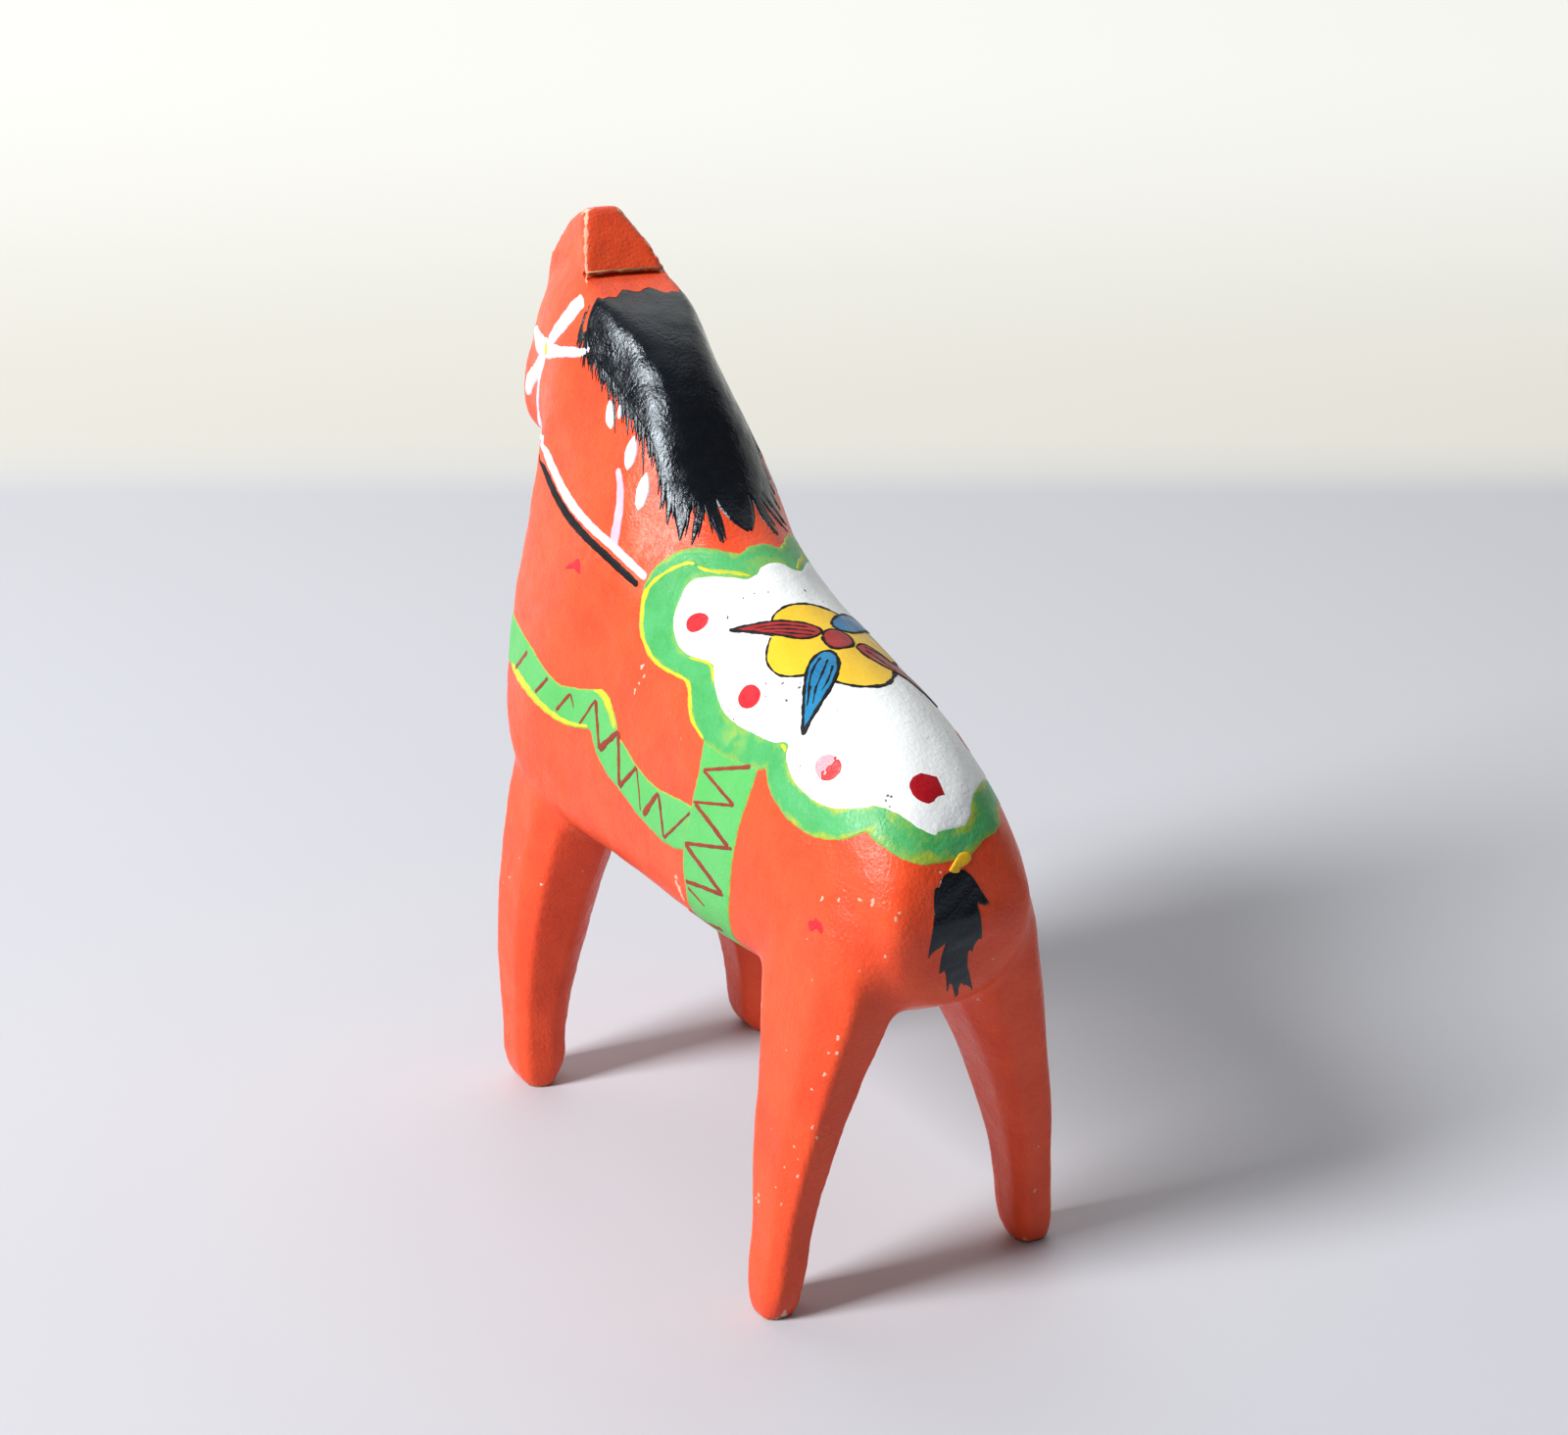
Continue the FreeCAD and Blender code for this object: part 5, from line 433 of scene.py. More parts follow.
     29.94, 80.34, 0.88), (-5.31, 30.36, 80.08, 0.88), (-5.53, 30.81, 79.82, 0.88), (-5.77, 31.24, 79.56, 0.88), (-6, 31.66, 79.29, 0.88), (-6.23, 32.09,
     79.02, 0.88), (-6.43, 32.54, 78.76, 0.88), (-6.63, 32.99, 78.49, 0.88), (-6.82, 33.43, 78.22, 0.88), (-6.97, 33.93, 77.95, 0.88), (-7.08, 34.49,
     77.71, 0.88), (-7.16, 35.08, 77.47, 0.88), (-7.22, 35.67, 77.23, 0.88), (-7.29, 36.32, 76.96, 0.88), (-7.34, 37.13, 76.65, 0.88), (-7.38, 37.77,
     76.39, 0.88), (-7.39, 37.97, 76.32, 0.88), (-7.21, 37.86, 76.5, 0.88), (-6.89, 37.58, 76.85, 0.88), (-6.52, 37.18, 77.26, 0.88), (-6.16, 36.76, 77.64,
     0.88), (-5.85, 36.44, 77.94, 0.88), (-5.53, 36.13, 78.23, 0.88), (-5.22, 35.8, 78.5, 0.88), (-4.86, 35.54, 78.78, 0.88), (-4.47, 35.29, 79.04, 0.88),
     (-4.02, 35.11, 79.29, 0.88), (-3.65, 34.81, 79.52, 0.88), (-3.39, 34.4, 79.74, 0.88), (-3.18, 33.91, 79.95, 0.88), (-2.96, 33.43, 80.16, 0.88),
     (-2.66, 33.02, 80.36, 0.86), (-2.38, 32.6, 80.56, 0.8), (-2.17, 32.08, 80.75, 0.78), (-1.99, 31.53, 80.95, 0.76), (-1.94, 30.87, 81.16, 0.69), (-2.17,
     29.99, 81.37, 0.64)],
    [(9.95, 37.85, 73.73, 0.52), (9.67, 37.72, 74.12, 0.51), (9.38, 37.6, 74.5, 0.52), (9.09, 37.49, 74.88, 0.51), (8.77, 37.39, 75.24, 0.52), (8.45, 37.3,
     75.6, 0.52), (8.11, 37.21, 75.95, 0.52), (7.76, 37.11, 76.3, 0.51), (7.41, 36.99, 76.64, 0.51), (7.04, 36.87, 76.98, 0.51), (6.66, 36.73, 77.3, 0.51),
     (6.28, 36.58, 77.62, 0.51), (5.87, 36.41, 77.94, 0.51), (5.46, 36.22, 78.24, 0.5), (5.04, 35.98, 78.55, 0.5), (4.62, 35.7, 78.84, 0.49), (4.18, 35.38,
     79.14, 0.48), (3.73, 35, 79.43, 0.46), (3.3, 34.57, 79.72, 0.44), (2.85, 34.05, 80, 0.42), (2.43, 33.49, 80.29, 0.4), (2.06, 32.82, 80.56, 0.4),
     (1.78, 32.1, 80.83, 0.43), (1.59, 31.4, 81.06, 0.52), (1.63, 30.74, 81.25, 0.62), (1.87, 30.26, 81.35, 0.65), (2.27, 29.96, 81.36, 0.66), (2.77,
     29.86, 81.26, 0.62), (3.26, 29.87, 81.12, 0.59), (3.78, 30.03, 80.88, 0.55), (4.27, 30.24, 80.62, 0.54), (4.74, 30.47, 80.34, 0.52), (5.17, 30.77,
     80.03, 0.5), (5.56, 31.13, 79.71, 0.48), (5.93, 31.53, 79.38, 0.48), (6.25, 31.95, 79.05, 0.46), (6.57, 32.39, 78.71, 0.46), (6.87, 32.81, 78.37,
     0.47), (7.16, 33.24, 78.03, 0.46), (7.43, 33.66, 77.68, 0.47), (7.7, 34.07, 77.33, 0.47), (7.96, 34.48, 76.98, 0.47), (8.21, 34.88, 76.63, 0.47),
     (8.45, 35.27, 76.28, 0.47), (8.69, 35.66, 75.92, 0.48), (8.92, 36.03, 75.56, 0.48), (9.14, 36.41, 75.2, 0.47), (9.35, 36.79, 74.84, 0.48), (9.55,
     37.15, 74.47, 0.48), (9.75, 37.5, 74.1, 0.48), (9.95, 37.85, 73.73, 0.49)],
    [(5.11, 20.98, 83.13, 0.28), (4.78, 20.51, 83.46, 0.3), (4.44, 20.17, 83.75, 0.34), (4.01, 19.98, 84, 0.38), (3.54, 19.91, 84.23, 0.4), (3.06, 19.81,
     84.42, 0.41), (2.58, 19.74, 84.6, 0.44), (2.1, 19.73, 84.71, 0.46), (1.62, 19.77, 84.8, 0.49), (1.12, 19.83, 84.85, 0.5), (0.67, 19.96, 84.84, 0.54),
     (0.22, 20.1, 84.82, 0.54), (-0.25, 20.21, 84.78, 0.58), (-0.72, 20.3, 84.72, 0.59), (-1.16, 20.44, 84.62, 0.64), (-1.58, 20.62, 84.5, 0.65), (-2,
     20.79, 84.37, 0.71), (-2.39, 20.98, 84.21, 0.7), (-2.76, 21.21, 84.03, 0.76), (-3.11, 21.43, 83.84, 0.75), (-3.41, 21.73, 83.65, 0.73), (-3.72, 22,
     83.43, 0.71), (-4.07, 22.21, 83.22, 0.7), (-4.45, 22.39, 83, 0.68)],
    [(-7.61, 30.51, 78.47, 0.58), (-6.2, 32.79, 78.84, 1.21), (-5.26, 34.3, 78.95, 1.08), (-4.52, 35.48, 78.96, 0.84), (-3.88, 36.48, 78.92, 0.54), (-3.09,
     37.43, 78.9, 0.45), (-2.34, 38.12, 78.88, 0.57), (-1.66, 38.59, 78.87, 0.67), (-1.02, 38.88, 78.86, 0.72), (-0.5, 38.95, 78.87, 0.71), (-0.03, 38.93,
     78.9, 0.68), (0.41, 38.84, 78.91, 0.63), (0.82, 38.71, 78.93, 0.59), (1.2, 38.54, 78.95, 0.55), (1.58, 38.36, 78.96, 0.51), (1.94, 38.15, 78.96,
     0.48), (2.28, 37.9, 78.97, 0.46), (2.59, 37.61, 78.98, 0.44), (2.89, 37.31, 79, 0.43), (3.18, 36.98, 79.02, 0.42), (3.44, 36.62, 79.04, 0.4), (3.69,
     36.24, 79.07, 0.39), (3.91, 35.83, 79.11, 0.38), (4.12, 35.4, 79.16, 0.37)],
    [(6.15, 31.5, 79.24, 0.38), (6.4, 31.25, 79.15, 0.38), (6.65, 30.98, 79.07, 0.37), (6.88, 30.68, 78.98, 0.37), (7.11, 30.37, 78.9, 0.36), (7.34, 30.05,
     78.82, 0.36), (7.55, 29.71, 78.75, 0.34), (7.74, 29.33, 78.7, 0.34), (7.92, 28.91, 78.67, 0.33), (8.07, 28.5, 78.65, 0.31), (8.19, 28.04, 78.69,
     0.29), (8.26, 27.54, 78.78, 0.28), (8.3, 27.06, 78.88, 0.28), (8.31, 26.57, 79.02, 0.28), (8.29, 26.08, 79.18, 0.28), (8.23, 25.63, 79.37, 0.28),
     (8.15, 25.17, 79.58, 0.3), (8, 24.81, 79.83, 0.33), (7.81, 24.5, 80.09, 0.34), (7.62, 24.2, 80.35, 0.34), (7.41, 23.9, 80.61, 0.34), (7.19, 23.63,
     80.87, 0.35), (6.95, 23.4, 81.14, 0.36), (6.7, 23.17, 81.39, 0.35), (6.43, 22.96, 81.65, 0.36), (6.16, 22.79, 81.9, 0.36)],
  ],
  "streak": [
    [(6.98, 19.69, 82.3, 0.14), (6.26, 20.43, 82.59, 0.2), (5.52, 21.16, 82.83, 0.26), (4.78, 21.89, 82.99, 0.33), (4.05, 22.61, 83.1, 0.35), (3.31, 23.33,
     83.14, 0.32), (2.57, 24.04, 83.14, 0.29), (1.83, 24.75, 83.07, 0.24)],
    [(6.58, 20.53, 82.33, 0.14), (5.89, 21.44, 82.51, 0.2), (5.18, 22.3, 82.65, 0.26), (4.45, 23.11, 82.76, 0.33), (3.69, 23.85, 82.83, 0.35), (2.94, 24.6,
     82.84, 0.32), (2.19, 25.36, 82.79, 0.29), (1.42, 26.08, 82.7, 0.26)],
    [(5.6, 22.44, 82.36, 0.14), (5.14, 23.1, 82.42, 0.2), (4.66, 23.71, 82.46, 0.26), (4.17, 24.31, 82.49, 0.34), (3.66, 24.88, 82.51, 0.35), (3.14, 25.42,
     82.52, 0.32), (2.61, 25.95, 82.51, 0.28), (2.05, 26.41, 82.49, 0.24)],
    [(3.36, 30.71, 80.83, 0.43), (4.22, 31.17, 80.38, 0.41), (4.98, 31.64, 79.88, 0.39), (5.62, 32.2, 79.37, 0.36), (6.16, 32.85, 78.84, 0.32), (6.69,
     33.52, 78.29, 0.25), (7.19, 34.21, 77.71, 0.18), (7.64, 34.94, 77.11, 0.12)],
    [(2.86, 31.57, 80.73, 0.37), (3.48, 32.2, 80.36, 0.37), (4.07, 32.76, 79.97, 0.36), (4.64, 33.26, 79.56, 0.36), (5.19, 33.73, 79.15, 0.33), (5.73,
     34.15, 78.73, 0.27), (6.24, 34.52, 78.29, 0.2), (6.74, 34.85, 77.85, 0.13)],
    [(2.91, 32.9, 80.33, 0.35), (3.38, 33.5, 80.01, 0.35), (3.85, 34, 79.69, 0.35), (4.31, 34.45, 79.37, 0.36), (4.76, 34.83, 79.05, 0.33), (5.2, 35.13,
     78.72, 0.27), (5.67, 35.36, 78.4, 0.2), (6.12, 35.5, 78.07, 0.13)],
    [(6.42, 33.56, 78.46, 0.38), (6.68, 33.87, 78.19, 0.38), (6.94, 34.17, 77.91, 0.37), (7.19, 34.48, 77.63, 0.36), (7.43, 34.76, 77.34, 0.33), (7.67,
     35.04, 77.05, 0.26), (7.91, 35.32, 76.77, 0.19), (8.14, 35.57, 76.47, 0.12)],
    [(5.95, 34.21, 78.57, 0.38), (6.19, 34.5, 78.33, 0.37), (6.44, 34.79, 78.08, 0.36), (6.68, 35.06, 77.83, 0.36), (6.91, 35.33, 77.57, 0.32), (7.14,
     35.59, 77.32, 0.25), (7.37, 35.84, 77.05, 0.19), (7.59, 36.09, 76.79, 0.12)],
    [(-2.98, 30.77, 80.93, 0.41), (-3.31, 31.42, 80.64, 0.48), (-3.65, 32.03, 80.34, 0.56), (-3.97, 32.65, 80.04, 0.64), (-4.3, 33.26, 79.73, 0.62),
     (-4.63, 33.85, 79.4, 0.5), (-4.93, 34.46, 79.08, 0.39), (-5.27, 35.01, 78.72, 0.27)],
    [(-3.13, 30.04, 81.1, 0.41), (-3.72, 30.31, 80.82, 0.48), (-4.26, 30.62, 80.52, 0.56), (-4.78, 30.92, 80.19, 0.64), (-5.22, 31.31, 79.85, 0.62),
     (-5.58, 31.78, 79.51, 0.5), (-5.83, 32.4, 79.19, 0.39), (-6, 33.12, 78.87, 0.27)],
  ],
  "yel": [
    [(7.94, 5.09, 87.72, 0.41), (8.3, 4.26, 87.78, 0.47), (8.76, 3.63, 87.58, 0.56), (9.24, 3.06, 87.24, 0.62), (9.72, 2.48, 86.9, 0.58), (10.17, 1.92,
     86.49, 0.54), (10.62, 1.42, 86.04, 0.5), (11.04, 0.94, 85.54, 0.55), (11.46, 0.47, 85, 0.62), (11.85, 0.07, 84.42, 0.7), (12.21, -0.23, 83.82, 0.78),
     (12.55, -0.47, 83.15, 0.87), (12.84, -0.51, 82.49, 0.96), (13.08, -0.41, 81.81, 0.95), (13.3, -0.23, 81.13, 0.89), (13.5, 0.02, 80.46, 0.84), (13.69,
     0.29, 79.8, 0.82), (13.87, 0.6, 79.15, 0.82), (14.03, 0.97, 78.5, 0.83), (14.17, 1.41, 77.88, 0.8), (14.28, 1.95, 77.3, 0.75), (14.36, 2.63, 76.78,
     0.7), (14.41, 3.36, 76.28, 0.68), (14.43, 4.19, 75.84, 0.65), (14.43, 5.09, 75.47, 0.6), (14.38, 6.1, 75.2, 0.56), (14.3, 7.19, 75, 0.53), (14.2, 8.3,
     74.88, 0.5), (14.08, 9.46, 74.82, 0.49), (13.96, 10.63, 74.77, 0.47), (13.82, 11.84, 74.76, 0.47), (13.71, 13, 74.71, 0.52), (13.73, 13.94, 74.42,
     0.68), (13.89, 14.61, 73.91, 0.79), (14.09, 15, 73.31, 0.85), (14.3, 15.39, 72.71, 0.82), (14.51, 15.78, 72.1, 0.8), (14.71, 16.14, 71.5, 0.76),
     (14.87, 16.68, 70.95, 0.69), (14.99, 17.43, 70.48, 0.63), (15.07, 18.22, 70.07, 0.58), (15.12, 19.13, 69.72, 0.49), (15.17, 20.04, 69.37, 0.42),
     (15.21, 20.96, 69.05, 0.36)],
    [(7.85, 5.49, 87.57, 0.4), (7.62, 6.29, 87.35, 0.45), (7.31, 7.02, 87.26, 0.53), (6.93, 7.71, 87.26, 0.59), (6.52, 8.36, 87.29, 0.61), (6.08, 8.96,
     87.34, 0.63), (5.62, 9.52, 87.39, 0.63), (5.17, 10.07, 87.43, 0.64), (4.74, 10.65, 87.41, 0.64), (4.33, 11.27, 87.34, 0.57), (3.9, 11.83, 87.28,
     0.46), (3.46, 12.39, 87.23, 0.35)],
    [(12.66, 11.98, 77.26, 0.2), (12.51, 12.75, 77.33, 0.27), (12.36, 13.53, 77.38, 0.34), (12.22, 14.3, 77.43, 0.39), (12.07, 15.1, 77.49, 0.39), (11.9,
     15.91, 77.54, 0.39), (11.82, 16.56, 77.49, 0.42), (11.89, 17.18, 77.21, 0.5), (12.04, 17.66, 76.85, 0.53), (12.19, 18.07, 76.48, 0.48), (12.35, 18.45,
     76.09, 0.39), (12.52, 18.81, 75.68, 0.28)],
    [(11.78, 35.29, 72.07, 0.49), (11.65, 35.81, 72.08, 0.55), (11.65, 36.1, 71.97, 0.74), (11.74, 36.32, 71.75, 0.56), (11.86, 36.57, 71.44, 0.33)],
  ],
  "syel": [
    [(18.21, -34.56, 64.31, 1.02), (18.7, -32.46, 64.24, 1.18), (19.12, -30.51, 64.14, 1.34), (19.46, -28.69, 64.01, 1.5), (19.7, -27.07, 63.82, 1.52),
     (19.88, -25.57, 63.61, 1.52), (19.97, -24.21, 63.36, 1.4), (20, -22.96, 63.09, 1.29), (19.98, -21.78, 62.81, 1.21), (19.92, -20.64, 62.55, 1.15),
     (19.83, -19.51, 62.29, 1.1), (19.71, -18.38, 62.06, 1.04), (19.58, -17.24, 61.89, 0.98), (19.42, -16.05, 61.77, 0.91), (19.24, -14.82, 61.71, 0.82),
     (19.07, -13.54, 61.76, 0.73), (18.89, -12.19, 61.88, 0.66), (18.71, -10.81, 62.09, 0.57), (18.54, -9.4, 62.35, 0.49), (18.38, -7.96, 62.68, 0.44)],
    [(17.65, -7.28, 67.99, 0.29), (17.5, -6.17, 68.16, 0.59), (17.4, -5.23, 68.15, 1.09), (17.36, -4.39, 67.9, 1.55), (17.36, -3.75, 67.55, 1.57), (17.38,
     -3.22, 67.12, 1.53), (17.42, -2.74, 66.67, 1.47), (17.45, -2.32, 66.2, 1.39), (17.49, -1.93, 65.72, 1.3), (17.53, -1.52, 65.24, 1.14), (17.57, -1.11,
     64.77, 0.96), (17.6, -0.7, 64.3, 0.78)],
  ],
  "tstrand": [
    [(3.98, 60.24, 57.13, 1.19), (4.24, 60.24, 55.96, 1.1), (4.51, 60.24, 54.79, 1), (4.78, 60.24, 53.61, 0.79), (5.04, 60.24, 52.43, 0.47), (5.23, 60.11,
     51.18, 0.14)],
    [(3.38, 60.24, 55.73, 1.21), (3.7, 60.24, 54.97, 1.12), (4.02, 60.24, 54.22, 1.02), (4.34, 60.24, 53.46, 0.81), (4.66, 60.24, 52.71, 0.48), (4.95,
     60.2, 51.93, 0.15)],
    [(2.47, 60.24, 52.96, 1.21), (2.71, 60.24, 52.13, 1.12), (2.9, 60.18, 51.27, 1.04), (3.07, 60.09, 50.39, 0.83), (3.22, 59.95, 49.48, 0.5), (3.33,
     59.76, 48.54, 0.15)],
    [(2.14, 60.22, 51.58, 0.9), (2.14, 60.11, 50.45, 0.83), (2.11, 59.94, 49.28, 0.77), (2.02, 59.7, 48.07, 0.61), (1.86, 59.35, 46.8, 0.37), (1.6, 58.84,
     45.43, 0.12)],
    [(1.21, 59.96, 49.33, 1.05), (1.07, 59.79, 48.36, 0.97), (0.89, 59.55, 47.36, 0.9), (0.66, 59.23, 46.32, 0.73), (0.33, 58.77, 45.19, 0.45), (-0.18,
     58.03, 43.89, 0.15)],
    [(0.35, 60.13, 50.51, 1.17), (0.2, 60.01, 49.62, 1.08), (0.02, 59.86, 48.71, 1), (-0.2, 59.66, 47.77, 0.8), (-0.46, 59.38, 46.79, 0.48), (-0.79, 59.01,
     45.74, 0.15)],
    [(-0.26, 59.91, 48.98, 0.55), (-0.58, 59.75, 48.19, 0.51), (-0.94, 59.55, 47.38, 0.47), (-1.34, 59.28, 46.52, 0.37), (-1.8, 58.92, 45.61, 0.23),
     (-2.39, 58.37, 44.59, 0.07)],
    [(-0.59, 60.24, 54.89, 1.01), (-0.67, 60.24, 54.07, 0.93), (-0.75, 60.24, 53.25, 0.85), (-0.83, 60.24, 52.43, 0.67), (-0.92, 60.23, 51.6, 0.4), (-1.05,
     60.15, 50.73, 0.12)],
    [(-1.1, 60.24, 56.72, 0.7), (-1.29, 60.24, 55.85, 0.65), (-1.47, 60.24, 54.99, 0.59), (-1.65, 60.24, 54.12, 0.47), (-1.83, 60.24, 53.25, 0.28), (-2.01,
     60.24, 52.38, 0.08)],
    [(-1.12, 60.1, 59.23, 1.01), (-1.51, 60.17, 58.74, 0.93), (-1.9, 60.22, 58.24, 0.84), (-2.3, 60.25, 57.73, 0.66), (-2.74, 60.24, 57.2, 0.39), (-3.17,
     60.24, 56.68, 0.12)],
    [(-1.41, 60.11, 59.18, 0.68), (-1.57, 60.17, 58.68, 0.63), (-1.75, 60.22, 58.17, 0.57), (-1.95, 60.25, 57.65, 0.44), (-2.17, 60.24, 57.11, 0.26),
     (-2.39, 60.24, 56.58, 0.08)],
    [(3.91, 59.81, 60.15, 0.8), (4.08, 59.95, 59.55, 0.74), (4.24, 60.06, 58.93, 0.68), (4.38, 60.15, 58.31, 0.55), (4.5, 60.22, 57.67, 0.33), (4.6, 60.24,
     57.01, 0.11)],
  ],
}
SPECKS = {
  "dark": [(5.78, 14.56, 85, 0.23), (2.98, 16.14, 85.81, 0.19), (8.25, 14.78, 82.8, 0.23), (9.54, 27.46, 77.49, 0.16), (8.38, 29.73, 78.01, 0.23), (7.09, 31.98,
     78.45, 0.19), (7.46, 32.39, 78.04, 0.29), (10.23, 28.82, 76.28, 0.23), (9.15, 32.12, 76.54, 0.26), (11.42, 29.31, 74.52, 0.19), (13.15, 25.42, 72.74,
     0.19), (13.03, 23.87, 73.39, 0.16), (13.09, 22.37, 73.69, 0.19), (6.55, 52.4, 69.9, 0.26), (6.29, 52.76, 69.84, 0.29), (6.95, 52.6, 69.4, 0.19),
     (6.86, 53.37, 68.88, 0.16), (6.47, 25.3, 80.88, 0.23), (5.87, 29.34, 80.06, 0.23), (6.64, 28.93, 79.67, 0.18), (7.23, 28.69, 79.31, 0.18), (6.68,
     30.01, 79.33, 0.15), (4.45, 15.07, 85.61, 0.15), (-1.86, 17.26, 85.68, 0.26), (-3.56, 19.23, 84.46, 0.23)],
  "pale": [(17.6, 17.67, 47.65, 0.81), (17.86, 17.65, 49.1, 0.52), (17.14, 17.87, 46.22, 0.52), (15.2, 2.99, 73.95, 0.42), (15.4, 3.95, 72.86, 0.32), (16.15,
     2.68, 70.53, 0.26), (15.79, 3.21, 71.74, 0.23), (-4.55, 59.73, 48.75, 0.19), (-6.69, 53.35, 40.23, 0.26), (10.51, 58.64, 51.89, 0.19), (9.08, 59.51,
     57.67, 0.21), (9.57, 59.44, 56.99, 0.16), (3.26, 59.38, 61.77, 0.21), (20.3, -21.38, 34.5, 0.35), (13.83, 49.5, 56.88, 0.26), (12.96, 52.02, 57.49,
     0.24), (11.76, 54.75, 58.25, 0.32), (11.06, 56.54, 58.38, 0.32), (16.25, 54.35, 35.85, 0.26), (20.25, 49.88, 0.11, 0.65), (19.73, 50.22, 0.86, 0.48),
     (-17.81, 49.74, 0.68, 0.39), (15.81, 54.53, 38.75, 0.23), (17.58, 53.59, 28.59, 0.19), (17.09, 53.71, 27.17, 0.16), (19.34, 52.02, 25.6, 0.21),
     (19.13, 52.66, 21.75, 0.18), (21.15, 45.63, 15.82, 0.19), (-17.65, 52.35, 16.01, 0.19), (-17.91, 51.46, 8.94, 0.18), (16.92, 50.84, 6.22, 0.32),
     (17.39, 50.66, 3.69, 0.23)],
}
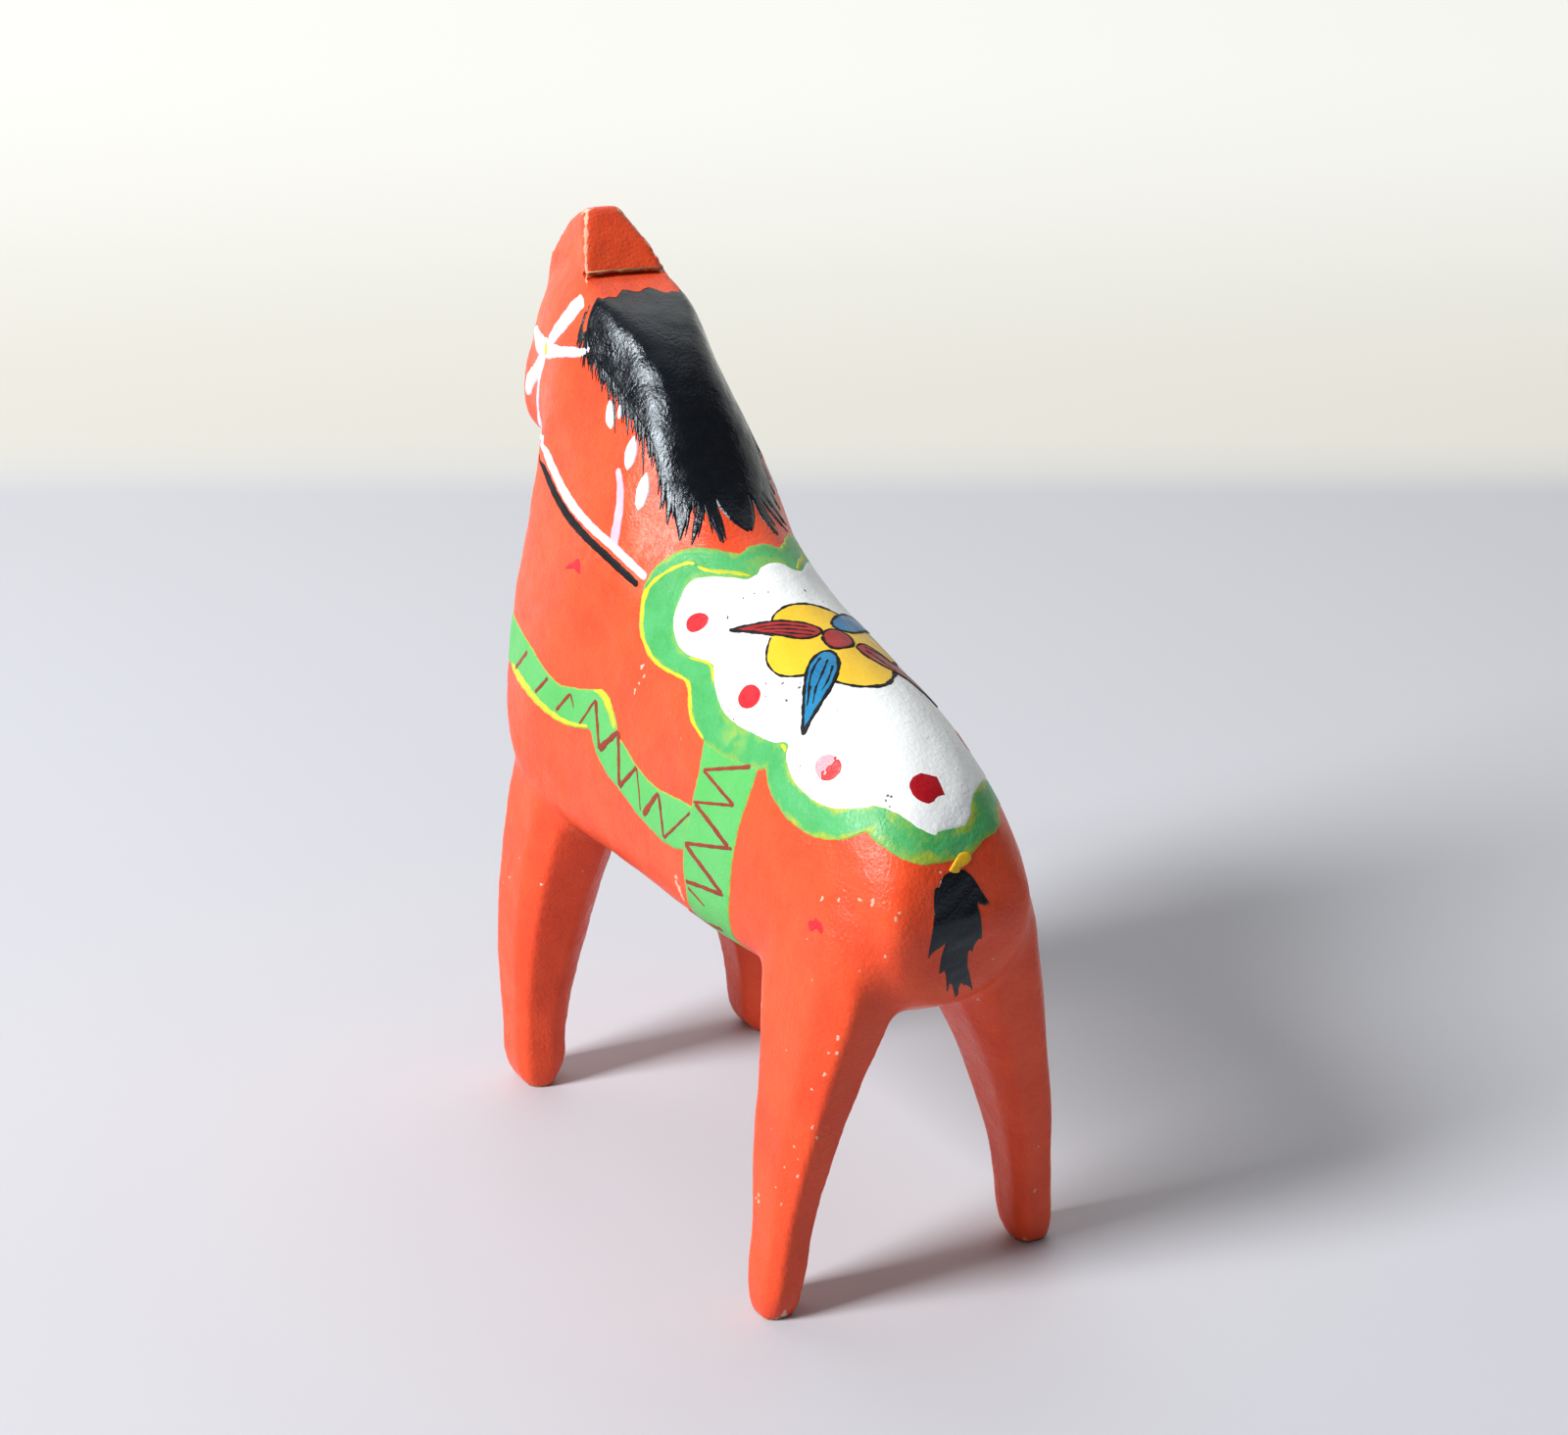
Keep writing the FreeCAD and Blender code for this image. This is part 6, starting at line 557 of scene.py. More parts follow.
AREAS = {
  "white": [(9.86, 88.99), (10.53, 88.87), (11.18, 88.47), (11.87, 87.9), (12.52, 87.36), (12.47, 86.99), (11.72, 86.99), (10.2, 86.96), (8.66, 86.81), (7.31,
     86.5), (6.36, 86.15), (5.88, 85.59), (5.56, 84.71), (5.67, 83.58), (5.76, 82.34), (6.14, 81.15), (6.83, 80.03), (7.78, 78.97), (9.14, 78.1), (10.52,
     77.64), (11.75, 77.44), (14.02, 77.51), (16.1, 77.57), (17.31, 77.38), (18.12, 76.55), (19.12, 75.56), (20.44, 74.44), (22.11, 73.42), (23.87, 72.74),
     (25.77, 72.3), (27.83, 72.07), (30.06, 72.02), (31.88, 71.97), (33.51, 71.93), (34.52, 72.03), (35.72, 72.38), (36.49, 72.16), (36.55, 71.59), (37.16,
     70.76), (38.06, 70.01), (39.22, 69.11), (40.47, 68.43), (42.06, 67.85), (43.92, 67.43), (45.6, 67.26), (47.1, 67.31), (48.87, 67.62), (50.23, 68.02),
     (51.32, 68.31), (51.71, 68.61), (52.63, 68.59), (53.63, 68.36), (54.75, 67.97), (55.88, 67.28), (56.81, 66.55), (57.38, 66.11), (57.74, 65.82), (57.9,
     65.72), (57.88, 65.84), (57.67, 66.23), (57.28, 66.83), (56.73, 67.58), (55.9, 68.37), (54.88, 68.85), (53.35, 69)],
  "green": [(5.73, 91.16), (6.52, 91.14), (6.89, 91), (7.26, 90.72), (7.81, 90.17), (8.28, 89.68), (8.4, 89.38), (7.82, 89.4), (6.68, 89.59), (5.66, 89.74),
     (4.73, 89.73), (3.58, 89.63), (2.48, 89.3), (1.46, 88.7), (0.69, 87.89), (-0.18, 87.04), (-0.73, 85.98), (-1.12, 84.4), (-1.16, 82.87), (-0.74,
     80.99), (-0.13, 79.38), (0.8, 77.82), (2.16, 76.61), (3.84, 75.47), (6.03, 74.91), (8.08, 74.64), (10.45, 74.58), (12.37, 74.63), (13.53, 74.5),
     (14.26, 73.73), (15.07, 72.46), (16.02, 71.21), (17.26, 70.27), (19.13, 69.5), (21.19, 68.79), (26.35, 68.28), (33.29, 68.56), (34.52, 68.95), (35.52,
     67.64), (37.19, 66.26), (40.18, 64.73), (41.87, 64.18), (43.47, 63.81), (45.23, 63.58), (46.84, 63.62), (48.81, 63.95), (50.35, 64.44), (51.46,
     65.12), (52.66, 65.78), (53.77, 65.26), (55.19, 64.7), (56.47, 64.08), (57.44, 63.6), (58.13, 63.27), (58.59, 63), (58.88, 62.86), (59.05, 62.78),
     (59.11, 62.83), (59.07, 63.04), (58.86, 63.56), (58.45, 64.35), (57.86, 65.15), (57.04, 65.89), (55.43, 66.55)],
  "strap_up": [(-36.54, 70.8), (-29.73, 70.19), (-24.04, 69.28), (-19.75, 67.93), (-16.6, 66.96), (-14.73, 66.82), (-11.75, 67.22), (-8.76, 67.82), (-6.03, 68.42),
     (-3.76, 68.33), (-2.16, 67.21), (-0.76, 65.53), (0.41, 63.78), (2.87, 62.42), (5.84, 61.05), (9.5, 60.1), (13.09, 59.87), (17.21, 60.15), (21.45,
     60.33)],
  "strap_lo": [(-35.43, 64.12), (-30.65, 63.73), (-25.38, 63.11), (-21.06, 62.14), (-17.61, 61.43), (-14.39, 61.21), (-11.17, 61.57), (-7.56, 62.22), (-6.37, 60.79),
     (-4.84, 59.1), (-2.67, 57.61), (1.52, 56.22), (6.48, 54.45), (10.12, 53.55), (13.77, 53.03), (17.32, 53.2), (19.85, 53.73)],
  "girth_l": [(21.07, 68.72), (21.63, 64.64), (21.45, 60.33), (20.27, 56.26), (19.85, 53.73), (19.83, 51.64), (20.22, 48.6), (19.26, 45.61)],
  "girth_r": [(33.29, 68.56), (33.2, 66.38), (32.9, 63.48), (32.49, 59.52), (31.99, 56.09), (31.62, 51.95), (30.86, 47.51), (30.04, 44.92)],
  "dot1": [(12.15, 82.25), (11.2, 82.61), (10.03, 82.53), (9, 81.99), (8.68, 81.18), (9.22, 80.41), (10.28, 80.1), (11.41, 80.41), (12.22, 81.04), (12.47, 81.7)],
  "dot2": [(25.61, 77.03), (26.84, 76.89), (27.8, 76.41), (28.23, 75.68), (27.95, 74.97), (27.25, 74.48), (26.02, 74.28), (24.94, 74.62), (24.3, 75.25), (24.26,
     76.08), (24.63, 76.7)],
  "dot3": [(42.84, 72.65), (43.67, 72.65), (44.57, 72.34), (45.26, 71.82), (45.59, 71.11), (45.36, 70.49), (44.76, 70.02), (43.72, 69.89), (42.82, 70.2), (42.02,
     70.88), (41.72, 71.67), (41.97, 72.29)],
  "dot4": [(52.48, 72.03), (52.97, 71.76), (53.73, 71.18), (54.53, 70.46), (55.15, 69.82), (55.55, 69.29), (55.53, 69.13), (55.02, 69.43), (54.34, 69.88),
     (53.54, 70.53), (52.93, 71.11), (52.51, 71.72)],
  "flower": [(5.11, 20.98), (4.47, 20.2), (3.45, 19.89), (2.15, 19.73), (0.79, 19.92), (-0.5, 20.25), (-1.72, 20.69), (-2.87, 21.27), (-3.88, 22.1), (-4.45,
     22.39), (-6.08, 22.6), (-6.69, 24.1), (-7.87, 24.42), (-7.86, 26.24), (-8.47, 27.69), (-7.61, 30.51), (-3.93, 36.4), (-2.41, 38.07), (-0.68, 38.95),
     (0.65, 38.77), (1.77, 38.25), (2.73, 37.47), (3.55, 36.45), (4.12, 35.4), (5.11, 33.25), (6.15, 31.5), (6.88, 30.68), (7.53, 29.74), (8.05, 28.56),
     (8.28, 27.26), (8.28, 25.95), (8.03, 24.87), (7.47, 23.98), (6.76, 23.23), (6.16, 22.79), (5.21, 22.26)],
  "centre": [(1.09, 27.15), (0.48, 26.48), (-0.4, 26.21), (-1.22, 26.3), (-1.92, 26.87), (-2.33, 27.67), (-2.31, 28.82), (-1.8, 29.8), (-0.78, 30.29), (0.43,
     30.38), (1.11, 30.05), (1.44, 29.26), (1.44, 28.12)],
  "red1": [(8.9, 16.38), (8.58, 16.82), (6.99, 18.83), (5.43, 20.38), (3.83, 21.86), (2.55, 23.03), (1.48, 24.15), (0.71, 25.34), (0.65, 26.31), (1.34, 26.64),
     (2.45, 26.68), (3.69, 25.91), (4.77, 24.39), (6.05, 22.38), (7.23, 20.14), (8.67, 16.99)],
  "red2": [(-2.17, 29.99), (-3.44, 29.33), (-4.64, 29.56), (-5.58, 30.89), (-6.27, 32.19), (-6.89, 33.61), (-7.25, 35.83), (-7.4, 37.97), (-6.02, 36.6), (-4.75,
     35.45), (-3.66, 34.82), (-3, 33.5), (-2.26, 32.31), (-1.95, 30.78)],
  "blue1": [(9.95, 37.85), (9.09, 37.49), (7.97, 37.17), (6.51, 36.67), (4.89, 35.89), (3.25, 34.52), (2.33, 33.33), (1.69, 31.84), (1.64, 30.71), (2.09, 30.04),
     (2.93, 29.84), (4.08, 30.16), (5.13, 30.74), (5.96, 31.57), (7.02, 33.03), (8.05, 34.62), (9.04, 36.24)],
  "blue2": [(-1.42, 25.27), (-1.84, 24.31), (-3.23, 23.2), (-5.33, 21.75), (-8.03, 19.58), (-7.55, 21.45), (-8.43, 21.01), (-5.57, 25.15), (-3.42, 26.66), (-2.04,
     26.49), (-1.45, 25.83)],
  "knot": [(2.01, 61.95), (1.28, 62.7), (0.43, 63.48), (-0.53, 63.55), (-1.26, 63.08), (-1.14, 62.54), (-0.48, 62.09), (0.52, 61.8), (0.73, 61.35), (1.52,
     61.39), (2.14, 61.79)],
  "tail": [(2.4, 61.54), (3.42, 60.77), (3.94, 59.37), (4.52, 58.08), (4.58, 57.16), (4.81, 55.17), (5.25, 53.34), (5.25, 51.36), (4.72, 51.92), (3.82, 52.38),
     (3.13, 52.88), (3, 51.77), (3.31, 50.26), (3.34, 48.65), (2.69, 48.85), (2.19, 47.41), (1.63, 45.75), (1.67, 46.84), (1.15, 46.41), (0.25, 44.56),
     (-0.39, 44.23), (0.01, 45.65), (-0.15, 46.38), (-0.85, 46.04), (-2.18, 45), (-0.97, 47.37), (-0.58, 49.19), (-0.5, 50.99), (-0.98, 51.02), (-1.38,
     52.13), (-2.03, 52.64), (-1.67, 54.27), (-1.45, 56), (-1.47, 57.18), (-2.43, 56.7), (-3.14, 56.84), (-2.4, 58.15), (-1.76, 59.41), (-0.96, 60.65),
     (-0.13, 61.48)],
  "mane": [(-27.26, 118.71), (-26.98, 117.26), (-27.11, 115.63), (-26.74, 113.8), (-25.55, 112.36), (-23.4, 110.78), (-21.54, 109.84), (-19.9, 108.99), (-17.96,
     107.93), (-15.84, 106.65), (-13.68, 105.25), (-11.62, 103.97), (-9.56, 102.58), (-7.7, 101.02), (-6.06, 99.31), (-4.48, 97.44), (-2.97, 95.83),
     (-1.57, 94.71), (-0.39, 94.2), (0.67, 94.16), (1.12, 94.65), (1.47, 94.86), (2.67, 93.95), (4.17, 92.84), (5.47, 91.95), (5.76, 91.75)],
  "heart1a": [(-15.08, 84.84), (-14.18, 84.02), (-13.99, 82.9), (-14.63, 82.9), (-15.93, 83.29), (-16.74, 83.72), (-15.99, 84.37)],
  "heart1b": [(-16.67, 83.88), (-15.56, 83.44), (-17.23, 82.86), (-18.31, 82.68), (-17.79, 83.28)],
  "heart2a": [(49.24, 54.53), (49.91, 54.26), (50.52, 54.26), (51.11, 53.77), (51.18, 53.06), (50.48, 53.15), (49.97, 53.35), (49.38, 52.91), (49.03, 52.56),
     (48.31, 52.87), (47.89, 53.41), (48.24, 53.83), (48.97, 54.01)],
}


# ------------------------------------------------------------------ helpers
def spline(rings, m):
    """Natural-ish cubic through rings (n, k, 3), chord length spaced."""
    r = np.array(rings, float)
    n = len(r)
    t = np.concatenate([[0.0], np.cumsum(np.linalg.norm(np.diff(r, axis=0), axis=2).mean(1))])
    h = np.diff(t)
    a = np.zeros((n, n))
    b = np.zeros((n,) + r.shape[1:])
    a[0, 0] = a[-1, -1] = 1.0
    for i in range(1, n - 1):
        a[i, i - 1], a[i, i], a[i, i + 1] = h[i - 1], 2 * (h[i - 1] + h[i]), h[i]
        b[i] = 6 * ((r[i + 1] - r[i]) / h[i] - (r[i] - r[i - 1]) / h[i - 1])
    s = np.linalg.solve(a, b.reshape(n, -1)).reshape(b.shape)
    tt = np.linspace(0, t[-1], m)
    k = np.clip(np.searchsorted(t, tt, side="right") - 1, 0, n - 2)
    out = []
    for q, i in zip(tt, k):
        u, v = t[i + 1] - q, q - t[i]
        out.append(s[i] * u ** 3 / (6 * h[i]) + s[i + 1] * v ** 3 / (6 * h[i])
                   + (r[i] / h[i] - s[i] * h[i] / 6) * u + (r[i + 1] / h[i] - s[i + 1] * h[i] / 6) * v)
    return np.array(out)


def ring_trunk(s, n=96):
    ty, tz, by, bz, w, v0, nt, nb, wf = s
    a = np.linspace(0, 2 * np.pi, n, endpoint=False)
    c, sn = np.cos(a), np.sin(a)
    e = np.where(c >= 0, nt, nb)
    top = 1.0
    if wf > 0:
        q = min(0.9, wf / w)
        top = v0 + (1 - v0) / ((1 - q ** nt) ** (1 / nt))
    v = np.where(c >= 0, v0 + (top - v0) * np.abs(c) ** (2 / e), v0 - (1 + v0) * np.abs(c) ** (2 / e))
    if wf > 0:
        d = 1 - v
        v = 1 - 0.5 * (d + np.sqrt(d * d + 0.03 ** 2))
    u = w * np.sign(sn) * np.abs(sn) ** (2 / e)
    k = (v + 1) / 2
    return np.stack([u, by + (ty - by) * k + Y_SHIFT, bz + (tz - bz) * k], 1)


# flats left by the knife round a leg: (direction in degrees from the outside
# towards the tail, distance as a share of the half width)
HIND_FLATS = [(2, 1.0), (47, 1.10), (93, 1.0), (139, 1.07), (180, 1.0), (226, 1.09), (270, 1.0), (316, 1.08)]
FORE_FLATS = [(0, 1.0), (38, 1.10), (80, 1.0), (128, 1.06), (180, 1.0), (226, 1.09), (270, 1.0), (318, 1.09)]


def ring_leg(s, side, flats, n=144):
    z, cx, cy, hx, hy, e = s
    a = np.linspace(0, 2 * np.pi, n, endpoint=False)
    c, sn = np.cos(a), np.sin(a)
    soft = (np.abs(c) ** e + np.abs(sn) ** e) ** (-1 / e)
    cut = np.full(n, 9.0)
    for deg, d in flats:
        k = np.cos(a - np.radians(deg + 2.0 * np.sin(z * 0.11 + deg)))
        cut = np.where(k > 0.05, np.minimum(cut, d / np.maximum(k, 0.05)), cut)
    r = 0.22 * soft + 0.78 * np.minimum(cut, soft * 1.06)
    return np.stack([side * (cx + hx * r * c), cy + hy * r * sn + Y_SHIFT, np.full(n, z)], 1)


def tube(d):
    m, n = d.shape[:2]
    v = d.reshape(-1, 3)
    idx = np.arange(m * n).reshape(m, n)
    a, b = idx[:-1], np.roll(idx, -1, 1)[:-1]
    c, e = np.roll(idx, -1, 1)[1:], idx[1:]
    f = np.stack([a, b, c, e], -1).reshape(-1, 4).tolist()
    f.append(idx[0][::-1].tolist())
    f.append(idx[-1].tolist())
    return v, f


def obj_from(name, verts_mm, faces, smooth=True):
    me = bpy.data.meshes.new(name)
    me.from_pydata([tuple(p) for p in (np.asarray(verts_mm, float) * MM)], [], [list(map(int, f)) for f in faces])
    me.validate()
    me.update()
    if smooth:
        me.polygons.foreach_set("use_smooth", [True] * len(me.polygons))
    o = bpy.data.objects.new(name, me)
    bpy.context.scene.collection.objects.link(o)
    return o


def recalc(o):
    bm = bmesh.new()
    bm.from_mesh(o.data)
    bmesh.ops.recalc_face_normals(bm, faces=bm.faces[:])
    bm.to_mesh(o.data)
    bm.free()


def baked(o, name):
    dg = bpy.context.evaluated_depsgraph_get()
    me = bpy.data.meshes.new_from_object(o.evaluated_get(dg), depsgraph=dg)
    me.name = name
    n = bpy.data.objects.new(name, me)
    bpy.context.scene.collection.objects.link(n)
    old = o.data
    bpy.data.objects.remove(o, do_unlink=True)
    if old.users == 0:
        bpy.data.meshes.remove(old)
    return n


def arrays(o):
    me = o.data
    v = np.empty(len(me.vertices) * 3)
    me.vertices.foreach_get("co", v)
    v = v.reshape(-1, 3) / MM
    me.calc_loop_triangles()
    t = np.empty(len(me.loop_triangles) * 3, np.int32)
    me.loop_triangles.foreach_get("vertices", t)
    return v, t.reshape(-1, 3)


def normals_of(v, t):
    n = np.cross(v[t[:, 1]] - v[t[:, 0]], v[t[:, 2]] - v[t[:, 0]])
    out = np.zeros_like(v)
    for i in range(3):
        np.add.at(out, t[:, i], n)
    return out / (np.linalg.norm(out, axis=1)[:, None] + 1e-12)


def relax(v, t, weight, rounds, lam=0.5):
    e = np.unique(np.sort(np.concatenate([t[:, [0, 1]], t[:, [1, 2]], t[:, [2, 0]]]), axis=1), axis=0)
    deg = np.bincount(e.ravel(), minlength=len(v)).astype(float)[:, None]
    w = (weight * lam)[:, None]
    for _ in range(rounds):
        s = np.zeros_like(v)
        np.add.at(s, e[:, 0], v[e[:, 1]])
        np.add.at(s, e[:, 1], v[e[:, 0]])
        v = v + w * (s / np.maximum(deg, 1) - v)
    return v


# ------------------------------------------------------------------ the body
def make_body():
    pieces = [tube(spline([ring_trunk(s) for s in TRUNK], 260))]
    for table, flats in ((HIND_LEG, HIND_FLATS), (FORE_LEG, FORE_FLATS)):
        for side in (1, -1):
            pieces.append(tube(spline([ring_leg(s, side, flats) for s in table], 110)))
    ear = []
    for yb, zb, yf, zf, wb, wf in EARS:
        ring = []
        corners = [(wb, yb, zb), (wf, yf, zf), (-wf, yf, zf), (-wb, yb, zb)]
        for i in range(4):
            p, q = np.array(corners[i]), np.array(corners[(i + 1) % 4])
            for k in range(8):
                ring.append(p + (q - p) * k / 8)
        ear.append(np.array(ring) + np.array([0, Y_SHIFT, 0]))
    rows = []
    for p, q in zip(ear[:-1], ear[1:]):
        for k in range(6):
            rows.append(p + (q - p) * k / 6)
    rows.append(ear[-1])
    pieces.append(tube(np.array(rows)))
    trees = []
    verts, faces = [], []
    for v, f in pieces:
        o = obj_from("tmp", v, f)
        recalc(o)
        vv, tt = arrays(o)
        trees.append(BVHTree.FromPolygons([tuple(p) for p in vv], tt.tolist()))
        n = len(verts)
        verts += vv.tolist()
        faces += (tt + n).tolist()
        bpy.data.objects.remove(o, do_unlink=True)
    o = obj_from("horse_raw", verts, faces)
    m = o.modifiers.new("vox", "REMESH")
    m.mode = "VOXEL"
    m.voxel_size = VOXEL
    m.use_smooth_shade = True
    o = baked(o, "horse_body")
    v, t = arrays(o)
    # the legs run into the trunk with a soft hollow, as a knife leaves it
    dist = np.full((len(trees), len(v)), 50.0)
    near_leg = (v[:, 2] < 72)
    near_ear = (v[:, 2] > 108)
    for k, tree in enumerate(trees):
        if k == 0:
            sel = np.arange(len(v))
        elif k == 5:
            sel = np.nonzero(near_ear)[0]
        else:
            sel = np.nonzero(near_leg)[0]
        for i in sel:
            r = tree.find_nearest(tuple(v[i]), 12.0)
            if r[0] is not None:
                dist[k, i] = r[3]
    d0 = dist[0]
    w = np.zeros(len(v))
    for k in range(1, 5):
        reach = 3.4
        s = np.clip(1 - np.maximum(d0, dist[k]) / reach, 0, 1)
        w = np.maximum(w, s * s * (3 - 2 * s))
    v = relax(v, t, w, 34)
    we = np.clip(1 - np.maximum(d0, dist[5]) / 1.6, 0, 1) * (v[:, 1] < -38.0 + Y_SHIFT - 4.5)
    v = relax(v, t, we, 26)
    tip = np.clip((v[:, 2] - 124.5) / 3.5, 0, 1) * (v[:, 1] < -38.0 + Y_SHIFT)
    v = relax(v, t, tip, 12)
    v = relax(v, t, np.full(len(v), 0.5), 2)
    # the slight unevenness of hand carving
    n = normals_of(v, t)
    x, y, z = v[:, 0], v[:, 1], v[:, 2]
    wave = (np.sin(0.42 * z + 0.31 * y + 0.9) * np.sin(0.37 * x - 0.22 * y + 0.4)
            + 0.7 * np.sin(0.83 * z - 0.61 * x + 2.0) * np.sin(0.71 * y + 0.5)
            + 0.4 * np.sin(1.7 * z + 0.9 * y) * np.sin(1.5 * x + 1.1 * z))
    v = v + n * (0.055 * wave * np.clip(z / 6.0, 0, 1))[:, None]
    v[:, 2] = np.maximum(v[:, 2], 0.25)
    me = o.data
    me.vertices.foreach_set("co", (v * MM).ravel())
    me.update()
    me.polygons.foreach_set("use_smooth", [True] * len(me.polygons))
    return o


def cut_box(o, size, place, tilt):
    bm = bmesh.new()
    bmesh.ops.create_cube(bm, size=1.0)
    ca, sa = math.cos(tilt), math.sin(tilt)
    for q in bm.verts:
        x, y, z = q.co.x * size[0], q.co.y * size[1], q.co.z * size[2]
        y, z = y * ca - z * sa, y * sa + z * ca
        q.co = Vector(((x + place[0]) * MM, (y + place[1]) * MM, (z + place[2]) * MM))
    me = bpy.data.meshes.new("cutter")
    bm.to_mesh(me)
    bm.free()
    c = bpy.data.objects.new("cutter", me)
    bpy.context.scene.collection.objects.link(c)
    m = o.modifiers.new("cut", "BOOLEAN")
    m.operation = "DIFFERENCE"
    m.solver = "EXACT"
    m.object = c
    n = baked(o, o.name)
    bpy.data.objects.remove(c, do_unlink=True)
    return n


body = make_body()
body = cut_box(body, (30, 3.0, 0.55), (0, -41.2 + Y_SHIFT + 0.6, 120.85), math.radians(-20))
body.name = "ground_coat_paint"
BV, BT = arrays(body)
BN = normals_of(BV, BT)
TREE = BVHTree.FromPolygons([tuple(p) for p in BV], BT.tolist())
MID = BV[BT].mean(1)
print("body", len(BV), "verts", len(BT), "triangles")


def snap(p):
    """Nearest point on the coat and a smooth normal there."""
    loc, nor, idx, _ = TREE.find_nearest((float(p[0]), float(p[1]), float(p[2])))
    a, b, c = BT[idx]
    q = np.array(loc)
    va, vb, vc = BV[a], BV[b], BV[c]
    n = np.cross(vb - va, vc - va)
    ar = np.linalg.norm(n) + 1e-12
    wa = np.linalg.norm(np.cross(vb - q, vc - q)) / ar
    wb = np.linalg.norm(np.cross(vc - q, va - q)) / ar
    wc = np.linalg.norm(np.cross(va - q, vb - q)) / ar
    m = BN[a] * wa + BN[b] * wb + BN[c] * wc
    return q, m / (np.linalg.norm(m) + 1e-12)


# ------------------------------------------------------------------ areas
def seg_dist(p, poly):
    """Signed distance of points (n, 2) to a closed outline, negative inside."""
    a = np.array(poly, float)
    b = np.roll(a, -1, 0)
    best = np.full(len(p), 1e9)
    inside = np.zeros(len(p), bool)
    for q, r in zip(a, b):
        d = r - q
        t = np.clip(((p - q) @ d) / (d @ d + 1e-12), 0, 1)
        best = np.minimum(best, np.linalg.norm(p - (q + t[:, None] * d), axis=1))
        cond = (q[1] > p[:, 1]) != (r[1] > p[:, 1])
        with np.errstate(divide="ignore", invalid="ignore"):
            x = (r[0] - q[0]) * (p[:, 1] - q[1]) / (r[1] - q[1] + 1e-30) + q[0]
        inside ^= cond & (p[:, 0] < x)
    return np.where(inside, -best, best)


def rounded(poly, closed=True, step=0.35):
    """Catmull-Rom through a traced outline."""
    p = np.array(poly, float)
    n = len(p)
    out = []
    for i in range(n if closed else n - 1):
        p0 = p[(i - 1) % n] if closed or i > 0 else p[0]
        p1, p2 = p[i], p[(i + 1) % n]
        p3 = p[(i + 2) % n] if closed or i + 2 < n else p[-1]
        m = max(1, int(np.linalg.norm(p2 - p1) / step))
        for k in range(m):
            t = k / m
            out.append(0.5 * ((2 * p1) + (-p0 + p2) * t + (2 * p0 - 5 * p1 + 4 * p2 - p3) * t * t
                              + (-p0 + 3 * p1 - 3 * p2 + p3) * t ** 3))
    if not closed:
        out.append(p[-1])
    return np.array(out)


def finer(v, n, t, times):
    for _ in range(times):
        e = np.sort(np.concatenate([t[:, [0, 1]], t[:, [1, 2]], t[:, [2, 0]]]), axis=1)
        u, inv = np.unique(e, axis=0, return_inverse=True)
        inv = inv.reshape(-1)
        mid = (v[u[:, 0]] + v[u[:, 1]]) / 2
        mn = n[u[:, 0]] + n[u[:, 1]]
        mn /= np.linalg.norm(mn, axis=1)[:, None] + 1e-12
        k = len(t)
        # lift the midpoint onto the curved surface the normals describe
        d = v[u[:, 1]] - v[u[:, 0]]
        bulge = ((n[u[:, 0]] * d).sum(1) - (n[u[:, 1]] * d).sum(1)) / 8
        mid = mid - mn * np.clip(bulge, -0.05, 0.05)[:, None]
        a, b, c = inv[:k] + len(v), inv[k:2 * k] + len(v), inv[2 * k:] + len(v)
        v = np.vstack([v, mid])
        n = np.vstack([n, mn])
        t = np.concatenate([np.stack([t[:, 0], a, c], 1), np.stack([a, t[:, 1], b], 1),
                            np.stack([c, b, t[:, 2]], 1), np.stack([a, b, c], 1)])
    return v, n, t


def clip(v, n, t, phi):
    """Keeps the side where phi is negative, cutting triangles on the line."""
    inside = phi < 0
    cnt = inside[t].sum(1)
    keep = t[cnt == 3].tolist()
    nv, nn, nphi = v.tolist(), n.tolist(), phi.tolist()
    made = {}

    def cross(i, j):
        key = (i, j) if i < j else (j, i)
        if key not in made:
            i, j = key
            s = phi[i] / (phi[i] - phi[j])
            s = min(max(s, 0.02), 0.98)
            made[key] = len(nv)
            nv.append((v[i] + (v[j] - v[i]) * s).tolist())
            nn.append((n[i] + (n[j] - n[i]) * s).tolist())
            nphi.append(0.0)
        return made[key]
    for tri in t[(cnt == 1) | (cnt == 2)]:
        ins = [bool(inside[q]) for q in tri]
        if sum(ins) == 1:
            k = ins.index(True)
            a, b, c = tri[k], tri[(k + 1) % 3], tri[(k + 2) % 3]
            keep.append([a, cross(a, b), cross(a, c)])
        else:
            k = ins.index(False)
            a, b, c = tri[k], tri[(k + 1) % 3], tri[(k + 2) % 3]
            x, y = cross(a, b), cross(a, c)
            keep.append([x, b, c])
            keep.append([x, c, y])
    v, n, phi, t = np.array(nv), np.array(nn), np.array(nphi), np.array(keep, int)
    used, inv = np.unique(t.ravel(), return_inverse=True)
    return v[used], n[used], phi[used], inv.reshape(-1, 3)


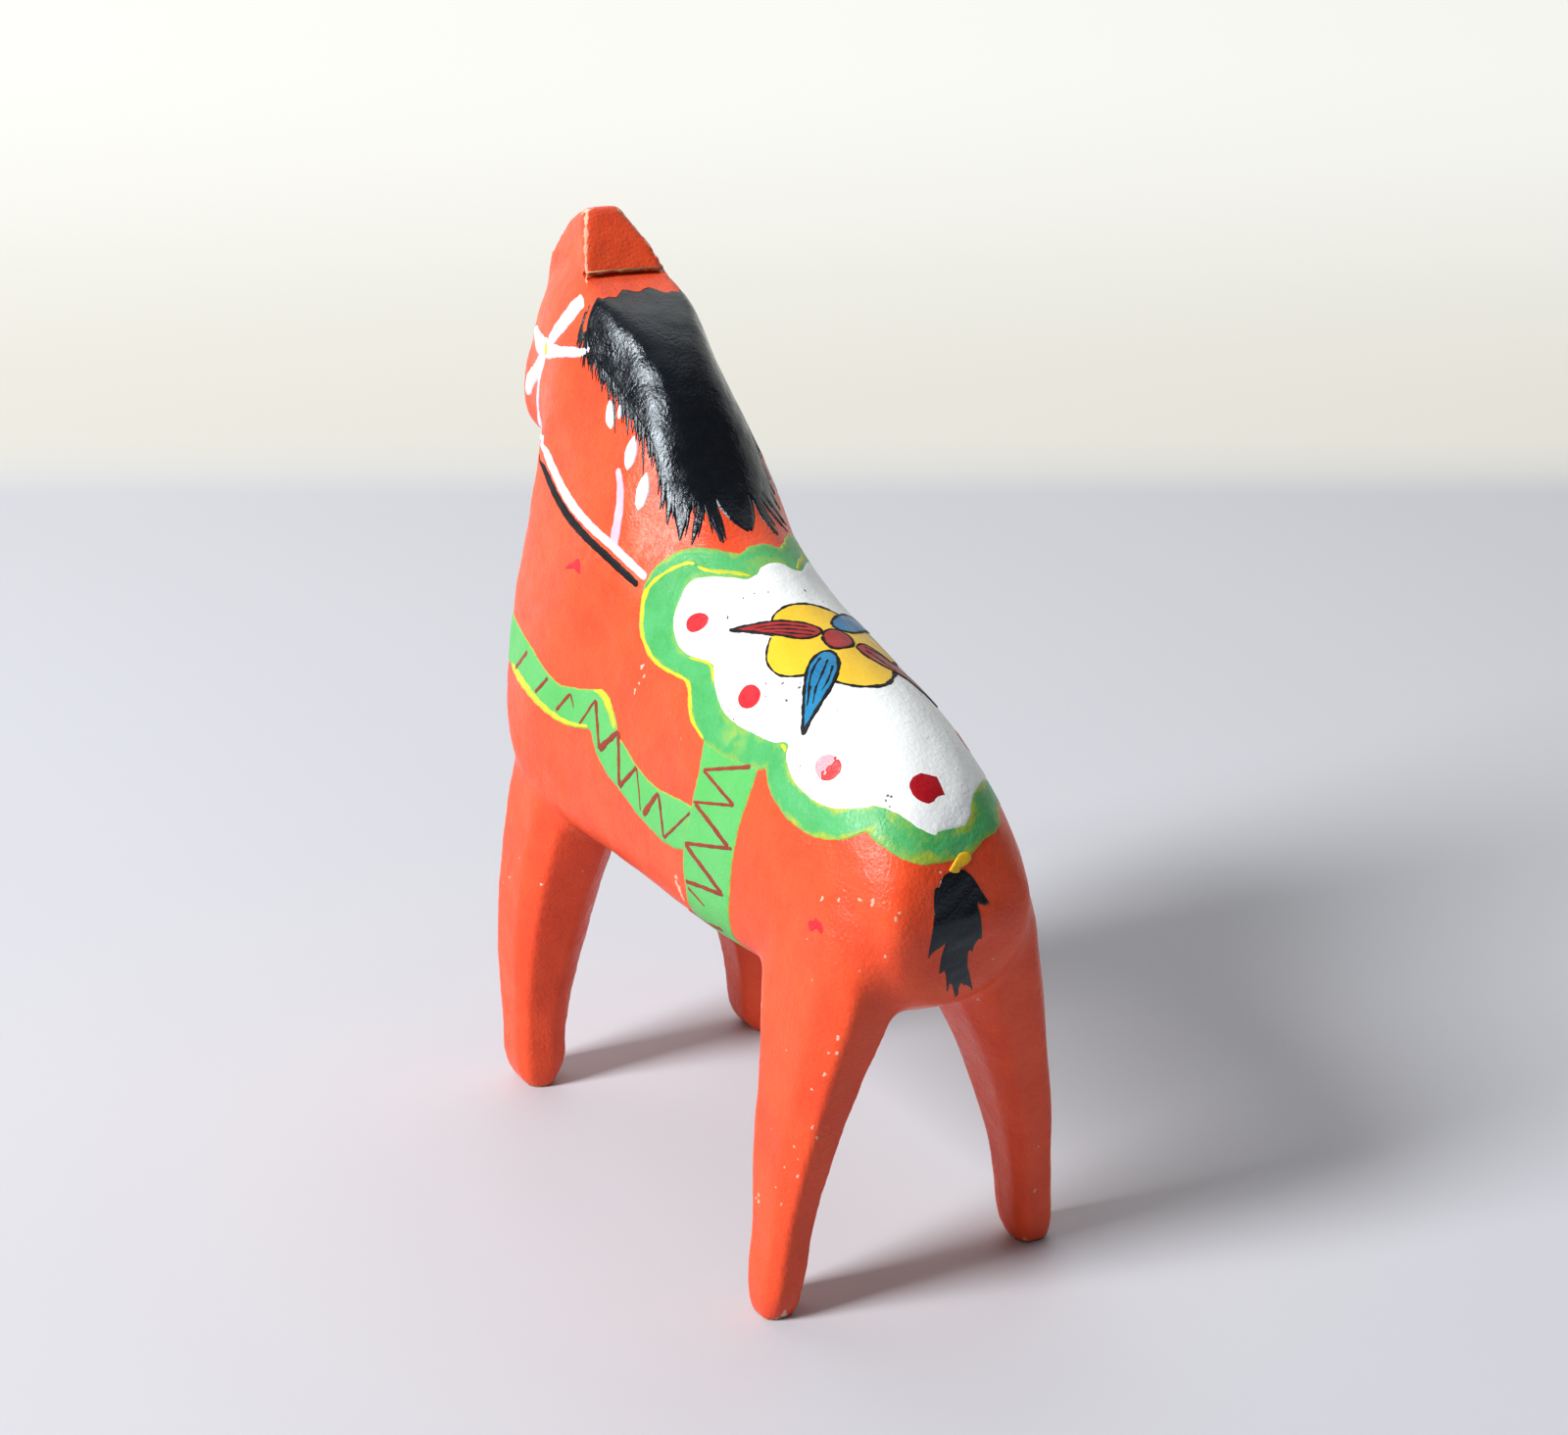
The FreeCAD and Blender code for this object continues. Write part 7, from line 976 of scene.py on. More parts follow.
def film(name, phi_of, thick, rim, box, fine=1, base=0.0, wobble=0.0):
    """A coat of paint over the part of the surface where phi_of is negative."""
    lo, hi = np.array(box[0]), np.array(box[1])
    sel = BT[((MID > lo) & (MID < hi)).all(1)]
    if len(sel) == 0:
        return None, None, None, []
    used, inv = np.unique(sel.ravel(), return_inverse=True)
    v, n, t = BV[used], BN[used], inv.reshape(-1, 3)
    p0 = phi_of(v, n)
    near = (p0[t] < 1.2).any(1)
    t = t[near]
    if len(t) == 0:
        return None, None, None, []
    used, inv = np.unique(t.ravel(), return_inverse=True)
    v, n, t = v[used], n[used], inv.reshape(-1, 3)
    v, n, t = finer(v, n, t, fine)
    phi = phi_of(v, n)
    if wobble:
        phi = phi + wobble * (np.sin(v[:, 0] * 2.1 + v[:, 1] * 1.7) + np.sin(v[:, 1] * 3.3 - v[:, 2] * 2.9)
                              + 0.6 * np.sin(v[:, 2] * 6.1 + v[:, 1] * 5.3 + v[:, 0] * 4.0))
    v, n, phi, t = clip(v, n, t, phi)
    return v, n, phi, t


def shell(v, n, t, h, sink=0.05):
    """Closed skin between the raised top and a bottom just inside the coat."""
    top = v + n * h[:, None]
    bot = v - n * sink
    k = len(v)
    e = np.concatenate([t[:, [0, 1]], t[:, [1, 2]], t[:, [2, 0]]])
    key = np.sort(e, axis=1)
    u, idx, cnt = np.unique(key, axis=0, return_index=True, return_counts=True)
    rim = e[idx[cnt == 1]]
    walls = np.concatenate([np.stack([rim[:, 1], rim[:, 0], rim[:, 0] + k], 1),
                            np.stack([rim[:, 1], rim[:, 0] + k, rim[:, 1] + k], 1)])
    return np.vstack([top, bot]), np.concatenate([t, t[:, ::-1] + k, walls])


def edge_height(phi, thick, rim):
    x = np.clip(-phi / rim, 0, 1)
    return thick * np.sqrt(np.clip(1 - (1 - x) ** 2, 0, 1))


def add_film(bag, name, phi_of, thick=0.10, rim=0.35, box=((-60, -99, -1), (60, 99, 140)), fine=1, base=0.0, wobble=0.0):
    v, n, phi, t = film(name, phi_of, thick, rim, box, fine, base, wobble)
    if len(t) == 0:
        print("nothing in", name)
        return
    h = base + edge_height(phi, thick, rim)
    vv, tt = shell(v, n, t, h)
    bag.append((vv, tt, np.tile(np.clip(-phi, 0, 9), 2)))


def add_ribbon(bag, pts, thick=0.10, base=0.0, mirror=False, taper=0.35, across=6, step=0.22, wobble=0.0, rnd=None, widen=1.0):
    """A brush stroke laid along 3-D points (x, y, z, width)."""
    p = np.array(pts, float)
    if mirror:
        p = p.copy()
        p[:, 0] *= -1
    d = np.concatenate([[0], np.cumsum(np.linalg.norm(np.diff(p[:, :3], axis=0), axis=1))])
    if d[-1] < 1e-6:
        return
    m = max(5, int(d[-1] / step))
    tt = np.linspace(0, d[-1], m)
    q = np.stack([np.interp(tt, d, p[:, i]) for i in range(4)], 1)
    # soften the corners of the linear resampling
    for _ in range(3):
        q[1:-1, :3] = 0.25 * q[:-2, :3] + 0.5 * q[1:-1, :3] + 0.25 * q[2:, :3]
    centre, normal = [], []
    for r in q:
        c, n = snap(r[:3])
        centre.append(c)
        normal.append(n)
    centre, normal = np.array(centre), np.array(normal)
    tan = np.gradient(centre, axis=0)
    tan /= np.linalg.norm(tan, axis=1)[:, None] + 1e-12
    side = np.cross(normal, tan)
    side /= np.linalg.norm(side, axis=1)[:, None] + 1e-12
    w = q[:, 3] / 2 * widen
    end = np.minimum(tt, d[-1] - tt)
    w = w * np.sqrt(np.clip(end / (np.minimum(taper, w.max()) + 1e-9), 0.0, 1.0)) + 0.004
    if wobble and rnd is not None:
        ph = rnd.random() * 6.28
        w = w * (1 + wobble * np.sin(tt * 2.3 + ph) + 0.5 * wobble * np.sin(tt * 6.1 + 2 * ph))
    rows = []
    us = np.linspace(-1, 1, across + 1)
    for c, s, ww in zip(centre, side, w):
        row = []
        for u in us:
            pt, n = snap(c + s * u * ww)
            row.append((pt, n, u))
        rows.append(row)
    k = across + 1
    pos = np.array([[r[0] for r in row] for row in rows])
    nor = np.array([[r[1] for r in row] for row in rows])
    hh = np.sqrt(np.clip(1 - us ** 2, 0, 1)) ** 0.7
    lift = base + thick * hh[None, :] * np.clip(end / 0.12, 0, 1)[:, None] ** 0.5
    v = pos.reshape(-1, 3)
    n = nor.reshape(-1, 3)
    idx = np.arange(m * k).reshape(m, k)
    a, b, c, e = idx[:-1, :-1].ravel(), idx[:-1, 1:].ravel(), idx[1:, 1:].ravel(), idx[1:, :-1].ravel()
    t = np.concatenate([np.stack([a, b, c], 1), np.stack([a, c, e], 1)])
    # face the same way as the surface
    fn = np.cross(v[t[0, 1]] - v[t[0, 0]], v[t[0, 2]] - v[t[0, 0]])
    mid = len(t) // 2
    fn = np.cross(v[t[mid, 1]] - v[t[mid, 0]], v[t[mid, 2]] - v[t[mid, 0]])
    if fn @ n[t[mid, 0]] < 0:
        t = t[:, ::-1]
    vv, ff = shell(v, n, t, lift.ravel())
    bag.append((vv, ff))


def piece(name, bag, mat, nodes=()):
    if not bag:
        print("empty piece", name)
        return None
    vs, ts, rs, k = [], [], [], 0
    for q in bag:
        vs.append(q[0])
        ts.append(q[1] + k)
        rs.append(q[2] if len(q) > 2 else np.full(len(q[0]), 1.0))
        k += len(q[0])
    v, t, rim = np.vstack(vs), np.concatenate(ts), np.concatenate(rs)
    me = bpy.data.meshes.new(name)
    me.vertices.add(len(v))
    me.vertices.foreach_set("co", (v * MM).ravel())
    me.loops.add(len(t) * 3)
    me.loops.foreach_set("vertex_index", t.ravel().astype(np.int32))
    me.polygons.add(len(t))
    me.polygons.foreach_set("loop_start", np.arange(0, len(t) * 3, 3, dtype=np.int32))
    me.update(calc_edges=True)
    at = me.attributes.new("inset", "FLOAT", "POINT")
    at.data.foreach_set("value", rim.astype(np.float32))
    me.validate()
    me.polygons.foreach_set("use_smooth", [True] * len(me.polygons))
    me.materials.append(mat)
    o = bpy.data.objects.new(name, me)
    bpy.context.scene.collection.objects.link(o)
    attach(o, "root")
    if nodes:
        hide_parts(*nodes)
    print("piece", name, len(t), "triangles")
    return o


# ------------------------------------------------------------------ station point
CAM = np.array([158.53142, 288.21192 + Y_SHIFT, 177.91105])
AZ, EL = math.radians(150.72749608531169), math.radians(18.76831291618415)
back = np.array([math.sin(AZ) * math.cos(EL), -math.cos(AZ) * math.cos(EL), math.sin(EL)])
right = np.array([math.cos(AZ), math.sin(AZ), 0.0])
upv = np.cross(back, right)
ahead = np.array([-math.sin(AZ), math.cos(AZ), 0.0])


# ------------------------------------------------------------------ materials
class Graph:
    def __init__(self, name):
        self.mat = bpy.data.materials.new(name)
        self.mat.use_nodes = True
        self.t = self.mat.node_tree
        self.t.nodes.clear()
        out = self.t.nodes.new("ShaderNodeOutputMaterial")
        self.b = self.t.nodes.new("ShaderNodeBsdfPrincipled")
        self.t.links.new(self.b.outputs[0], out.inputs[0])
        c = self.t.nodes.new("ShaderNodeTexCoord")
        self.co = self.scaled(c.outputs["Object"], (1000, 1000, 1000))

    def scaled(self, src, s, rot=(0, 0, 0), loc=(0, 0, 0)):
        m = self.t.nodes.new("ShaderNodeMapping")
        m.inputs["Scale"].default_value = s
        m.inputs["Rotation"].default_value = rot
        m.inputs["Location"].default_value = loc
        self.t.links.new(src, m.inputs["Vector"])
        return m.outputs[0]

    def put(self, sock, v):
        if isinstance(v, bpy.types.NodeSocket):
            self.t.links.new(v, sock)
        else:
            if sock.type == "RGBA" and len(v) == 3:
                v = (*v, 1.0)
            sock.default_value = v

    def noise(self, scale, detail=3.0, rough=0.5, src=None, dist=0.0):
        n = self.t.nodes.new("ShaderNodeTexNoise")
        n.inputs["Scale"].default_value = scale
        n.inputs["Detail"].default_value = detail
        n.inputs["Roughness"].default_value = rough
        n.inputs["Distortion"].default_value = dist
        self.t.links.new(src or self.co, n.inputs["Vector"])
        return n.outputs["Fac"]

    def cells(self, scale, src=None):
        n = self.t.nodes.new("ShaderNodeTexVoronoi")
        n.inputs["Scale"].default_value = scale
        self.t.links.new(src or self.co, n.inputs["Vector"])
        return n.outputs["Distance"]

    def ramp(self, v, a, b, lo=0.0, hi=1.0):
        n = self.t.nodes.new("ShaderNodeMapRange")
        n.interpolation_type = "SMOOTHSTEP"
        self.put(n.inputs["Value"], v)
        n.inputs["From Min"].default_value = a
        n.inputs["From Max"].default_value = b
        n.inputs["To Min"].default_value = lo
        n.inputs["To Max"].default_value = hi
        return n.outputs[0]

    def math(self, op, a, b=0.0):
        n = self.t.nodes.new("ShaderNodeMath")
        n.operation = op
        self.put(n.inputs[0], a)
        self.put(n.inputs[1], b)
        return n.outputs[0]

    def mix(self, f, a, b, mode="MIX"):
        n = self.t.nodes.new("ShaderNodeMix")
        n.data_type = "RGBA"
        n.blend_type = mode
        self.put(n.inputs[0], f)
        self.put(n.inputs[6], a)
        self.put(n.inputs[7], b)
        return n.outputs[2]

    def near(self, p, r0, r1):
        """1 inside r0 mm of the point p, 0 beyond r1 mm."""
        n = self.t.nodes.new("ShaderNodeVectorMath")
        n.operation = "DISTANCE"
        self.t.links.new(self.co, n.inputs[0])
        n.inputs[1].default_value = p
        return self.ramp(n.outputs["Value"], r0, r1, 1.0, 0.0)

    def bump(self, h, strength, dist, prev=None):
        n = self.t.nodes.new("ShaderNodeBump")
        n.inputs["Strength"].default_value = strength
        n.inputs["Distance"].default_value = dist
        self.put(n.inputs["Height"], h)
        if prev is not None:
            self.t.links.new(prev, n.inputs["Normal"])
        return n.outputs[0]


def enamel(name, base, alt, rough=0.34, grain=0.5, peel=0.35, streak=None, streak_amt=0.0, spec=0.28, extra=None, coat=0.0):
    """Brushed enamel: uneven colour, fine grain, orange peel, brush marks along "streak"."""
    g = Graph(name)
    big = g.noise(0.16, 3.0, 0.55)
    col = g.mix(g.ramp(big, 0.35, 0.68, 0.0, 0.75), base, alt)
    fine = g.noise(3.4, 2.0, 0.6)
    col = g.mix(g.ramp(fine, 0.35, 0.7, 0.0, 0.16 * grain), col, tuple(min(1.0, c * 1.5 + 0.03) for c in base))
    col = g.mix(g.ramp(g.noise(5.5, 2.0, 0.7), 0.56, 0.76, 0.0, 0.35 * grain), col, tuple(c * 0.45 for c in base))
    if streak is not None:
        s = g.scaled(g.co, streak[0], streak[1])
        lines = g.noise(1.0, 4.0, 0.65, src=s)
        col = g.mix(g.ramp(lines, 0.42, 0.72, 0.0, streak_amt), col, alt)
    if extra:
        col = extra(g, col)
    g.put(g.b.inputs["Base Color"], col)
    r = g.math("ADD", g.ramp(g.noise(0.5, 3.0, 0.6), 0.3, 0.7, rough - 0.06, rough + 0.10),
               g.ramp(g.noise(6.0, 2.0, 0.6), 0.3, 0.7, -0.03, 0.05))
    g.put(g.b.inputs["Roughness"], r)
    g.b.inputs["Specular IOR Level"].default_value = spec
    if coat:
        g.b.inputs["Coat Weight"].default_value = coat
        g.b.inputs["Coat Roughness"].default_value = 0.18
    n = g.bump(g.noise(2.1, 2.5, 0.55), peel, 0.00012)
    n = g.bump(g.noise(0.42, 2.0, 0.5), 0.35, 0.0003, n)
    if streak is not None:
        n = g.bump(lines, 0.30, 0.00010, n)
    g.put(g.b.inputs["Normal"], n)
    return g.mat


def coat_extra(g, col):
    # painted sheen: pale pinkish patches beside the mane stand in for the gloss highlight on the orange enamel
    painted_sheen = g.math("MULTIPLY", g.near((10.8, -1.2, 88.5), 1.5, 8.0), g.ramp(g.noise(0.55, 4.0, 0.65), 0.35, 0.62))
    col = g.mix(g.math("MULTIPLY", painted_sheen, 0.45), col, (0.86, 0.33, 0.24))
    # painted sheen: a second, fainter pale patch further forward on the neck
    painted_sheen2 = g.math("MULTIPLY", g.near((12.6, -14.0, 86.0), 0.5, 6.0), g.ramp(g.noise(0.8, 4.0, 0.65), 0.4, 0.62))
    col = g.mix(g.math("MULTIPLY", painted_sheen2, 0.22), col, (0.86, 0.30, 0.21))
    # darker drag marks of the brush
    drag = g.noise(1.0, 4.0, 0.62, src=g.scaled(g.co, (0.30, 0.30, 0.045), (0.15, 0.1, 0)))
    col = g.mix(g.ramp(drag, 0.52, 0.75, 0.0, 0.20), col, (0.60, 0.038, 0.010))
    # scattered tiny nicks down to the primer
    nick = g.ramp(g.cells(0.40), 0.0, 0.13, 1.0, 0.0)
    gate = g.ramp(g.noise(0.10, 2.0, 0.5), 0.60, 0.72)
    col = g.mix(g.math("MULTIPLY", g.math("MULTIPLY", nick, gate), 0.40), col, (0.84, 0.34, 0.22))
    return col


def green_extra(g, col):
    # a lime rim fading into the green, broken up by the brush
    a = g.t.nodes.new("ShaderNodeAttribute")
    a.attribute_name = "inset"
    w = g.math("ADD", a.outputs["Fac"], g.ramp(g.noise(0.28, 3.0, 0.6), 0.3, 0.7, -0.45, 0.55))
    rim = g.ramp(w, 0.15, 0.95, 1.0, 0.0)
    zone = g.ramp(g.noise(0.075, 2.0, 0.5), 0.40, 0.60)
    lime = g.mix(g.ramp(g.noise(0.9, 3.0), 0.35, 0.65), (0.42, 0.46, 0.03), (0.26, 0.46, 0.06))
    col = g.mix(g.math("MULTIPLY", rim, g.ramp(zone, 0.0, 1.0, 0.35, 0.95)), col, lime)
    cusp = g.math("MULTIPLY", g.near((15.8, 27.0, 71.5), 0.5, 4.5), g.ramp(g.noise(0.5, 3.0), 0.35, 0.6))
    return g.mix(g.math("MULTIPLY", cusp, 0.7), col, lime)


def strap_extra(g, col):
    a = g.t.nodes.new("ShaderNodeAttribute")
    a.attribute_name = "inset"
    rim = g.ramp(g.math("ADD", a.outputs["Fac"], g.ramp(g.noise(0.8, 2.0), 0.3, 0.7, -0.1, 0.12)), 0.06, 0.30, 1.0, 0.0)
    return g.mix(g.math("MULTIPLY", rim, 0.55), col, (0.40, 0.42, 0.03))


def white_extra(g, col):
    # hair-fine scribbles of the undercoat
    s = g.scaled(g.co, (0.25, 1.6, 1.6), (0.5, 0.2, 0.1))
    lines = g.ramp(g.noise(1.6, 4.0, 0.7, src=s, dist=1.5), 0.60, 0.70)
    return g.mix(g.math("MULTIPLY", lines, 0.16), col, (0.50, 0.55, 0.56))


def black_painted_glints(g, col):
    # painted glints: tiny bluish-grey dots on the black stand in for the sparkle of its gloss
    return g.mix(g.ramp(g.cells(1.3), 0.0, 0.055, 0.22, 0.0), col, (0.20, 0.22, 0.27))


ORANGE = enamel("enamel_orange", (0.800, 0.080, 0.020), (0.720, 0.056, 0.015), rough=0.33, grain=0.85, peel=0.95,
                streak=((0.9, 0.9, 0.09), (0.2, 0.1, 0.0)), streak_amt=0.26, spec=0.30, extra=coat_extra)
BLACK = enamel("enamel_black", (0.0030, 0.0040, 0.0065), (0.0034, 0.0040, 0.0060), rough=0.19, grain=0.2, peel=0.55,
               streak=((2.6, 2.6, 0.26), (0.30, 0.0, 0.0)), streak_amt=0.4, spec=0.42, extra=black_painted_glints)
BLACK.node_tree.nodes["Principled BSDF"].inputs["Specular Tint"].default_value = (0.80, 0.91, 1.0, 1.0)
BLACK_MATT = enamel("enamel_black_line", (0.0040, 0.0045, 0.0060), (0.009, 0.009, 0.011), rough=0.50, grain=0.4, peel=0.5, spec=0.14)
WHITE = enamel("enamel_white", (0.80, 0.825, 0.835), (0.76, 0.79, 0.81), rough=0.36, grain=0.25, peel=0.6,
               streak=((0.5, 2.2, 0.5), (0.0, 0.0, 0.5)), streak_amt=0.18, extra=white_extra)
WHITE_LINE = enamel("enamel_white_line", (0.74, 0.71, 0.75), (0.64, 0.55, 0.65), rough=0.38, grain=0.2, peel=0.4,
                    streak=((0.8, 3.0, 3.0), (0.5, 0.0, 0.0)), streak_amt=0.45)
GREEN = enamel("enamel_green", (0.050, 0.345, 0.088), (0.085, 0.430, 0.150), rough=0.36, grain=0.9, peel=0.7,
               streak=((0.5, 1.6, 1.6), (0.3, 0.0, 0.0)), streak_amt=0.45, extra=green_extra)
GREEN_STRAP = enamel("enamel_green_strap", (0.085, 0.430, 0.095), (0.110, 0.450, 0.130), rough=0.38, grain=0.8, peel=0.6,
                     streak=((0.5, 1.6, 1.6), (0.3, 0.0, 0.0)), streak_amt=0.35, extra=strap_extra)
LIME = enamel("enamel_lime", (0.58, 0.56, 0.018), (0.40, 0.50, 0.04), rough=0.42, grain=0.5, peel=0.4,
              streak=((1.2, 2.4, 1.2), (0.3, 0.0, 0.0)), streak_amt=0.5)
YELLOW = enamel("enamel_yellow", (0.78, 0.475, 0.014), (0.80, 0.52, 0.025), rough=0.36, grain=0.35, peel=0.5,
                streak=((1.8, 0.6, 0.6), (0.0, 0.0, 0.4)), streak_amt=0.5)
RED = enamel("enamel_red", (0.50, 0.010, 0.018), (0.56, 0.018, 0.030), rough=0.36, grain=0.6, peel=0.5)
# painted shade: a darker copy of the dot red, for the last dot on the shaded rear slope of the saddle
RED_PAINTED_SHADE = enamel("enamel_red_painted_shade", (0.33, 0.003, 0.009), (0.38, 0.006, 0.014), rough=0.33, grain=0.4, peel=0.6)
RED_DARK = enamel("enamel_red_petal", (0.27, 0.010, 0.010), (0.36, 0.018, 0.018), rough=0.36, grain=0.5, peel=0.4,
                  streak=((2.5, 0.5, 0.5), (0.0, 0.0, 0.9)), streak_amt=0.6)
BLUE = enamel("enamel_blue", (0.004, 0.115, 0.280), (0.010, 0.220, 0.440), rough=0.33, grain=0.5, peel=0.4,
              streak=((2.5, 0.5, 0.5), (0.0, 0.0, 0.75)), streak_amt=0.7)
LAV = enamel("enamel_lavender", (0.66, 0.40, 0.50), (0.72, 0.52, 0.66), rough=0.40, grain=0.4, peel=0.4)
OCHRE = enamel("enamel_ochre", (0.82, 0.43, 0.010), (0.86, 0.52, 0.020), rough=0.36, grain=0.5, peel=0.6)
BROWN = enamel("enamel_brown", (0.260, 0.034, 0.012), (0.190, 0.026, 0.012), rough=0.45, grain=0.8, peel=0.5)
PALE_DOT = enamel("enamel_rubbed_red", (0.72, 0.34, 0.40), (0.66, 0.14, 0.20), rough=0.42, grain=1.0, peel=0.5,
                  streak=((3.0, 3.0, 3.0), (0, 0, 0)), streak_amt=0.6)
PRIMER = enamel("bare_primer", (0.66, 0.36, 0.25), (0.72, 0.52, 0.40), rough=0.62, grain=0.9, peel=0.7)
WORN = enamel("worn_enamel", (0.78, 0.30, 0.20), (0.80, 0.44, 0.32), rough=0.55, grain=0.9, peel=0.7)
SOOT = enamel("speck_dark", (0.09, 0.085, 0.08), (0.16, 0.15, 0.14), rough=0.6, grain=0.8, peel=0.4)


def pine():
    g = Graph("pine")
    s = g.scaled(g.co, (1.0, 1.0, 0.06), (0.05, 0.03, 0))
    rings = g.noise(0.55, 4.0, 0.6, src=s, dist=1.2)
    fibre = g.noise(6.0, 3.0, 0.6, src=s)
    col = g.mix(g.ramp(rings, 0.35, 0.65), (0.62, 0.40, 0.20), (0.42, 0.23, 0.10))
    col = g.mix(g.ramp(fibre, 0.45, 0.75, 0.0, 0.5), col, (0.34, 0.18, 0.08))
    g.put(g.b.inputs["Base Color"], col)
    g.put(g.b.inputs["Roughness"], g.ramp(fibre, 0.3, 0.7, 0.58, 0.78))
    g.put(g.b.inputs["Normal"], g.bump(fibre, 0.5, 0.00012))
    return g.mat


PINE = pine()
# the bare block under the coat: the same surface a hair further in, soles on the ground
wv = BV - BN * 0.26
sole = BV[:, 2] < 0.36
wv[sole, 2] = 0.0
wood = obj_from("carved_block", wv, BT)
wood.data.materials.append(PINE)
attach(wood, "root")
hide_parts("wood_body")

# ------------------------------------------------------------------ the coat
body.data.materials.clear()
body.data.materials.append(ORANGE)
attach(body, "root")
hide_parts("ground_coat")

rnd = random.Random(SEED)


def smooth01(x):
    x = np.clip(x, 0, 1)
    return x * x * (3 - 2 * x)


def yz(v):
    return v[:, 1:3]


def flank(poly, side=0, shear=False, blur=0.0):
    """Distance function of an outline seen from the side."""
    p = rounded(poly) if blur >= 0 else np.array(poly)

    def f(v, n):
        q = v[:, 1:3].copy()
        if shear:
            q[:, 1] -= 1.15 * smooth01(-v[:, 0] / 4.0) * smooth01((v[:, 1] - 49.0) / 6.0)
        d = seg_dist(q, p)
        if side:
            d = np.maximum(d, -v[:, 0] * side + 0.2)
        return d
    return f


def plan(poly):
    p = rounded(poly)

    def f(v, n):
        return np.maximum(seg_dist(v[:, :2], p), (n[:, 2] < 0.05) * 5.0 - 1.0 * (n[:, 2] >= 0.05))
    return f


TOPZ = 170.0


def open_outline(pts, before, after):
    r = rounded(pts, closed=False)
    return np.vstack([np.array(before), r, np.array(after)])


YS = Y_SHIFT
w_pts = AREAS["white"][1:60]
g_pts = AREAS["green"][2:58]
white_poly = open_outline(w_pts, [(0.7 + YS, TOPZ), (0.7 + YS, 89.2)], [(90.0, 65.7), (90.0, TOPZ)])
green_poly = open_outline(g_pts, [(-2.8 + YS, TOPZ), (-2.8 + YS, 91.2)], [(90.0, 62.8), (90.0, TOPZ)])
f_white = flank(white_poly, shear=True, blur=-1)
f_green0 = flank(green_poly, shear=True, blur=-1)
GF = [(11.4, 68.9), (12.0, 64.6), (11.8, 60.3), (10.6, 56.3), (10.2, 53.7), (10.2, 51.6), (10.6, 48.6), (9.6, 45.6), (9.4, 41.0)]
GB = [(20.2, 41.0), (20.4, 44.9), (21.2, 47.5), (22.0, 51.9), (22.3, 56.1), (22.8, 59.5), (23.3, 63.5), (23.6, 66.4), (23.6, 68.6)]
girth_poly = [(y + YS, z) for y, z in GF[:]] + [(9.2 + YS, 20.0), (20.2 + YS, 20.0)] + [(y + YS, z) for y, z in GB] + [(23.6 + YS, 72.0), (11.4 + YS, 72.0)]
f_girth0 = flank(girth_poly, blur=-1)
up = AREAS["strap_up"]
lo = AREAS["strap_lo"]
breast_poly = np.vstack([np.array([(-90.0, 71.4)]), rounded(up, closed=False), np.array([(14.0 + YS, 57.0)]),
                         rounded(lo[::-1], closed=False), np.array([(-90.0, 64.6)])])
f_breast0 = flank(breast_poly, blur=-1)
mane_poly = np.vstack([np.array([(-37.2 + YS, TOPZ), (-37.2 + YS, 119.4)]), rounded(AREAS["mane"], closed=False),
                       np.array([(-3.6 + YS, 93.0), (-3.6 + YS, TOPZ)])])


def jag_top(v):
    return 0.35 * np.sin(v[:, 0] * 1.1 + 0.6) + 0.3 * np.sin(v[:, 0] * 2.7) + 0.18 * np.sin(v[:, 0] * 6.3)


# the outline of the mane is drawn as seen from one station behind the left
# shoulder: (across, down) in units of the picture plane; the right side mirrors it
MANE_OUTLINE = [
    (610, 303), (604, 314), (600, 326), (598, 340), (600, 352), (606, 366), (613, 375), (620, 383), (628, 393), (636, 405),
    (644, 418), (652, 430), (660, 443), (667, 457), (673, 472), (679, 488), (686, 502), (694, 508), (703, 510), (714, 512),
    (724, 510), (733, 510), (742, 520), (752, 530), (762, 538), (765.5, 539.5), (763.5, 524), (765, 510), (771, 500), (800, 496),
    (800, 280), (697, 291), (691, 297.5), (683, 297.2), (675, 294.5), (667, 296), (662.8, 293.2), (658, 298.6), (651, 297.5), (647.5, 297.4),
    (641, 295.8), (635, 295.3), (629, 303), (621, 302.6), (615, 305)]
MANE_R = rounded(MANE_OUTLINE, step=4.0)


def station(v):
    q = v * np.array([1, 1, 1.0])
    q[:, 0] = np.abs(q[:, 0])
    d = q - CAM
    k = -(d @ back)
    return np.stack([800 + 2600 * (d @ right) / k, 732 - 2600 * (d @ upv) / k], 1)


def f_mane(v, n):
    d = seg_dist(station(v), MANE_R) / 6.2
    m = n.copy()
    m[:, 0] = np.where(v[:, 0] < 0, -n[:, 0], n[:, 0])
    q = v.copy()
    q[:, 0] = np.abs(q[:, 0])
    facing = (m * (CAM - q)).sum(1) / np.linalg.norm(CAM - q, axis=1)
    return np.where(facing > -0.15, d, 2.0)


bag = []
add_film(bag, "white", f_white, thick=0.13, rim=0.45, box=((-30, -8, 60), (30, 70, 100)), fine=1, wobble=0.025)
piece("saddle_field", bag, WHITE, ["saddle_white"])

bag = []
add_film(bag, "green", lambda v, n: np.maximum(f_green0(v, n), -f_white(v, n) - 0.3), thick=0.09, rim=0.35,
         box=((-30, -12, 58), (30, 70, 110)), fine=1, wobble=0.03)
piece("saddle_border", bag, GREEN, ["saddle_green"])
bag = []
add_film(bag, "girth", lambda v, n: np.maximum(f_girth0(v, n), -f_green0(v, n) - 0.2), thick=0.08, rim=0.3,
         box=((-30, 8, 36), (30, 44, 74)), fine=1, wobble=0.03)
piece("girth", bag, GREEN_STRAP, ["girth_green"])
bag = []
add_film(bag, "breast", lambda v, n: np.maximum(np.maximum(f_breast0(v, n), -f_girth0(v, n) - 0.2), -f_green0(v, n) - 0.2),
         thick=0.08, rim=0.3, box=((-30, -60, 50), (30, 26, 74)), fine=1, wobble=0.03)
piece("breast_strap", bag, GREEN_STRAP, ["breast_green"])

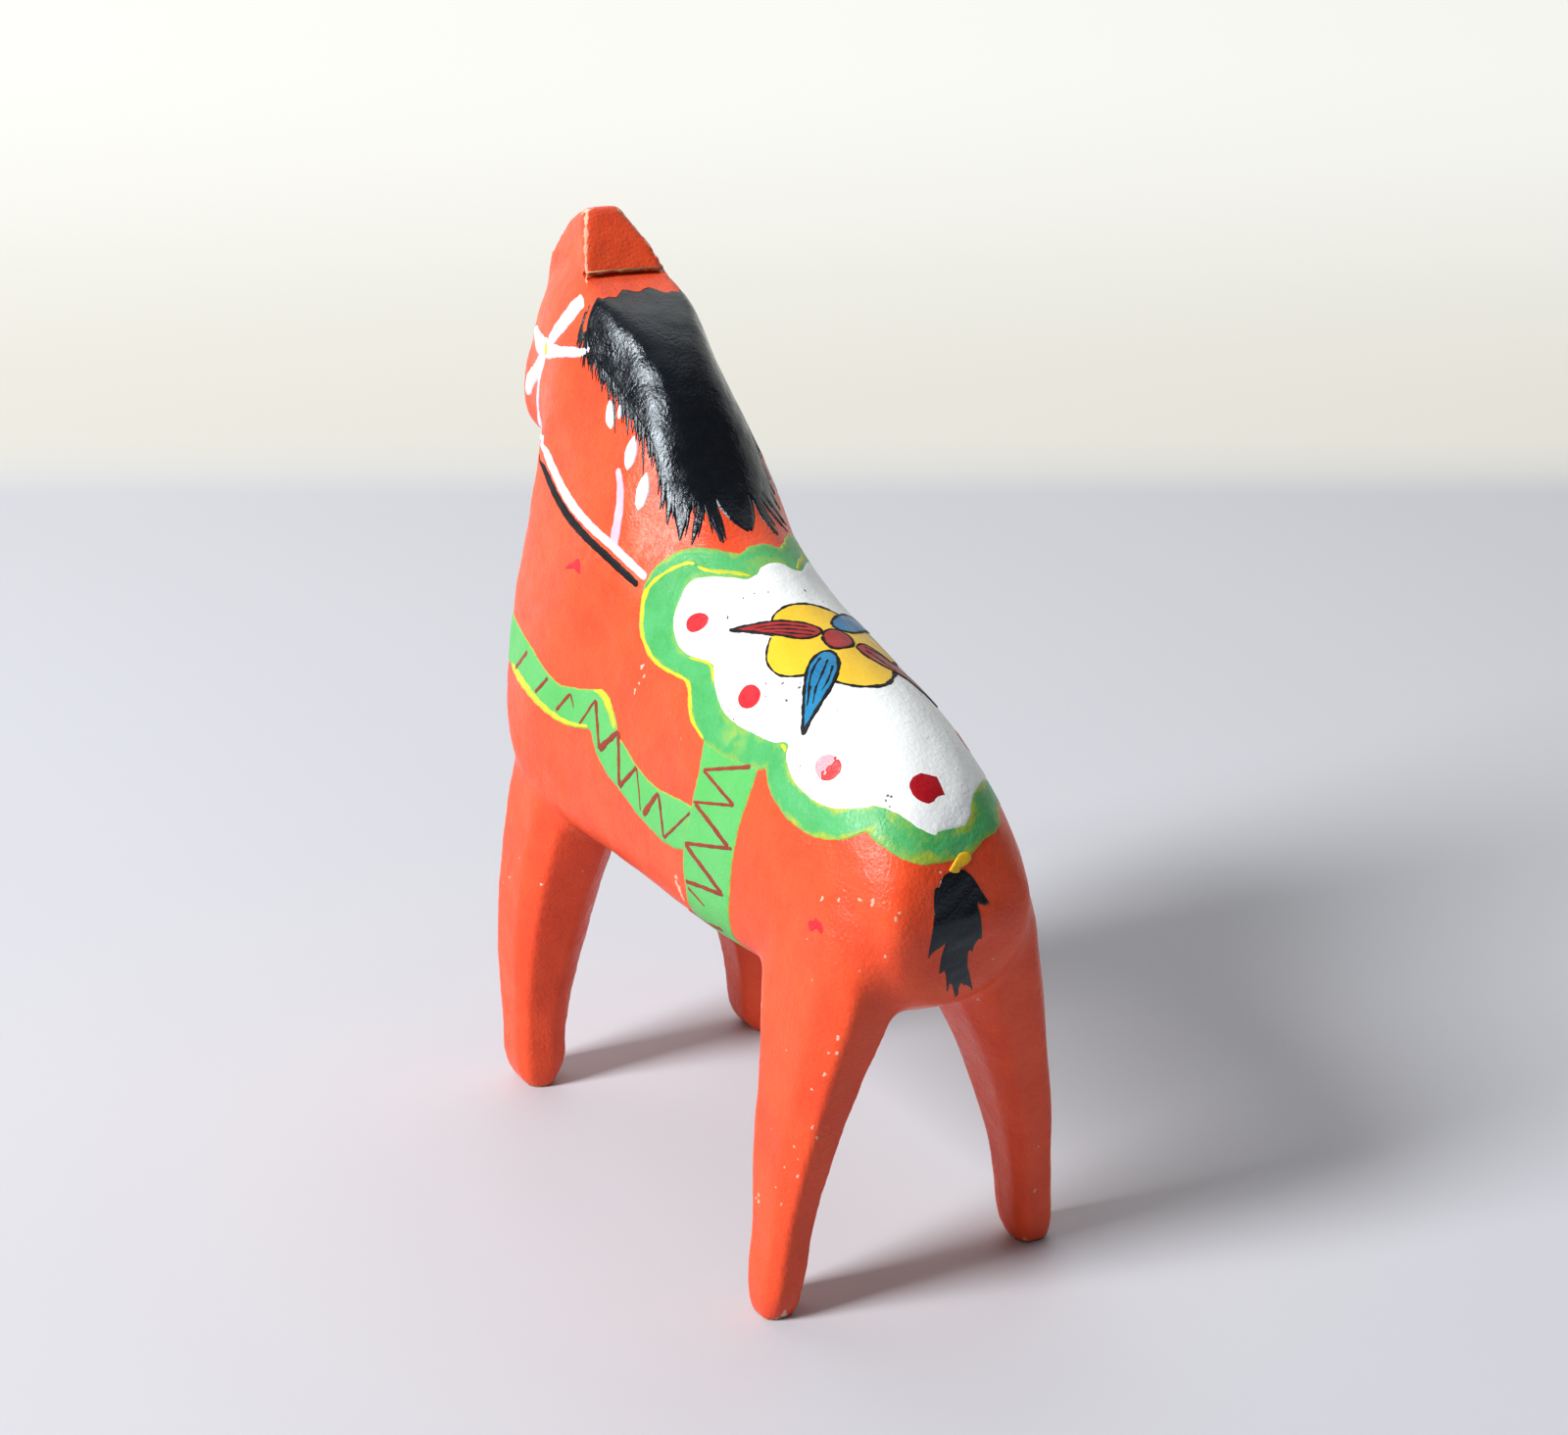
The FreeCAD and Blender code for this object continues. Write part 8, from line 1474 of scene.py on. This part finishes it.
bag = []
add_film(bag, "mane", f_mane, thick=0.12, rim=0.4, box=((-30, -34, 85), (30, 14, 124)), fine=2)
for side in (False, True):
    for s in STROKES["strand"]:
        add_ribbon(bag, s, thick=0.07, base=0.03, mirror=side, taper=0.2, across=4)
    # finer hairs between the brush tips
    edge = rounded(AREAS["mane"], closed=False)[6:]
    for _ in range(150):
        q = edge[rnd.randrange(len(edge) - 4)]
        sx = -1 if side else 1
        h = TREE.ray_cast(Vector((40 * sx, q[0] - 0.4, q[1] + 1.2)), Vector((-sx, 0, 0)))
        if h[0] is None:
            continue
        a = np.array(h[0])
        L = rnd.uniform(1.2, 4.0)
        b = a + np.array([0.15 * sx * L, rnd.uniform(-0.05, 0.22) * L, -L])
        w0 = rnd.uniform(0.25, 0.6)
        pts = [(*a, w0), (*(a + (b - a) * 0.5), w0 * 0.8), (*b, 0.05)]
        add_ribbon(bag, pts, thick=0.05, base=0.025, taper=0.1, across=3, step=0.3)
piece("mane", bag, BLACK, ["mane_black"])


def strokes(name, key, mat, nodes, thick=0.08, base=0.0, mirror=True, wobble=0.05, taper=0.35, extra=(), widen=1.0, pick=None):
    bag = []
    for side in ((False, True) if mirror else (False,)):
        for i, s in enumerate(STROKES[key]):
            if pick is not None and not pick(i):
                continue
            add_ribbon(bag, s, thick=thick, base=base, mirror=side, wobble=wobble, rnd=rnd, taper=taper, widen=widen)
        for e in extra:
            add_ribbon(bag, e, thick=thick, base=base, mirror=side, wobble=wobble, rnd=rnd, taper=taper, widen=widen)
    return piece(name, bag, mat, nodes)


strokes("bridle", "bridle", WHITE_LINE, ["bridle_white"], thick=0.10)
strokes("rein_line", "rblack", BLACK_MATT, ["rein_black"], thick=0.05, widen=0.68)
strokes("rein", "rein", WHITE_LINE, ["rein_white"], thick=0.10, base=0.03, widen=0.80)
strokes("neck_smear", "lav", LAV, ["neck_stroke"], thick=0.06)
strokes("drops", "drop", WHITE_LINE, ["neck_drops"], thick=0.12, taper=0.9)
strokes("bridle_spot", "ydot", YELLOW, ["bridle_dot"], thick=0.08, base=0.08, taper=0.8)
strokes("border_glaze", "yel", LIME, ["saddle_glaze"], thick=0.035, base=0.09, wobble=0.18)
strokes("strap_glaze", "syel", LIME, ["breast_glaze"], thick=0.035, base=0.08, wobble=0.12)
strokes("strap_zigzag", "zig", BROWN, ["breast_zigzag"], thick=0.06, base=0.075, wobble=0.12, taper=0.15)
strokes("girth_zigzag_lines", "gzig", BROWN, ["girth_zigzag"], thick=0.06, base=0.075, wobble=0.10, taper=0.15)

bag = []
add_film(bag, "tail", lambda v, n: np.maximum(seg_dist(v[:, [0, 2]], rounded(AREAS["tail"], step=0.6)), 52.0 - v[:, 1]),
         thick=0.10, rim=0.3, box=((-12, 50, 38), (12, 66, 70)), fine=2)
for s in STROKES["tstrand"]:
    add_ribbon(bag, s, thick=0.06, base=0.03, taper=0.2, across=4)
piece("tail_tassel_hair", bag, BLACK, ["tail_tassel"])
bag = []
add_film(bag, "knot", lambda v, n: np.maximum(seg_dist(v[:, [0, 2]], rounded(AREAS["knot"])), 52.0 - v[:, 1]),
         thick=0.12, rim=0.4, base=0.08, box=((-8, 50, 58), (8, 66, 68)), fine=2)
piece("tail_knot_dab", bag, OCHRE, ["tail_knot"])

bag = []
for k in ("heart1a", "heart1b", "heart2a"):
    for side in (1, -1):
        add_film(bag, k, flank(AREAS[k], side=side), thick=0.04, rim=0.25, box=((-30, -40, 40), (30, 60, 100)), fine=2)
piece("marks", bag, RED, ["red_marks"])

# flower
FL = [
    (5.1, 11.3), (4.5, 10.6), (3.5, 10.2), (2.1, 10.1), (0.8, 10.3), (-0.5, 10.6), (-1.7, 11.0), (-2.9, 11.6),
    (-4.0, 12.4), (-4.8, 13.6), (-6.2, 14.2), (-7.6, 15.6), (-8.4, 17.6), (-8.3, 19.8), (-7.4, 21.8), (-6.4, 23.2),
    (-5.2, 25.6), (-3.9, 26.8), (-2.4, 28.4), (-0.7, 29.3), (0.6, 29.1), (1.8, 28.6), (2.7, 27.8), (3.6, 26.8),
    (4.1, 25.8), (5.1, 23.6), (6.1, 21.9), (6.9, 21.0), (7.5, 20.1), (8.1, 18.9), (8.3, 17.6), (8.3, 16.3),
    (8.0, 15.2), (7.5, 14.3), (6.8, 13.6), (6.2, 13.1), (5.2, 12.6)]
FL = [(x, y + YS) for x, y in FL]
R2 = [(-2.2, 20.4), (-3.4, 19.7), (-4.6, 20.2), (-5.7, 21.6), (-6.5, 23.0), (-7.3, 24.9), (-8.0, 26.9), (-8.9, 29.3),
      (-6.9, 27.4), (-5.2, 25.9), (-3.9, 25.0), (-3.0, 23.9), (-2.3, 22.7), (-2.0, 21.1)]
R2 = [(x, y + YS) for x, y in R2]
B2 = [(-1.4, 15.6), (-1.8, 14.7), (-3.0, 13.6), (-4.5, 12.4), (-6.4, 11.2), (-8.6, 10.1), (-10.6, 9.2),
      (-9.4, 11.2), (-8.2, 12.9), (-6.9, 14.5), (-5.4, 15.9), (-3.6, 17.0), (-2.2, 16.9), (-1.6, 16.4)]
B2 = [(x, y + YS) for x, y in B2]
UPBOX = ((-16, 10, 66), (16, 48, 100))
bag = []
add_film(bag, "flower", plan(FL), thick=0.07, rim=0.35, base=0.12, box=UPBOX, fine=2)
piece("flower", bag, YELLOW, ["flower_yellow"])
bag = []
for p in (AREAS["red1"], R2):
    add_film(bag, "red", plan(p), thick=0.06, rim=0.3, base=0.19, box=UPBOX, fine=2)
piece("red_petals", bag, RED_DARK, ["petals_red"])
bag = []
for p in (AREAS["blue1"], B2):
    add_film(bag, "blue", plan(p), thick=0.06, rim=0.3, base=0.19, box=UPBOX, fine=2)
piece("blue_petals", bag, BLUE, ["petals_blue"])
bag = []
add_film(bag, "centre", plan(AREAS["centre"]), thick=0.08, rim=0.35, base=0.19, box=UPBOX, fine=2)
piece("flower_middle", bag, RED_DARK, ["flower_centre"])


def on_top(rows, w, close=True):
    out = []
    for x, y in list(rows) + ([rows[0]] if close else []):
        h = TREE.ray_cast(Vector((x, y, 130)), Vector((0, 0, -1)))
        if h[0] is not None:
            out.append((h[0][0], h[0][1], h[0][2], w))
    return out


bag = []
for s in STROKES["contour"][4:]:
    add_ribbon(bag, s, thick=0.04, base=0.17, wobble=0.25, rnd=rnd, taper=0.2, step=0.18)
add_ribbon(bag, on_top(FL[9:16], 0.34, False), thick=0.04, base=0.17, wobble=0.25, rnd=rnd, taper=0.2)
for p, w in ((AREAS["red1"], 0.42), (R2, 0.42), (AREAS["blue1"], 0.5), (B2, 0.45), (AREAS["centre"], 0.5)):
    add_ribbon(bag, on_top([tuple(q) for q in rounded(p)[::2]], w), thick=0.04, base=0.235, wobble=0.22, rnd=rnd, taper=0.1, step=0.18)
for s in STROKES["streak"]:
    add_ribbon(bag, s, thick=0.03, base=0.24, wobble=0.25, rnd=rnd, taper=0.6, step=0.2)
piece("flower_lines", bag, BLACK_MATT, ["flower_contour"])

bag = []
for k in ("dot1", "dot2"):
    for side in (1, -1):
        add_film(bag, k, flank(AREAS[k], side=side), thick=0.05, rim=0.35, base=0.12, box=((-30, 0, 60), (30, 62, 100)), fine=2)
add_film(bag, "dot3r", flank(AREAS["dot3"], side=-1), thick=0.05, rim=0.35, base=0.12, box=((-30, 0, 60), (30, 62, 100)), fine=2)
piece("saddle_spots", bag, RED, ["saddle_dots"])
# painted shade: this last dot takes the darker copy of the red because it sits in shade
bag = []
for side in (1,):
    add_film(bag, "dot4", flank(AREAS["dot4"], side=side), thick=0.06, rim=0.35, base=0.12, box=((-30, 0, 60), (30, 62, 100)), fine=2)
piece("saddle_spot_last", bag, RED_PAINTED_SHADE)

# the third dot is rubbed pale on its front half
bag, bag2 = [], []
f3 = flank(AREAS["dot3"], side=1)


def rub(v):
    return (v[:, 1] - (33.9 + YS)) * 0.8 - (v[:, 2] - 71.2) * 0.25 + 0.5 * np.sin(v[:, 2] * 5) * np.sin(v[:, 1] * 7)


add_film(bag, "dot3a", lambda v, n: np.maximum(f3(v, n), rub(v)), thick=0.03, rim=0.3, base=0.12, box=((0, 0, 60), (30, 62, 100)), fine=2)
add_film(bag2, "dot3b", lambda v, n: np.maximum(f3(v, n), -rub(v)), thick=0.05, rim=0.3, base=0.12, box=((0, 0, 60), (30, 62, 100)), fine=2)
piece("rubbed_spot", bag, PALE_DOT)
piece("rubbed_spot_rest", bag2, RED)

# ------------------------------------------------------------------ wear
bag = []
for x, y, z, r in SPECKS["dark"]:
    c, n = snap((x, y, z))
    a = rnd.uniform(0, 6.28)
    t = np.cross(n, [math.cos(a), math.sin(a), 0.3])
    t /= np.linalg.norm(t)
    L = r * rnd.uniform(0.6, 1.6)
    add_ribbon(bag, [(*(c - t * L), r * 1.3), (*c, r * 1.7), (*(c + t * L), r)], thick=0.03, base=0.12, taper=0.15, across=4, step=0.08)
for _ in range(46):
    y, z = rnd.uniform(0, 46) + YS, rnd.uniform(66, 92)
    h = TREE.ray_cast(Vector((40, y, z)), Vector((-1, 0, 0)))
    if h[0] is None:
        continue
    c = np.array(h[0])
    if f_white(c[None], None)[0] > -1.0:
        continue
    r = rnd.uniform(0.05, 0.13)
    for sx in (1, -1):
        q = c * np.array([sx, 1, 1])
        add_ribbon(bag, [(q[0], q[1] - r * 1.5, q[2], r), (*q, r * 2), (q[0], q[1] + r * 1.5, q[2] + 0.1, r)], thick=0.015, base=0.125, taper=0.1, across=3, step=0.08)
piece("specks", bag, SOOT)


def chip(bag, p, r, seed, lift=0.0, stretch=(1, 1, 1)):
    q, n0 = snap(p)
    rr = random.Random(seed)
    ph = [rr.uniform(0, 6.28) for _ in range(6)]

    def f(v, n):
        d = (v - q) * np.array(stretch)
        a = np.arctan2(d[:, 2], d[:, 1] + d[:, 0] * 0.6)
        rad = r * (1 + 0.28 * np.sin(2 * a + ph[0]) + 0.22 * np.sin(3 * a + ph[1]) + 0.16 * np.sin(5 * a + ph[2]) + 0.10 * np.sin(9 * a + ph[3]))
        return np.linalg.norm(d, axis=1) - rad
    R = r * 3 + 1
    add_film(bag, "chip", f, thick=0.012, rim=0.05, base=lift, box=(tuple(q - R), tuple(q + R)), fine=3 if r < 0.6 else 2)


bag = []
k = 0
for x, y, z, r in SPECKS["pale"]:
    k += 1
    chip(bag, (x, y, z), max(0.16, r * 0.8), 100 + k, stretch=(1, 1, 0.55 + 0.3 * (k % 3)))
for _ in range(60):
    k += 1
    side = rnd.choice((1, -1))
    hind = rnd.random() < 0.6
    z = rnd.uniform(1, 52)
    yc = (37.8 if hind else -37.8) + YS + rnd.uniform(-9, 9)
    xx = 40 * side
    h = TREE.ray_cast(Vector((xx, yc, z)), Vector((-side, 0, 0)))
    if h[0] is None or abs(h[0][0]) < 8:
        continue
    chip(bag, h[0], rnd.choice((0.09, 0.10, 0.12, 0.14, 0.2)), 300 + k, stretch=(1, 1, rnd.uniform(0.5, 1.0)))
piece("chips", bag, PRIMER)

# worn edges of the ears
bag, bag2 = [], []
corners = [((wb, yb + YS, zb), (wf, yf + YS, zf)) for yb, zb, yf, zf, wb, wf in EARS[1:]]
for sx in (1, -1):
    line = [(sx * c[0][0], c[0][1], c[0][2], w) for c, w in zip(corners, (0.25, 0.75, 0.5))]
    add_ribbon(bag, line, thick=0.015, wobble=0.45, rnd=rnd, taper=1.5, across=6)
    line = [(sx * c[1][0], c[1][1], c[1][2], w) for c, w in zip(corners[1:], (0.2, 0.5))]
    add_ribbon(bag, line, thick=0.015, wobble=0.35, rnd=rnd, taper=1.0, across=6)
piece("worn_edges", bag, WORN)
for i, q in enumerate(((2.6, -47.9, 129.3), (-2.5, -47.6, 129.0), (2.4, -49.5, 129.2), (-2.9, -48.4, 128.2), (1.6, -47.9, 129.7), (-3.4, -47.0, 127.6))):
    chip(bag2, (q[0], q[1] + YS, q[2]), (0.65, 0.5, 0.45, 0.4, 0.35, 0.3)[i], 900 + i, stretch=(1, 1, 0.8))
piece("ear_chips", bag2, PRIMER)

# ------------------------------------------------------------------ stage
def plain(name, rgb, rough):
    g = Graph(name)
    g.put(g.b.inputs["Base Color"], g.mix(g.ramp(g.noise(0.012, 3.0), 0.3, 0.7, 0.0, 0.35), rgb, tuple(c * 0.96 for c in rgb)))
    g.b.inputs["Roughness"].default_value = rough
    g.b.inputs["Specular IOR Level"].default_value = 0.25
    return g


def sweep():
    """Table that turns up softly into a wall far behind; the wall's lighter look is painted light, a glow that
    brightens towards the top.
    """
    prof = [(-1400, 0), (-400, 0), (0, 0), (300, 0), (600, 0), (690, 0), (735, 0), (748, 1.5), (762, 6), (785, 18), (830, 48), (900, 98), (960, 155), (1000, 240), (1030, 400), (1040, 1500)]
    d = np.array(prof, float)
    v, f = [], []
    for s in (-2600, 2600):
        for a, z in prof:
            p = CAM[:2] * 1.0 + ahead[:2] * a + right[:2] * s
            v.append((p[0], p[1], z))
    n = len(prof)
    for i in range(n - 1):
        f.append([i, i + 1, n + i + 1, n + i])
    return v, f


sv, sf = sweep()
floor = obj_from("floor", sv, sf)
gs = plain("table", (0.545, 0.560, 0.615), 0.55)
m = gs.t.nodes.new("ShaderNodeVectorMath")
m.operation = "DOT_PRODUCT"
gs.t.links.new(gs.co, m.inputs[0])
m.inputs[1].default_value = tuple(ahead)
sep = gs.t.nodes.new("ShaderNodeSeparateXYZ")
gs.t.links.new(gs.co, sep.inputs[0])
far0 = float(CAM @ ahead)
fac = gs.ramp(m.outputs["Value"], far0 + 722, far0 + 772)
gs.put(gs.b.inputs["Base Color"], gs.mix(fac, (0.545, 0.560, 0.615), (0.20, 0.20, 0.19)))
# painted light: the wall glows instead of being lit by the lamps, darker near the table and brighter towards the top
gs.put(gs.b.inputs["Emission Color"], gs.mix(gs.ramp(sep.outputs["Z"], 2, 110), (0.60, 0.585, 0.52), (0.78, 0.78, 0.75)))
gs.put(gs.b.inputs["Emission Strength"], gs.math("MULTIPLY", fac, 0.92))
floor.data.materials.append(gs.mat)
floor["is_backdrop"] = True

world = bpy.data.worlds.new("world")
bpy.context.scene.world = world
world.use_nodes = True
world.node_tree.nodes["Background"].inputs[0].default_value = (0.93, 0.95, 1.0, 1.0)
world.node_tree.nodes["Background"].inputs[1].default_value = 0.13


def area_light(name, pos, target, size, power, color=(1, 1, 1)):
    li = bpy.data.lights.new(name, "AREA")
    li.shape = "RECTANGLE"
    li.size, li.size_y = size[0] * MM, size[1] * MM
    li.energy = power
    li.color = color
    o = bpy.data.objects.new(name, li)
    bpy.context.scene.collection.objects.link(o)
    o.location = Vector(pos) * MM
    o.rotation_euler = (Vector(target) - Vector(pos)).to_track_quat("-Z", "Y").to_euler()
    return o


TGT = (0, Y_SHIFT, 60)
key = np.array(TGT) - right * 1120 + np.array([0, 0, 880]) - ahead * 600
area_light("window", tuple(key), TGT, (420, 720), 38.0, (1.0, 0.985, 0.965))
top = np.array(TGT) + np.array([0, 0, 700]) + ahead * 250 - right * 60
area_light("ceiling", tuple(top), TGT, (700, 700), 0.75, (0.94, 0.97, 1.0))

cam = bpy.data.cameras.new("camera")
cam.sensor_width = 36.0
cam.lens = 2600.0 / 1600.0 * 36.0
cam.clip_start = 0.01
cam.clip_end = 20.0
co = bpy.data.objects.new("camera", cam)
bpy.context.scene.collection.objects.link(co)
rot = Matrix((tuple(right), tuple(upv), tuple(back))).transposed()
co.matrix_world = Matrix.Translation(Vector(CAM) * MM) @ rot.to_4x4()
bpy.context.scene.camera = co
bpy.context.scene.view_settings.view_transform = "Standard"
bpy.context.scene.view_settings.look = "None"



def numbers(b):
    return [numbers(q) if hasattr(q, "__len__") else float(q) for q in b]


{"after_load": numbers(BOX_AFTER_LOAD), "before_finish": numbers(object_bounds())}
